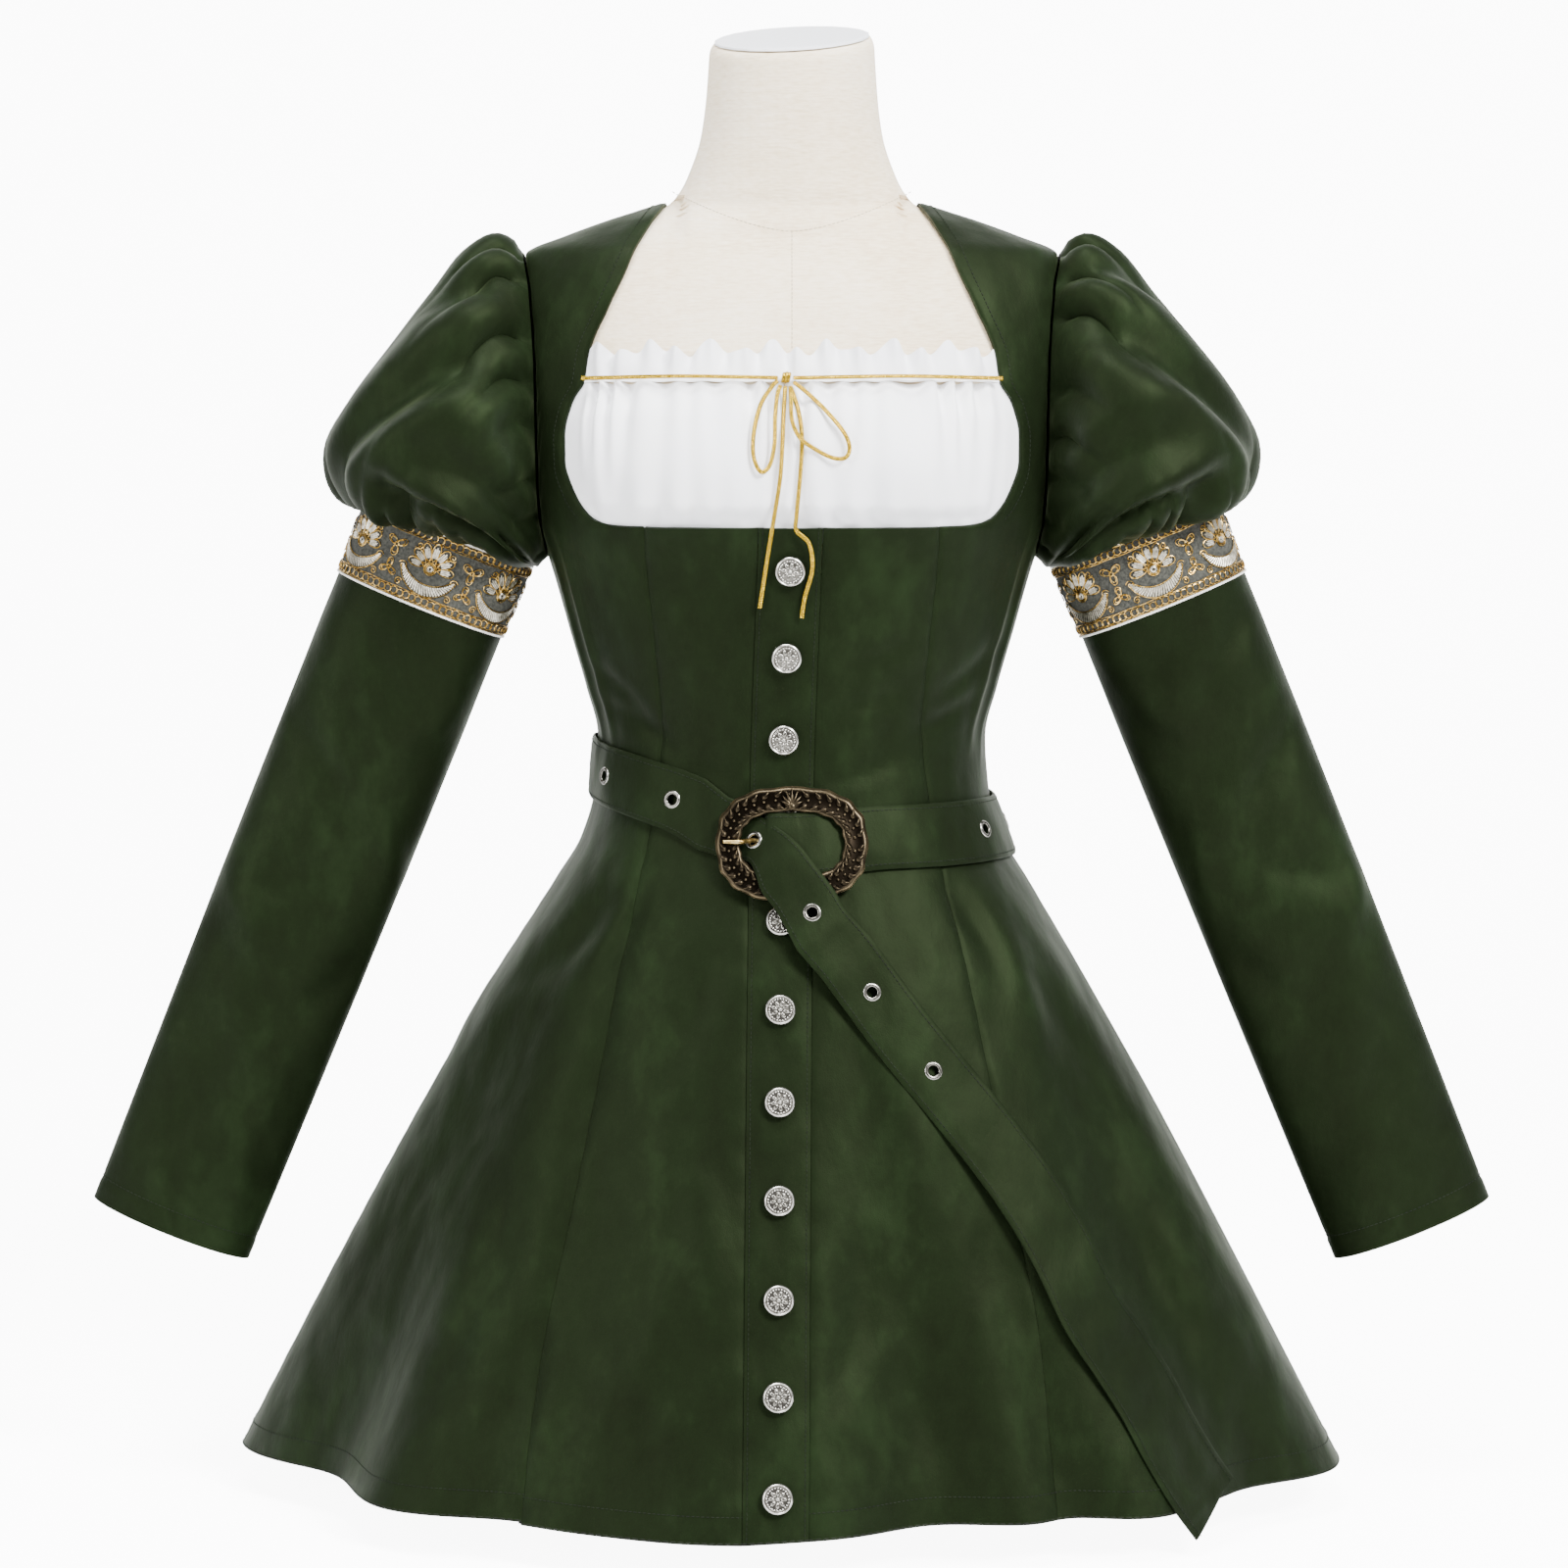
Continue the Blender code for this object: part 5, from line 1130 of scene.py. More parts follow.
def crescent(gold, silver, side, at):
    """A curved leaf of satin ribs below the fan, with a gold outline."""
    radius = 19.0 * MM
    share = np.linspace(0.02, 0.98, 27)
    angle = np.radians(204 + 132 * share)
    half = 3.1 * MM * np.sin(np.pi * share) ** 0.7
    for a, h in zip(angle, half):
        reach_out = radius + np.array((-h, 0, h))
        lean = np.radians(np.array((-3.0, 0, 3.0)))
        x, y = at[0] + reach_out * np.cos(a + lean), at[1] + reach_out * np.sin(a + lean)
        stroke(silver, side, x, y, 0.62 * MM, 0.0006, 5, 0.7)
    for sign in (-1, 1):
        edge = radius + sign * (half + 0.7 * MM)
        stroke(gold, side, at[0] + edge * np.cos(angle), at[1] + edge * np.sin(angle), 0.34 * MM, 0.0007)


def knotwork(gold, side, at, size, degrees):
    """A trefoil of loops in doubled thread, with a ring in its middle."""
    t = np.arange(54) / 54 * 2 * np.pi
    for grow in (1.0, 0.76):
        radius = size * grow * (0.56 + 0.44 * np.cos(3 * t))
        x, y = turned_drawing(radius * np.sin(t), radius * np.cos(t), degrees, at)
        stroke(gold, side, x, y, 0.33 * MM, 0.0006 + 0.0003 * np.sin(6 * t), closed=True)
    ring = np.arange(10) / 10 * 2 * np.pi
    stroke(gold, side, at[0] + 1.3 * MM * np.cos(ring), at[1] + 1.3 * MM * np.sin(ring), 0.4 * MM, closed=True)


def scroll(gold, side, at, hand, degrees, size):
    """A thread that curls up at its end."""
    t = np.linspace(0, 1, 22)
    swirl = 2.9 * np.pi * t
    radius = size * (1 - 0.86 * t)
    x, y = hand * (radius * np.cos(swirl) - size), radius * np.sin(swirl)
    x, y = turned_drawing(x, y, degrees, at)
    stroke(gold, side, x, y, 0.33 * MM)


def chain_border(gold, side, up, count):
    """Rings that overlap along an edge, between two straight threads."""
    turn = np.arange(14) / 14 * 2 * np.pi
    pitch = TRIM_GIRTH / count
    for number in range(count):
        wobble = 0.25 * MM * math.sin(2.4 * number)
        x = number * pitch + 2.45 * MM * np.cos(turn)
        y = up + wobble + (2.3 * MM + wobble / 2) * np.sin(turn)
        stroke(gold, side, x, y, 0.34 * MM, 0.0006 + 0.0003 * np.cos(turn), closed=True)
    line = np.arange(150) / 150 * TRIM_GIRTH
    for shift in (-3.1 * MM, 3.1 * MM):
        y = up + shift + 0.2 * MM * np.sin(line / (3.1 * MM))
        stroke(gold, side, line, y, 0.30 * MM, closed=True)


def sleeve_trim(side):
    name = "right" if side > 0 else "left"
    ground, outer = net_ground(side)
    gold, silver, cord = Bundle(), Bundle(), Bundle()
    repeat = TRIM_GIRTH / TRIM_REPEATS
    for number in range(TRIM_REPEATS):
        middle = number * repeat
        fan(gold, silver, side, (middle, 1.0 * MM))
        crescent(gold, silver, side, (middle, 5.5 * MM))
        between = middle + repeat / 2
        knotwork(gold, side, (between, 8.0 * MM), 7.6 * MM, 180)
        knotwork(gold, side, (between, -7.6 * MM), 6.4 * MM, 0)
        for hand in (-1, 1):
            scroll(gold, side, (between + hand * 6.0 * MM, -2.0 * MM), -hand, 20 * hand, 3.0 * MM)
            scroll(gold, side, (between + hand * 11.5 * MM, -12.5 * MM), hand, -30 * hand, 2.6 * MM)
            scroll(gold, side, (between + hand * 12.5 * MM, 11.5 * MM), hand, 150 * hand, 2.6 * MM)
    count = round(TRIM_GIRTH / (4.3 * MM))
    chain_border(gold, side, -20.4 * MM, count)
    chain_border(gold, side, 20.4 * MM, count)
    line = np.arange(420) / 420 * TRIM_GIRTH
    for strand in (0, 1, 2):
        phase = line / (1.05 * MM) + strand * 2 * np.pi / 3
        for up in (-24.9 * MM, 24.6 * MM):
            path, normals = on_band(side, line, up + 0.35 * MM * np.cos(phase), 0.0006 + 0.35 * MM * np.sin(phase))
            cord.tube(path, normals, 0.46 * MM, 5, 1.0, closed=True)
    for bundle, kind, finish in (
        (gold, "gold", BRONZE_THREAD), (silver, "silver", SILVER_THREAD), (cord, "edge_cord", WHITE_CORD),
    ):
        made = bundle.make(f"sleeve_trim_{name}_{kind}")
        finish_piece(made, finish, "metallic_trim")


sleeve_trim(1)
sleeve_trim(-1)

# %% [markdown]
# ## The chemise insert
# Behind the square neckline lies fine white cotton, gathered on a drawstring above and into the
# bodice seam below. The gathers are small and uneven and they fade into the two soft cups.

# %% Gathered insert
STRAP_EDGE = Table(
    ("z", "x"),
    [
        (0.610, 0.1330), (0.629, 0.1370), (0.636, 0.1410), (0.648, 0.1460), (0.666, 0.1500),
        (0.683, 0.1500), (0.704, 0.1450), (0.717, 0.1400), (0.735, 0.1360), (0.745, 0.1320),
    ],
)


def insert_lift(x, z):
    side = smoothstep((STRAP_EDGE("x", z) - 0.004 - np.abs(x)) / 0.026)
    low = smoothstep((z - UNDERBUST_Z - 0.0005) / 0.016)
    high = lerp(0.35, 1, smoothstep((0.714 - z) / 0.022))
    return -WALL - 0.0012 + side * low * 0.0072 * high


def insert_gathers(x, z):
    """Gathers below the drawstring and above the underbust seam, and soft pulls between them."""
    side = smoothstep((STRAP_EDGE("x", z) - 0.006 - np.abs(x)) / 0.016)
    down = (0.7165 - z) / 0.032
    phase = x / 0.0024 + 2.2 * np.sin(x / 0.021) + 1.3 * np.sin(x / 0.0087 + 1)
    top = np.sin(phase) * np.exp(-np.clip(down, 0, None) ** 1.5) * 0.0027
    top = top * (1 + 0.6 * np.sin(x / 0.017 + 2))
    up = (z - 0.6265) / 0.030
    low = np.sin(x / 0.0031 + 1.7 * np.sin(x / 0.024 + 1) + 0.8) * np.exp(-np.clip(up, 0, None) ** 1.4)
    low = low * (0.0016 + 0.0009 * np.sin(x / 0.019)) * smoothstep((z - 0.6245) / 0.006)
    pulls = 0.0018 * np.sin(x / 0.0105 + 14 * (z - 0.66) + np.sin(x / 0.033)) * np.exp(
        -((z - 0.672) / 0.030) ** 2)
    return side * (top + low + pulls)


def insert():
    z = np.linspace(0.6150, 0.7160, 60)[:, None]
    share = np.linspace(-1, 1, 230)[None, :]
    x = STRAP_EDGE("x", z) * share
    z = z + np.zeros_like(x)
    lift = insert_lift(x, z) + insert_gathers(x, z)
    outer, inner = front_point(x, z, lift), front_point(x, z, lift - 0.0008)
    made = wall("chemise_insert_cotton", outer, inner)
    finish_piece(made, COTTON, "chemise_cotton", "chemise_insert")
    sheet_facts(made, outer, (0.420, 0.115))


insert()

# %% Ruffle above the drawstring
def ruffle():
    columns = 420
    share = np.linspace(0, 1, columns)[None, :]
    down = np.linspace(0, 1, 18)[:, None]
    z = lerp(0.7162, 0.7360, down)
    opening = smoothstep(down) * 0.35 + down * 0.65
    edge = STRAP_EDGE("x", z) - 0.0065
    x = lerp(-edge, edge, share)
    wave = np.sin(2 * np.pi * 14 * share + 0.9 * np.sin(9 * x / edge))
    ripple = np.sin(2 * np.pi * 24 * share + 2.0 * np.sin(5 * x / edge))
    rim = 1 - smoothstep((np.abs(x) / edge - 0.9) / 0.1)
    pinch = np.sin(x / 0.0024 + 2.2 * np.sin(x / 0.021)) * 0.0006 * np.exp(-(down / 0.3) ** 2)
    lift = -WALL - 0.0006 + (0.0034 + 0.0036 * opening * wave + 0.0026 * opening + pinch) * rim
    lift = lift + 0.0014 * opening * ripple * rim
    top = z + opening * (0.0030 * np.sin(2 * np.pi * 7 * share + 0.5) + 0.0018 * wave)
    outer, inner = front_point(x, top, lift), front_point(x, top, lift - 0.0007)
    made = wall("chemise_ruffle_cotton", outer, inner)
    finish_piece(made, COTTON, "chemise_cotton", "chemise_ruffle")
    sheet_facts(made, outer, (0.420, 0.024))


ruffle()

# %% [markdown]
# ## Drawstring and bow
# A gold braid about 3 mm wide runs through the casing of the insert and is tied in a bow. Each
# stretch is plaited from three strands that swing from side to side, as such a braid is, along
# the same route that its solid takes.

# %% Plaited cord
CORD_RADIUS = 0.0014
KNOT_X, STRING_Z = -0.0040, 0.7165
PLAIT_PITCH = 0.0046


def chest_point(x, z, out):
    """A place just in front of the white cotton, or of the velvet below it."""
    over = np.maximum(insert_lift(x, z), 0.0030)
    lift = np.where(z > UNDERBUST_Z + 0.004, over, PLACKET_PROUD)
    return front_point(x, z, lift + CORD_RADIUS + out)


def smooth_line(points, spacing):
    """Evenly spaced points on a smooth curve through these."""
    points = np.asarray(points, float)
    ends = np.vstack([2 * points[0] - points[1], points, 2 * points[-1] - points[-2]])
    t = np.linspace(0, 1, 24, endpoint=False)[:, None]
    pieces = [
        0.5 * (2 * b + (c - a) * t + (2 * a - 5 * b + 4 * c - d) * t ** 2 + (3 * b - a - 3 * c + d) * t ** 3)
        for a, b, c, d in zip(ends, ends[1:], ends[2:], ends[3:])
    ]
    return resample(np.vstack(pieces + [points[-1:]]), spacing)


def plait(name, points, node):
    path = smooth_line(points, 0.0007)
    run = walk(path[:, None], 0)[:, 0]
    normals = outward(angle_at(path[:, 0], path[:, 2]), path[:, 2])
    side = unit(np.cross(np.gradient(path, axis=0), normals))
    ahead = unit(np.cross(side, np.gradient(path, axis=0)))
    bundle = Bundle()
    for strand in range(3):
        phase = 2 * np.pi * (run / PLAIT_PITCH + strand / 3)
        swing = 0.00085 * np.sin(phase)[:, None] * side + 0.00034 * np.sin(2 * phase)[:, None] * ahead
        bundle.tube(path + swing, ahead, 0.00066, 6, 0.85)
    made = bundle.make(name)
    finish_piece(made, GOLD, "gold_braid", node)
    print(f"{name}: {run[-1] / MM:.0f} mm")


# %% Bow
# Distance right of the knot and down from it, and height off the cloth, in millimetres
ROUTES = {
    "bow_loop_left": (
        (-5.4, 2.2, 2.6), (-9.0, 6.0, 2.0), (-16.0, 17.0, 1.7), (-20.5, 33.0, 1.6),
        (-21.0, 47.0, 1.6), (-16.5, 56.0, 1.6), (-11.0, 52.5, 1.6), (-8.0, 40.0, 1.7),
        (-7.4, 25.0, 2.0), (-5.6, 11.0, 2.5), (-3.6, 5.2, 2.8),
    ),
    "bow_loop_right": (
        (5.4, 3.0, 2.6), (12.0, 8.0, 2.2), (24.0, 19.0, 1.7), (36.5, 33.0, 1.6),
        (40.5, 42.0, 1.6), (38.0, 48.0, 1.6), (30.0, 48.0, 1.8), (20.0, 43.5, 3.0),
        (10.5, 37.0, 4.4), (4.0, 27.0, 4.4), (2.6, 14.0, 4.4), (2.4, 6.2, 4.0),
    ),
    "bow_tail_left": (
        (-0.6, 5.4, 1.9), (-1.6, 18.0, 1.3), (-3.0, 40.0, 1.0), (-4.4, 60.0, 1.0),
        (-7.4, 82.0, 1.2), (-11.4, 110.0, 1.5), (-16.0, 141.0, 1.5),
    ),
    "bow_tail_right": (
        (3.2, 6.2, 1.0), (8.6, 20.0, 1.5), (11.2, 36.0, 1.5), (10.4, 56.0, 1.5),
        (7.4, 82.0, 1.5), (7.0, 92.0, 1.5), (14.8, 100.0, 2.6), (16.6, 116.0, 2.6),
        (12.0, 134.0, 1.8), (10.0, 147.0, 1.5),
    ),
}


def bow():
    for node, route in ROUTES.items():
        right, down, off = np.array(route).T * MM
        points = chest_point(KNOT_X + right, STRING_Z - down, off)
        plait(node + "_braid", points, node)
    for node, side in (("drawstring_left", -1), ("drawstring_right", 1)):
        share = np.linspace(0, 1, 9)
        points = chest_point(
            lerp(side * 0.1295, KNOT_X + side * 0.0052, share), lerp(0.7172, STRING_Z, share), 0.0017,
        )
        plait(node + "_braid", points, node)


def knot():
    """The braid wound round the crossing, three turns side by side."""
    bundle = Bundle()
    middle = chest_point(np.array(KNOT_X), np.array(STRING_Z), 0.0022)
    turn = np.arange(20) / 20 * 2 * np.pi
    for shift, grow in ((-1.7, 0.86), (0.0, 1.0), (1.7, 0.88)):
        out = np.stack([
            np.full(20, shift * MM) + 0.5 * MM * np.sin(turn), -2.0 * MM * grow * np.cos(turn),
            3.0 * MM * grow * np.sin(turn),
        ], -1)
        across = np.stack([np.zeros(20), -np.cos(turn), np.sin(turn)], -1)
        bundle.tube(middle + out, across, 1.05 * MM, 8, 0.75, closed=True)
    made = bundle.make("bow_knot_braid")
    finish_piece(made, GOLD, "gold_braid", "bow_knot")


bow()
knot()

# %% [markdown]
# ## Belt
# The belt is a strap of the same velvet. It goes once round the waist, through the buckle and
# down over the skirt. Its fixed end is folded round the buckle's bar. The strap is worked out as
# stations, each with a top edge, a bottom edge and the way it faces.

# %% Strap stations
BELT_HALF = 0.0195
BELT_THICK = 0.0020
BELT_LIFT = 0.0016
TIP_SLANT = 0.0060
BUCKLE_Z = 0.428
BUCKLE_HALF = (0.0465, 0.0340)
BUCKLE_BAND = 0.0140
BUCKLE_THICK = 0.0045
BAR_DEPTH = 0.0018
BELT_RING = Table(
    ("degrees", "z"),
    [
        (2, 0.4255), (25, 0.4300), (60, 0.4300), (90, 0.4290), (135, 0.4340), (180, 0.4450),
        (225, 0.4580), (270, 0.4680), (300, 0.4630), (325, 0.4540), (336, 0.4465),
    ],
)
# How far the folded end stands off the placket where it goes round the bar
BELT_END = Table(
    ("degrees", "lift"),
    [(-5.4, 0.0036), (-5.2, 0.0052), (-4.6, 0.0064), (-3, 0.0066), (1, 0.0064), (6, 0.0050),
     (11, 0.0026), (15, 0.0016)],
)
THROUGH_BUCKLE = np.array((
    # top x, top z, top share, low x, low z, low share
    (-0.0395, 0.4555, 0.00, -0.0600, 0.4230, 0.00),
    (-0.0270, 0.4505, 0.00, -0.0440, 0.4190, 0.00),
    (-0.0160, 0.4420, 0.34, -0.0335, 0.4172, 0.00),
    (-0.0070, 0.4370, 0.84, -0.0262, 0.4165, 0.44),
    (0.0035, 0.4290, 1.00, -0.0225, 0.4095, 1.00),
    (0.0150, 0.4150, 1.00, -0.0190, 0.3990, 1.00),
    (0.0260, 0.4010, 1.00, -0.0100, 0.3880, 1.00),
))
BELT_TAIL = Table(
    ("step", "x", "z", "lift"),
    [
        (0, 0.0180, 0.3770, 0.0086), (1, 0.0333, 0.3595, 0.0062), (2, 0.0500, 0.3370, 0.0034),
        (3, 0.0680, 0.3130, 0.0022), (4, 0.0985, 0.2760, 0.0018), (5, 0.1255, 0.2430, 0.0018),
        (6, 0.1480, 0.2120, 0.0022), (7, 0.1680, 0.1780, 0.0026), (8, 0.1850, 0.1430, 0.0030),
        (9, 0.2030, 0.1160, 0.0032), (10, 0.2195, 0.0900, 0.0034), (11, 0.2350, 0.0610, 0.0034),
        (12, 0.2500, 0.0360, 0.0042), (13, 0.2620, 0.0190, 0.0042),
    ],
)


def cloth_depth(x, z):
    """How far forward the cloth and the placket reach here, seen from the front."""
    x, z = np.broadcast_arrays(np.asarray(x, float), np.asarray(z, float))
    proud = np.where(np.abs(x - PLACKET("shift", z)) < PLACKET_HALF + 0.004, PLACKET_PROUD, 0.0)
    return proud - front_point(x, np.maximum(z, HEM_Z))[..., 1]


def buckle_plane(x, z):
    """How far forward the back of the buckle lies: it leans with the skirt and bends round it."""
    low, high = BUCKLE_Z - BUCKLE_HALF[1], BUCKLE_Z + BUCKLE_HALF[1]
    lean = lerp(cloth_depth(0, low), cloth_depth(0, high), (z - low) / (high - low))
    return lean + BELT_LIFT + BELT_THICK + 0.0005 - 0.0030 * (x / BUCKLE_HALF[0]) ** 2


def ring_stations():
    """Both edges of the strap's inner face round the waist."""
    degrees = np.concatenate([np.arange(-5.4, 15, 0.6), np.arange(15, 335, 1.6)])
    angle = np.radians(degrees)
    z = BELT_RING("z", degrees)
    radius = np.hypot(*surface(angle, z)[:, :2].T)
    slope = np.arctan2(BELT_RING("z", degrees + 1) - z, math.radians(1) * radius)
    shift, rise = np.sin(slope) * BELT_HALF / radius, np.cos(slope) * BELT_HALF
    lift = np.where(degrees < 15, BELT_END("lift", degrees), BELT_LIFT)
    lift = lift + PLACKET_PROUD * ((degrees < 14) | (degrees > 346))
    return cloth(angle - shift, z + rise, lift), cloth(angle + shift, z - rise, lift)


def tail_stations():
    """Both edges through the buckle and down to the slanted tip."""
    over = [buckle_plane(THROUGH_BUCKLE[:, c], THROUGH_BUCKLE[:, c + 1]) for c in (0, 3)]
    tops, lows = [], []
    for made, c, front in ((tops, 0, over[0]), (lows, 3, over[1])):
        x, z, share = THROUGH_BUCKLE[:, c], THROUGH_BUCKLE[:, c + 1], THROUGH_BUCKLE[:, c + 2]
        y = -lerp(cloth_depth(x, z) + BELT_LIFT, front + BUCKLE_THICK + 0.0006, share)
        made.append(np.stack([x, y, z], -1))
    last = BELT_TAIL.key[-1]
    step = np.linspace(0, last, 90)
    x, z, lift = (BELT_TAIL(name, step) for name in ("x", "z", "lift"))
    ahead, behind = np.minimum(step + 0.2, last), np.maximum(step - 0.2, 0)
    run = unit(np.stack([
        BELT_TAIL("x", ahead) - BELT_TAIL("x", behind), np.zeros(90),
        BELT_TAIL("z", ahead) - BELT_TAIL("z", behind),
    ], -1))
    side = np.stack([-run[:, 2], np.zeros(90), run[:, 0]], -1) * BELT_HALF
    marks = np.arange(-4, 5) / 4
    depths = cloth_depth(x[:, None] + side[:, :1] * marks, z[:, None] + side[:, 2:] * marks)
    low, high = depths[:, :1], depths[:, -1:]
    raised = (depths - lerp(low, high, (marks + 1) / 2)).max(axis=1) + lift
    slant = run * TIP_SLANT * (step == last)[:, None]
    tops.append(np.stack([x + side[:, 0], -high[:, 0] - raised, z + side[:, 2]], -1) - slant)
    lows.append(np.stack([x - side[:, 0], -low[:, 0] - raised, z - side[:, 2]], -1) + slant)
    return np.vstack(tops), np.vstack(lows)


print("tail ends", round(BELT_TAIL("z", 13) / MM), "mm above the hem's level")

# %% Velvet strap
def even(tops, lows, spacing):
    """Stations at an even spacing along the strap."""
    both = resample(np.concatenate([(tops + lows) / 2, tops, lows], axis=1), spacing, measured=9)
    return both[:, 3:6], both[:, 6:9]


def strap_frame():
    ring_top, ring_low = ring_stations()
    tail_top, tail_low = tail_stations()
    smooth = [smooth_line(e[:8], 0.004) for e in (tail_top, tail_low)]
    count = min(len(s) for s in smooth)
    smooth = [resample(s, walk(s[:, None], 0)[-1, 0] / count) for s in smooth]
    count = min(len(s) for s in smooth)
    tops = np.vstack([ring_top, smooth[0][:count], tail_top[8:]])
    lows = np.vstack([ring_low, smooth[1][:count], tail_low[8:]])
    tops, lows = even(tops, lows, 0.0030)
    middle = (tops + lows) / 2
    along = np.gradient(middle, axis=0)
    return tops, lows, unit(np.cross(along, tops - lows)), walk(middle[:, None], 0)[:, 0]


STRAP_TOP, STRAP_LOW, STRAP_NORMAL, STRAP_RUN = strap_frame()
FACING = np.sign((STRAP_NORMAL * (STRAP_TOP - (0, 0.005, STRAP_TOP[0, 2]))).sum(axis=1))
STRAP_NORMAL = STRAP_NORMAL * FACING[:, None]
WIDTH_MARKS = np.array((0.0, 0.035, 0.075, 0.16, 0.30, 0.5, 0.70, 0.84, 0.925, 0.965, 1.0))


def strap_relief(across, run):
    """Edges turned under and topstitched, a soft crown, and wrinkles where it was pulled."""
    edge = np.minimum(across, 1 - across) * 2 * BELT_HALF
    relief = 0.0003 * np.sin(np.pi * across) - 0.0004 * np.exp(-((edge - 0.0026) / 0.0009) ** 2)
    wave = np.sin(run / 0.0083 + 3 * np.sin(run / 0.047) + 2.2 * across)
    pull = 0.00045 * wave * (0.5 + 0.5 * np.sin(run / 0.061 + 1)) * np.sin(np.pi * across)
    return relief + pull - 0.0010 * np.exp(-(edge / 0.0011) ** 2)


def strap():
    across = WIDTH_MARKS[None, :]
    base = lerp(STRAP_TOP[:, None], STRAP_LOW[:, None], across[..., None])
    relief = strap_relief(across, STRAP_RUN[:, None])
    normal = STRAP_NORMAL[:, None]
    outer = base + (BELT_THICK + relief)[..., None] * normal
    inner = base + (0.0003 + 0.2 * (BELT_THICK + relief - 0.002))[..., None] * normal
    made = wall("belt_strap_velvet", outer[:, ::-1], inner[:, ::-1])
    return made, outer


BELT, BELT_OUTER = strap()
print("strap:", round(STRAP_RUN[-1] / MM), "mm long")

# %% [markdown]
# ## Metal: eyelets, buckle and buttons
# Hard pieces start from a primitive and are shaped in edit mode, as by hand. An eyelet, a leaf
# and a button are each made once and copied, every copy with its own mesh.

# %% Modelling helpers
def start_piece(name, operator, **settings):
    """A new primitive as the only selected object, with its own name."""
    bpy.ops.object.select_all(action="DESELECT")
    operator(**settings)
    made = bpy.context.object
    made.name = made.data.name = name
    return made


def settle(made):
    """Its own mesh holds its place, so the object sits unturned at the origin."""
    bpy.ops.object.select_all(action="DESELECT")
    made.select_set(True)
    bpy.context.view_layer.objects.active = made
    bpy.ops.object.transform_apply(location=True, rotation=True, scale=True)
    return made


def copy_to(template, name, matrix):
    made = template.copy()
    made.data = template.data.copy()
    made.name = made.data.name = name
    made.data.transform(matrix)
    bpy.context.collection.objects.link(made)
    return made


def joined(name, pieces):
    bpy.ops.object.select_all(action="DESELECT")
    for piece in pieces:
        piece.select_set(True)
    bpy.context.view_layer.objects.active = pieces[0]
    bpy.ops.object.join()
    pieces[0].name = pieces[0].data.name = name
    return pieces[0]


def facing(point, normal, up=(0, 0, 1)):
    """A matrix that stands a piece on a surface: its own Z leaves the surface."""
    z = Vector(normal).normalized()
    x = Vector(up).cross(z).normalized()
    y = z.cross(x)
    turn = Matrix((x, y, z)).transposed().to_4x4()
    turn.translation = Vector(point) + Vector((0, 0, FLOOR_PLATE))
    return turn


def grow_profile(profile):
    """From the selected ring, one extrusion for each further radius and height."""
    for (r0, h0), (r1, h1) in zip(profile, profile[1:]):
        bpy.ops.mesh.extrude_region_move(TRANSFORM_OT_translate={"value": (0, 0, h1 - h0)})
        bpy.ops.transform.resize(value=(r1 / r0, r1 / r0, 1), center_override=(0, 0, h1))


print("modelling helpers are ready")

# %% Eyelets
EYELET_PITCH = 0.062
EYELET_HOLE = 0.0032
EYELET_RIM = 0.0058
PRONG_HOLE = np.array((-0.0248, -0.110, 0.4296))


def eyelet_places():
    """Distance along the strap of each eyelet, counted from the one that the prong uses."""
    middle = (STRAP_TOP + STRAP_LOW) / 2
    late = STRAP_RUN > 0.5 * STRAP_RUN[-1]
    away = np.where(late, np.linalg.norm(middle - PRONG_HOLE, axis=1), 1.0)
    return STRAP_RUN[away.argmin()] + EYELET_PITCH * np.arange(-10, 4)


def eyelets():
    ring = start_piece("eyelet", bpy.ops.mesh.primitive_torus_add, major_segments=36, minor_segments=12,
                       major_radius=(EYELET_RIM + EYELET_HOLE) / 2, minor_radius=(EYELET_RIM - EYELET_HOLE) / 2)
    bpy.ops.object.mode_set(mode="EDIT")
    bpy.ops.mesh.select_all(action="SELECT")
    bpy.ops.transform.resize(value=(1, 1, 0.62))
    bpy.ops.object.mode_set(mode="OBJECT")
    ring.data.shade_smooth()
    punch = start_piece("eyelet_holes", bpy.ops.mesh.primitive_cylinder_add, vertices=24,
                        radius=EYELET_HOLE + 0.0004, depth=0.010)
    punches = []
    for number, at in enumerate(eyelet_places(), start=1):
        top, low, out = (
            np.array([np.interp(at, STRAP_RUN, line[:, c]) for c in range(3)])
            for line in (STRAP_TOP, STRAP_LOW, STRAP_NORMAL)
        )
        middle = (top + low) / 2
        made = copy_to(ring, f"eyelet_{number:02d}_ring", facing(middle + 0.0022 * unit(out), out, top - low))
        finish_piece(made, SILVER, "silver_metal", f"eyelet_{number:02d}")
        punches.append(copy_to(punch, f"punch_{number}", facing(middle, out, top - low)))
    cutter = joined("eyelet_cutter", punches)
    cut = BELT.modifiers.new("holes", "BOOLEAN")
    cut.object, cut.operation = cutter, "DIFFERENCE"
    bpy.context.view_layer.objects.active = BELT
    bpy.ops.object.modifier_apply(modifier="holes")
    for spare in (ring, punch, cutter):
        bpy.data.objects.remove(spare, do_unlink=True)
    finish_piece(BELT, VELVET, "velvet", "belt_strap")
    sheet_facts(BELT, BELT_OUTER, (0.039, STRAP_RUN[-1]))


eyelets()

# %% Buckle
def outline_point(turn, inset=0.0):
    """A place on the buckle's outline, drawn in by an inset."""
    x = (BUCKLE_HALF[0] - inset) * signed_power(np.cos(turn), 0.8)
    z = (BUCKLE_HALF[1] - inset) * signed_power(np.sin(turn), 0.8)
    return x, BUCKLE_Z + z


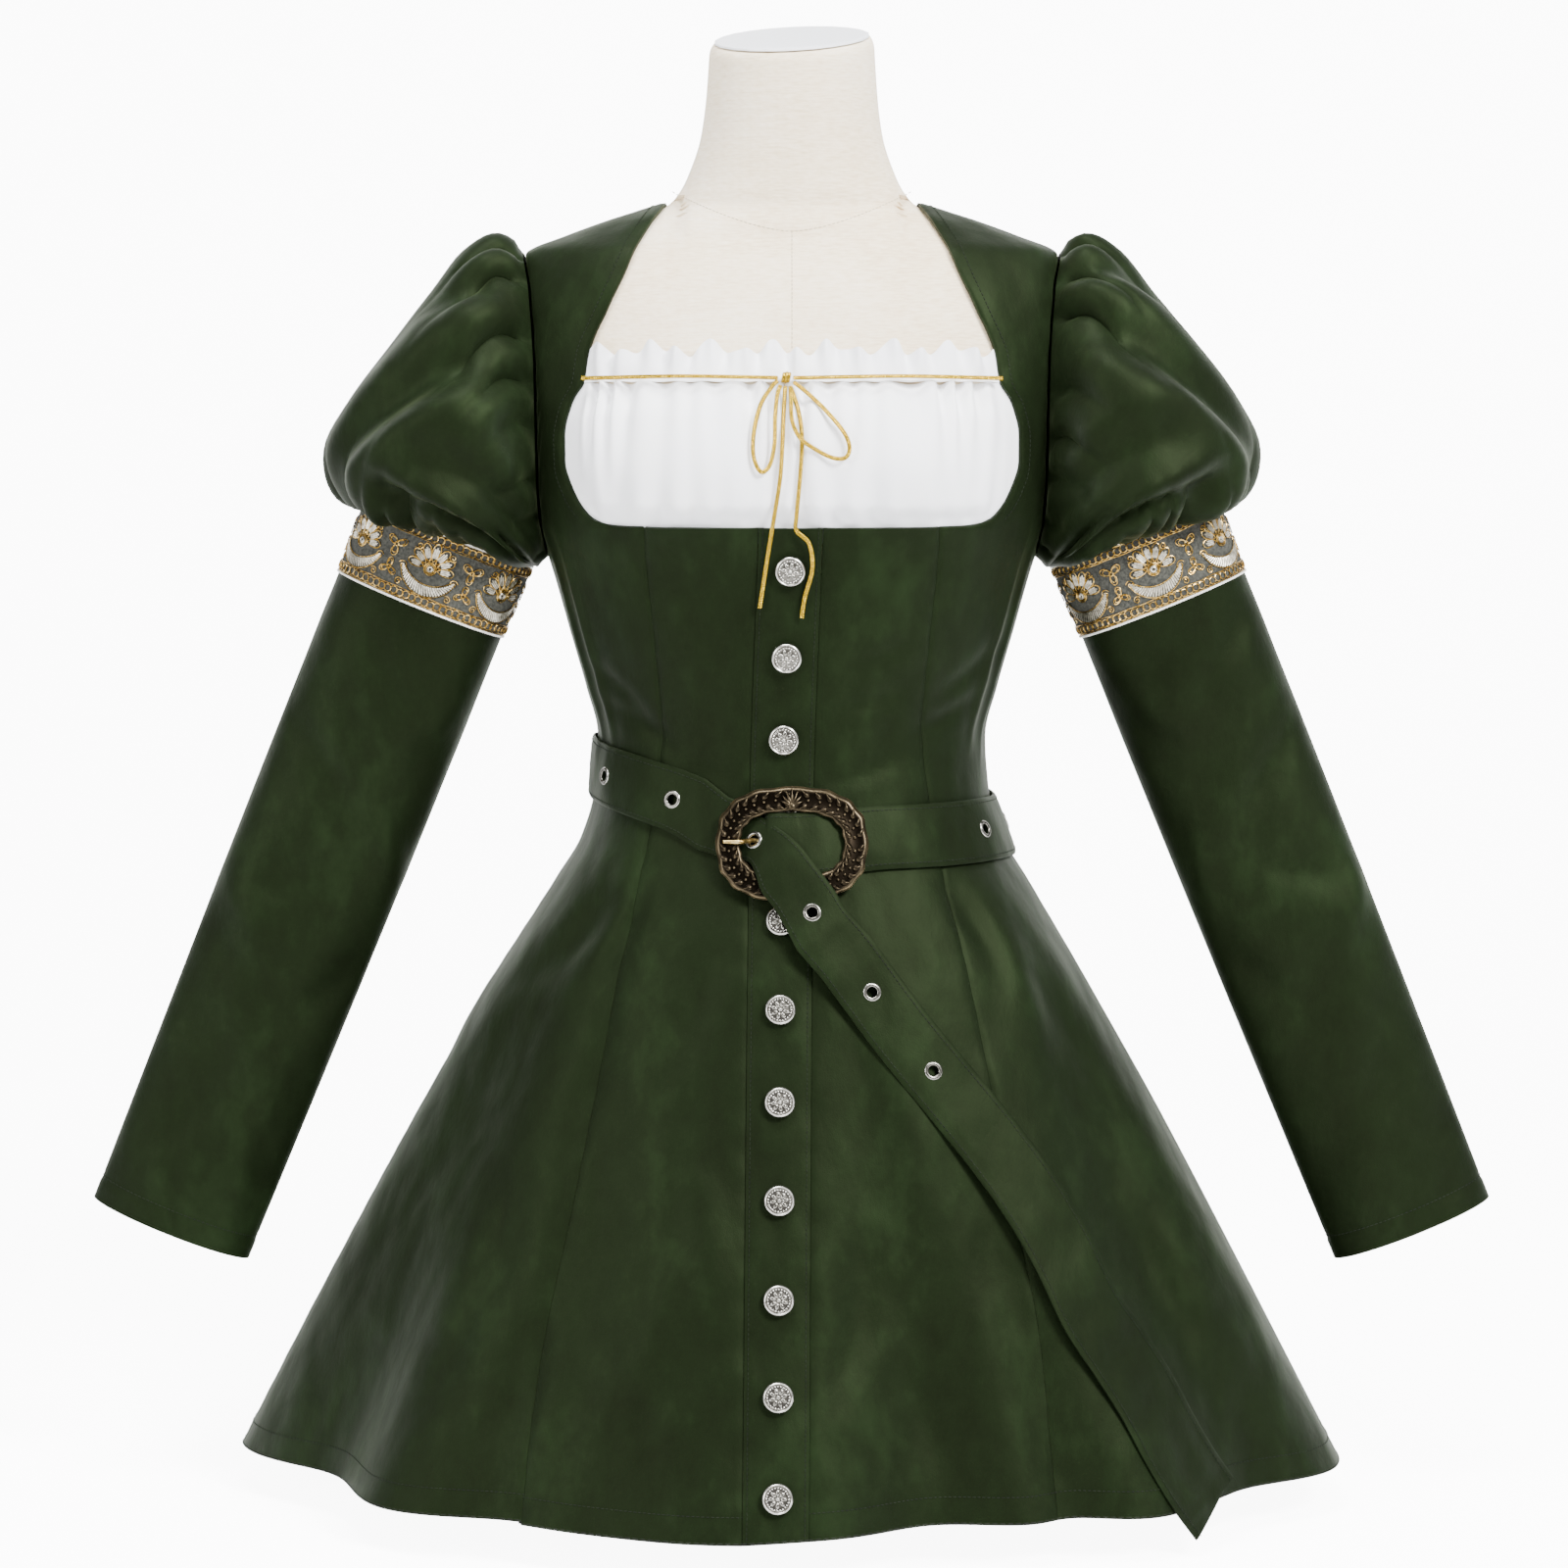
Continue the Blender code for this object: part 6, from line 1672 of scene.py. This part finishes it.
def place_on_buckle(made):
    """Move a flat drawing in X and Z onto the leaning, bent plane of the buckle."""
    flat = np.zeros(len(made.data.vertices) * 3)
    made.data.vertices.foreach_get("co", flat)
    points = flat.reshape(-1, 3)
    points[:, 1] -= buckle_plane(points[:, 0], points[:, 2])
    points[:, 2] += FLOOR_PLATE
    made.data.vertices.foreach_set("co", points.ravel())
    made.data.update()


def buckle_band():
    """The plain cast band: a ring of edges drawn to the outline, then extruded inwards."""
    made = start_piece("buckle_band", bpy.ops.mesh.primitive_circle_add, vertices=144, radius=1)
    turns = np.arange(144) / 144 * 2 * np.pi
    for vertex, turn in zip(made.data.vertices, turns):
        x, z = outline_point(turn)
        grow = 1 + 0.012 * math.cos(16 * turn)
        vertex.co = (x * grow, 0, BUCKLE_Z + (z - BUCKLE_Z) * grow)
    profile = ((0.0, 0.0), (-0.001, -0.0016), (0.0012, -0.0030), (0.0032, -0.0024), (0.0100, -0.0024),
               (0.0122, -0.0032), (0.0140, -0.0020), (0.0140, 0.0))
    bpy.ops.object.mode_set(mode="EDIT")
    bpy.ops.mesh.select_all(action="SELECT")
    for (inset, y), (next_inset, next_y) in zip(profile, profile[1:]):
        shrink = [(half - next_inset) / (half - inset) for half in BUCKLE_HALF]
        bpy.ops.mesh.extrude_edges_move(TRANSFORM_OT_translate={"value": (0, next_y - y, 0)})
        bpy.ops.transform.resize(value=(shrink[0], 1, shrink[1]), center_override=(0, 0, BUCKLE_Z))
    bpy.ops.mesh.select_all(action="SELECT")
    bpy.ops.mesh.remove_doubles(threshold=0.00005)
    bpy.ops.mesh.select_all(action="DESELECT")
    bpy.ops.mesh.select_non_manifold()
    bpy.ops.mesh.bridge_edge_loops()
    bpy.ops.mesh.select_all(action="SELECT")
    bpy.ops.mesh.normals_make_consistent(inside=False)
    bpy.ops.object.mode_set(mode="OBJECT")
    made.data.shade_smooth()
    return made


def leaf_template():
    """A pointed leaf with a raised rib, lying in X and Z with its root at the origin."""
    made = start_piece("leaf", bpy.ops.mesh.primitive_uv_sphere_add, segments=16, ring_count=8, radius=1,
                       rotation=(0, math.pi / 2, 0))
    settle(made)
    for vertex in made.data.vertices:
        x, y, z = vertex.co
        width = (1 - x) ** 0.5 * 0.95
        vein = 0.30 * math.exp(-(z / 0.16) ** 2)
        vertex.co = ((x + 1) / 2, y * (1 + vein), z * width)
    made.data.shade_smooth()
    return made


def drawn(template, name, x, z, turn, size, height):
    """A copy in the buckle's own plane: place, turn in that plane, size and depth."""
    scale = Matrix.Diagonal((*size, 1))
    matrix = Matrix.Translation((x, -height, z)) @ Matrix.Rotation(-turn, 4, "Y") @ scale
    return copy_to(template, name, matrix)


def buckle_frame():
    leaf = leaf_template()
    berry = start_piece("berry", bpy.ops.mesh.primitive_uv_sphere_add, segments=12, ring_count=8, radius=1)
    berry.data.shade_smooth()
    parts = [buckle_band()]
    count = 34
    for number in range(count):
        turn = 2 * math.pi * (number + 0.5) / count
        toward = 1 if math.cos(turn) > 0 else -1
        x, z = outline_point(turn, 0.0068)
        ahead_x, ahead_z = outline_point(turn + 0.02 * toward, 0.0068)
        along = math.atan2(ahead_z - z, ahead_x - x)
        for lean, inset in ((0.62 * toward, 0.0048), (-0.62 * toward, 0.0092)):
            root_x, root_z = outline_point(turn, inset)
            parts.append(drawn(leaf, f"leaf_{number}_{inset}", root_x, root_z, along - lean,
                               (0.0062, 0.0012, 0.0017), 0.0028))
        parts.append(drawn(berry, f"berry_{number}", x, z, 0, (0.0009, 0.0010, 0.0009), 0.0030))
    for turn_middle in (0.5 * math.pi, 1.5 * math.pi):
        x, z = outline_point(turn_middle, 0.0105)
        for number in range(7):
            lean = math.radians(-66 + 22 * number)
            parts.append(drawn(leaf, f"shell_{turn_middle:.0f}_{number}", x, z, turn_middle + lean,
                               (0.0112 - 0.003 * abs(lean), 0.0017, 0.0020), 0.0034))
        parts.append(drawn(berry, f"pearl_{turn_middle:.0f}", x, z, 0, (0.0026, 0.0018, 0.0026), 0.0040))
    made = joined("buckle_frame_cast", parts)
    for spare in (leaf, berry):
        bpy.data.objects.remove(spare, do_unlink=True)
    place_on_buckle(made)
    finish_piece(made, BRASS, "antique_brass", "buckle_frame")
    print("buckle frame:", len(made.data.polygons), "faces")


def round_bar(name, route, radii, node, finish):
    """A bent round bar, thicker or thinner along its way, with flat ends."""
    path = smooth_line(route, 0.0006)
    at = np.linspace(0, 1, len(path))
    radius = np.interp(at, np.linspace(0, 1, len(radii)), radii)
    bundle = Bundle()
    bundle.tube(path, np.tile((0.0, 0.0, 1.0), (len(path), 1)) + 1e-6, radius, 16)
    made = bundle.make(name)
    finish_piece(made, finish, "antique_brass", node)


def buckle_bar_and_prong():
    ends = [BUCKLE_Z + side * (BUCKLE_HALF[1] - BUCKLE_BAND - 0.0006) for side in (-1, 1)]
    route = [(0, -float(buckle_plane(0, z)) - BAR_DEPTH + 0.0022, z) for z in np.linspace(*ends, 5)]
    path = smooth_line(route, 0.002)
    bundle = Bundle()
    bundle.tube(path, np.tile((0.0, -1.0, 0.0), (len(path), 1)), 0.0011, 16)
    finish_piece(bundle.make("buckle_bar_cast"), BRASS, "antique_brass", "buckle_bar")
    z = PRONG_HOLE[2]
    bar = -float(buckle_plane(0, z)) - BAR_DEPTH
    seat = -float(cloth_depth(PRONG_HOLE[0], z))
    tip = -float(buckle_plane(-0.040, z)) - BUCKLE_THICK - 0.0014
    route = (
        (-0.0030, bar, z), (-0.0120, bar + 0.0014, z), (-0.0217, seat - 0.0036, z),
        (-0.0286, seat - 0.0086, z), (-0.0325, tip, z), (-0.0430, tip + 0.0003, z),
    )
    round_bar("buckle_prong_cast", route, (1.6 * MM, 1.7 * MM, 1.7 * MM, 1.6 * MM, 1.2 * MM), "buckle_prong",
              BRIGHT_BRASS)


buckle_frame()
buckle_bar_and_prong()

# %% Buttons
BUTTON_RADIUS = 0.0095
BUTTON_HEIGHTS = (
    0.5985, 0.5440, 0.4920, 0.4480, 0.3800, 0.3270, 0.2720, 0.2140, 0.1560, 0.1000, 0.0420,
)


def button_template():
    """A shank button: a rolled rim round a dish with a rosette of eight petals."""
    r = BUTTON_RADIUS
    profile = (
        (0.28 * r, 0.0), (0.60 * r, 0.0005), (0.92 * r, 0.0014), (r, 0.0024), (r, 0.0031), (0.96 * r, 0.0039),
        (0.89 * r, 0.0042), (0.83 * r, 0.0039), (0.79 * r, 0.0032), (0.72 * r, 0.0030), (0.50 * r, 0.0034),
        (0.20 * r, 0.0037),
    )
    made = start_piece("button_body", bpy.ops.mesh.primitive_circle_add, vertices=56, radius=profile[0][0],
                       fill_type="NGON")
    bpy.ops.object.mode_set(mode="EDIT")
    bpy.ops.mesh.select_all(action="SELECT")
    grow_profile(profile)
    bpy.ops.mesh.select_all(action="SELECT")
    bpy.ops.mesh.normals_make_consistent(inside=False)
    bpy.ops.object.mode_set(mode="OBJECT")
    parts = [made]
    for number in range(8):
        turn = 2 * math.pi * number / 8
        parts.append(start_piece(
            f"petal_{number}", bpy.ops.mesh.primitive_uv_sphere_add, segments=14, ring_count=8, radius=1,
            location=(0.40 * r * math.cos(turn), 0.40 * r * math.sin(turn), 0.0035),
            scale=(0.22 * r, 0.13 * r, 0.0009), rotation=(0, 0, turn),
        ))
    for number in range(24):
        turn = 2 * math.pi * number / 24
        parts.append(start_piece(
            f"bead_{number}", bpy.ops.mesh.primitive_uv_sphere_add, segments=8, ring_count=6, radius=0.00062,
            location=(0.715 * r * math.cos(turn), 0.715 * r * math.sin(turn), 0.0032),
        ))
    parts.append(start_piece(
        "heart", bpy.ops.mesh.primitive_uv_sphere_add, segments=16, ring_count=8, radius=0.16 * r,
        location=(0, 0, 0.0037),
    ))
    template = settle(joined("button", parts))
    template.data.shade_smooth()
    template.data.set_sharp_from_angle(angle=math.radians(50))
    return template


def buttons():
    template = button_template()
    for number, height in enumerate(BUTTON_HEIGHTS, start=1):
        z = np.array(height)
        x = PLACKET("shift", z) + 0.0005
        seat = front_point(x, z, PLACKET_PROUD + 0.0007)
        lean = math.radians(17 * math.sin(2.3 * number))
        up = (math.sin(lean), 0, math.cos(lean))
        made = copy_to(template, f"button_{number:02d}_metal", facing(seat, outward(angle_at(x, z), z), up))
        finish_piece(made, SILVER, "silver_metal", f"button_{number:02d}")
    bpy.data.objects.remove(template, do_unlink=True)


buttons()
print(len(BUTTON_HEIGHTS), "buttons of", 2 * BUTTON_RADIUS / MM, "mm")

# %% [markdown]
# ## Sewing
# Topstitching is thread, so each stitch is its own short spindle lying on the cloth, 3 mm from
# the next. A line of stitches follows a panel's edge or its hem at the distance a machine keeps.

# %% Stitches
STITCH_PITCH = 0.0030
STITCH_LENGTH = 0.0022
STITCH_RADIUS = 0.00034


def stitch_line(bundle, path, normals):
    """A run of spindles along a path."""
    path = np.asarray(path, float)
    line = resample(np.concatenate([path, normals], axis=1), STITCH_PITCH)
    at, out = line[:, :3], unit(line[:, 3:])
    along = unit(np.gradient(at, axis=0))
    share = np.array((-0.5, -0.36, 0.0, 0.36, 0.5))
    thick = np.array((0.15, 0.8, 1.0, 0.8, 0.15)) * STITCH_RADIUS
    for p, way, n in zip(at, along, out):
        spindle = p + share[:, None] * STITCH_LENGTH * way + n * STITCH_RADIUS * 0.5
        bundle.tube(spindle, np.tile(n, (5, 1)), thick, 5)


def line_in_rows(laid, distance, inset):
    """The path through a panel's rows where this distance from an edge is reached."""
    path, normals = [], []
    for points, ways, along in zip(laid["grid"], laid["normal"], distance):
        order = np.argsort(along)
        path.append([np.interp(inset, along[order], points[order, c]) for c in range(3)])
        normals.append([np.interp(inset, along[order], ways[order, c]) for c in range(3)])
    return np.array(path), np.array(normals)


def line_in_columns(laid, inset):
    """The path across a panel at this height up from its hem."""
    points, ways, run = (np.swapaxes(laid[name], 0, 1) for name in ("grid", "normal", "run"))
    path = [[np.interp(inset, r, p[:, c]) for c in range(3)] for p, r in zip(points, run)]
    normals = [[np.interp(inset, r, n[:, c]) for c in range(3)] for n, r in zip(ways, run)]
    return np.array(path), np.array(normals)


def sew():
    bundle, edge = Bundle(), Bundle()
    for side in ("left", "right"):
        stitch_line(bundle, *line_in_rows(LAID["placket_velvet"], LAID["placket_velvet"][side], 0.0025))
    for panel_name, inner in (("side_front_right_velvet", "left"), ("side_front_left_velvet", "right")):
        laid = LAID[panel_name]
        path, normals = line_in_rows(laid, laid[inner], 0.0080)
        keep = path[:, 2] > UNDERBUST_Z + 0.004
        stitch_line(bundle, path[keep], normals[keep])
    for name, laid in LAID.items():
        if "normal" in laid and name != "placket_velvet":
            stitch_line(bundle, *line_in_columns(laid, 0.0160))
        if "normal" in laid:
            path, normals = laid["grid"][0], laid["normal"][0]
            line = resample(np.concatenate([path, normals], axis=1), 0.0016)
            wobble = 0.00025 * np.sin(np.arange(len(line)) * 2.1)[:, None] * line[:, 3:]
            edge.tube(line[:, :3] - 0.0008 * unit(line[:, 3:]) + wobble, line[:, 3:], 0.0010, 6)
            for column in (0, -1):
                tape = laid["grid"][:, column][::3]
                ways = laid["normal"][:, column][::3]
                low = tape[:, 2] < 0.600
                edge.tube(tape[low] - 0.0030 * ways[low], ways[low], 0.0034, 4, 0.12)
    for column in (2, -3):
        path = BELT_OUTER[:, column]
        stitch_line(bundle, path, STRAP_NORMAL)
    finish_piece(bundle.make("sewing_stitches"), THREAD, "velvet")
    finish_piece(edge.make("seam_and_hem_overlock"), THREAD, "velvet")
    print("stitches:", len(bundle.points))


def sew_cuffs():
    bundle = Bundle()
    for side in ("left", "right"):
        grid = LAID[f"sleeve_{side}"]["grid"]
        run = walk(grid, 0)
        middle = grid.mean(axis=1, keepdims=True)
        path = [[np.interp(r[-1] - 0.016, r, p[:, c]) for c in range(3)]
                for r, p in zip(run.T, np.swapaxes(grid, 0, 1))]
        path = np.array(path + path[:1])
        stitch_line(bundle, path, unit(path - middle[-8]))
    finish_piece(bundle.make("cuff_stitches"), THREAD, "velvet")


sew()
sew_cuffs()

# %% [markdown]
# ## The dress form
# The gown rests on a limbless dress form in ecru linen with a white cap on its neck. Its rings
# keep inside the cloth everywhere.

# %% Dress form
def reach(table, x, z, side):
    share = 1 - np.minimum(np.abs(x) / table("half_width", z), 1.0) ** table("power", z)
    return table(side, z) * share ** (1 / table("power", z))


def form_grid(turn, z):
    point = section(FORM, turn, z)
    x, y = point[..., 0], point[..., 1]
    z = z + np.zeros_like(x)
    y = y - bust(x, z) * np.clip(np.cos(turn), 0, None) * 0.93
    plate = ARMHOLE("x", z) - 0.0075
    inside = (z > UNDERARM_Z - 0.02) & (z < SHOULDER_END_Z)
    x = np.where(inside, np.clip(x, -plate, plate), x)
    offset = y - BODY("centre", z)
    ahead = reach(BODY, x, z + 0.0042, "front")
    behind = reach(BODY, x, z + 0.0042, "back")
    most = np.maximum(np.where(y < FORM("centre", z), ahead, behind) - WALL - 0.0012, 0)
    most = lerp(1.0, most, smoothstep((np.abs(x) - 0.060) / 0.010))
    trim = np.sign(offset) * np.clip(np.abs(offset) - most, 0, None)
    y = np.where((z > 0.785) & (z < 0.835), y - trim, y)
    return np.stack([x, y, z], -1)


# The neck is cut off on a slant, higher at the back and a little at the right
NECK_TOP = 0.9345
NECK_RISE_BACK = math.tan(math.radians(13))
NECK_RISE_RIGHT = 0.05


def form_seams():
    """Sewn lines of the linen cover: round the foot of the neck and down the middle of the front."""
    bundle = Bundle()
    for x, z in (
        (np.linspace(-0.076, 0.076, 60), 0.811 + 0.0235 * (np.abs(np.linspace(-1, 1, 60)) * 1.08) ** 1.6),
        (np.full(40, 0.0), np.linspace(0.735, 0.811, 40)),
    ):
        rows = form_grid(np.linspace(-1.5, 1.5, 161)[None, :], z[:, None])
        path = np.array([[at, np.interp(at, row[:, 0], row[:, 1]), high] for at, high, row in zip(x, z, rows)])
        out = unit(np.stack([path[:, 0], path[:, 1] - 0.01, np.full(len(x), 0.03)], -1))
        stitch_line(bundle, path, out)
    finish_piece(bundle.make("form_seam_stitches"), ECRU_THREAD, "form_linen")


def form():
    turn = np.arange(128) / 128 * 2 * np.pi
    z = np.concatenate([
        np.linspace(0.268, 0.60, 50), np.linspace(0.604, 0.78, 50), np.linspace(0.783, 0.924, 60),
        np.linspace(0.925, NECK_TOP, 6),
    ])
    grid = form_grid(turn[None, :], z[:, None])
    slant = np.clip((z[:, None] - 0.885) / (NECK_TOP - 0.885), 0, 1)
    grid[..., 2] += slant * (grid[..., 1] * NECK_RISE_BACK + grid[..., 0] * NECK_RISE_RIGHT)
    for row, shrink in zip((-4, -3, -2, -1), (0.998, 0.992, 0.980, 0.960)):
        grid[row, :, :2] *= shrink
    rows, columns = grid.shape[:2]
    faces = grid_faces(rows, columns, True, 0, False).tolist()
    faces.append(tuple(range(columns))[::-1])
    faces.append(tuple(range((rows - 1) * columns, rows * columns)))
    made = new_object("form_torso_linen", grid.reshape(-1, 3), faces)
    finish_piece(made, LINEN, "form_linen", "form_torso")


form()
form_seams()
for node, material in (("form_neck_cap", CAP_WHITE), ("form_pole", STEEL_WHITE), ("form_base", STEEL_WHITE)):
    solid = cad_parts[node]
    solid.data.materials.clear()
    solid.data.materials.append(material)

# %% [markdown]
# ## Room and light
# The gown was photographed as a product: a pale sweep of paper, a large soft key light from the
# right, a weaker one from the left and a little light from behind that catches the pile.

# %% Stage
def lit_backdrop():
    """White paper that glows: to the camera it glows brightly, and it lights the gown only a little."""
    material, tree, shader = new_material("lit_white_backdrop", Roughness=0.9, Specular_IOR_Level=0.1)
    shader.inputs["Base Color"].default_value = linear("#f6f6f6")
    shader.inputs["Emission Color"].default_value = linear("#ffffff")
    seen = add(tree, "ShaderNodeLightPath").outputs["Is Camera Ray"]
    glow = add(tree, "ShaderNodeMapRange", {"Value": seen, "To Min": 0.15, "To Max": 9.0})
    tree.links.new(glow.outputs["Result"], shader.inputs["Emission Strength"])
    return material


def sweep():
    """One strip of paper: floor, a round bend and a wall behind."""
    bend = [(1.6 + 0.9 * math.sin(a), 0.9 - 0.9 * math.cos(a)) for a in np.linspace(0, math.pi / 2, 16)]
    profile = [(-4.0, 0.0)] + bend + [(2.5, 4.5)]
    points = [(x, y, z) for y, z in profile for x in (-5.0, 5.0)]
    faces = [(2 * i, 2 * i + 1, 2 * i + 3, 2 * i + 2) for i in range(len(profile) - 1)]
    mesh = bpy.data.meshes.new("paper_sweep")
    mesh.from_pydata(points, [], faces)
    mesh.shade_smooth()
    made = bpy.data.objects.new("paper_sweep", mesh)
    bpy.context.collection.objects.link(made)
    made.data.materials.append(lit_backdrop())


def soft_light(name, place, aim, size, watts):
    data = bpy.data.lights.new(name, "AREA")
    data.shape, data.size, data.size_y, data.energy = "RECTANGLE", size[0], size[1], watts
    made = bpy.data.objects.new(name, data)
    made.location = place
    made.rotation_euler = (Vector(aim) - Vector(place)).to_track_quat("-Z", "Y").to_euler()
    bpy.context.collection.objects.link(made)


sweep()
soft_light("key", (1.6, -1.9, 2.4), (0, 0, 0.5), (0.9, 0.9), 250)
soft_light("fill", (-2.3, -2.0, 1.5), (0, 0, 0.45), (1.2, 1.4), 75)
soft_light("top", (-0.2, -0.7, 2.7), (0, 0, 0.5), (1.0, 0.8), 80)
soft_light("rim_right", (1.7, 1.2, 1.3), (0, 0, 0.5), (0.5, 1.4), 8)
soft_light("rim_left", (-1.7, 1.2, 1.3), (0, 0, 0.5), (0.5, 1.4), 8)
world = bpy.data.worlds.new("studio")
world.use_nodes = True
world.node_tree.nodes["Background"].inputs["Color"].default_value = linear("#ffffff")
world.node_tree.nodes["Background"].inputs["Strength"].default_value = 0.55
bpy.context.scene.world = world
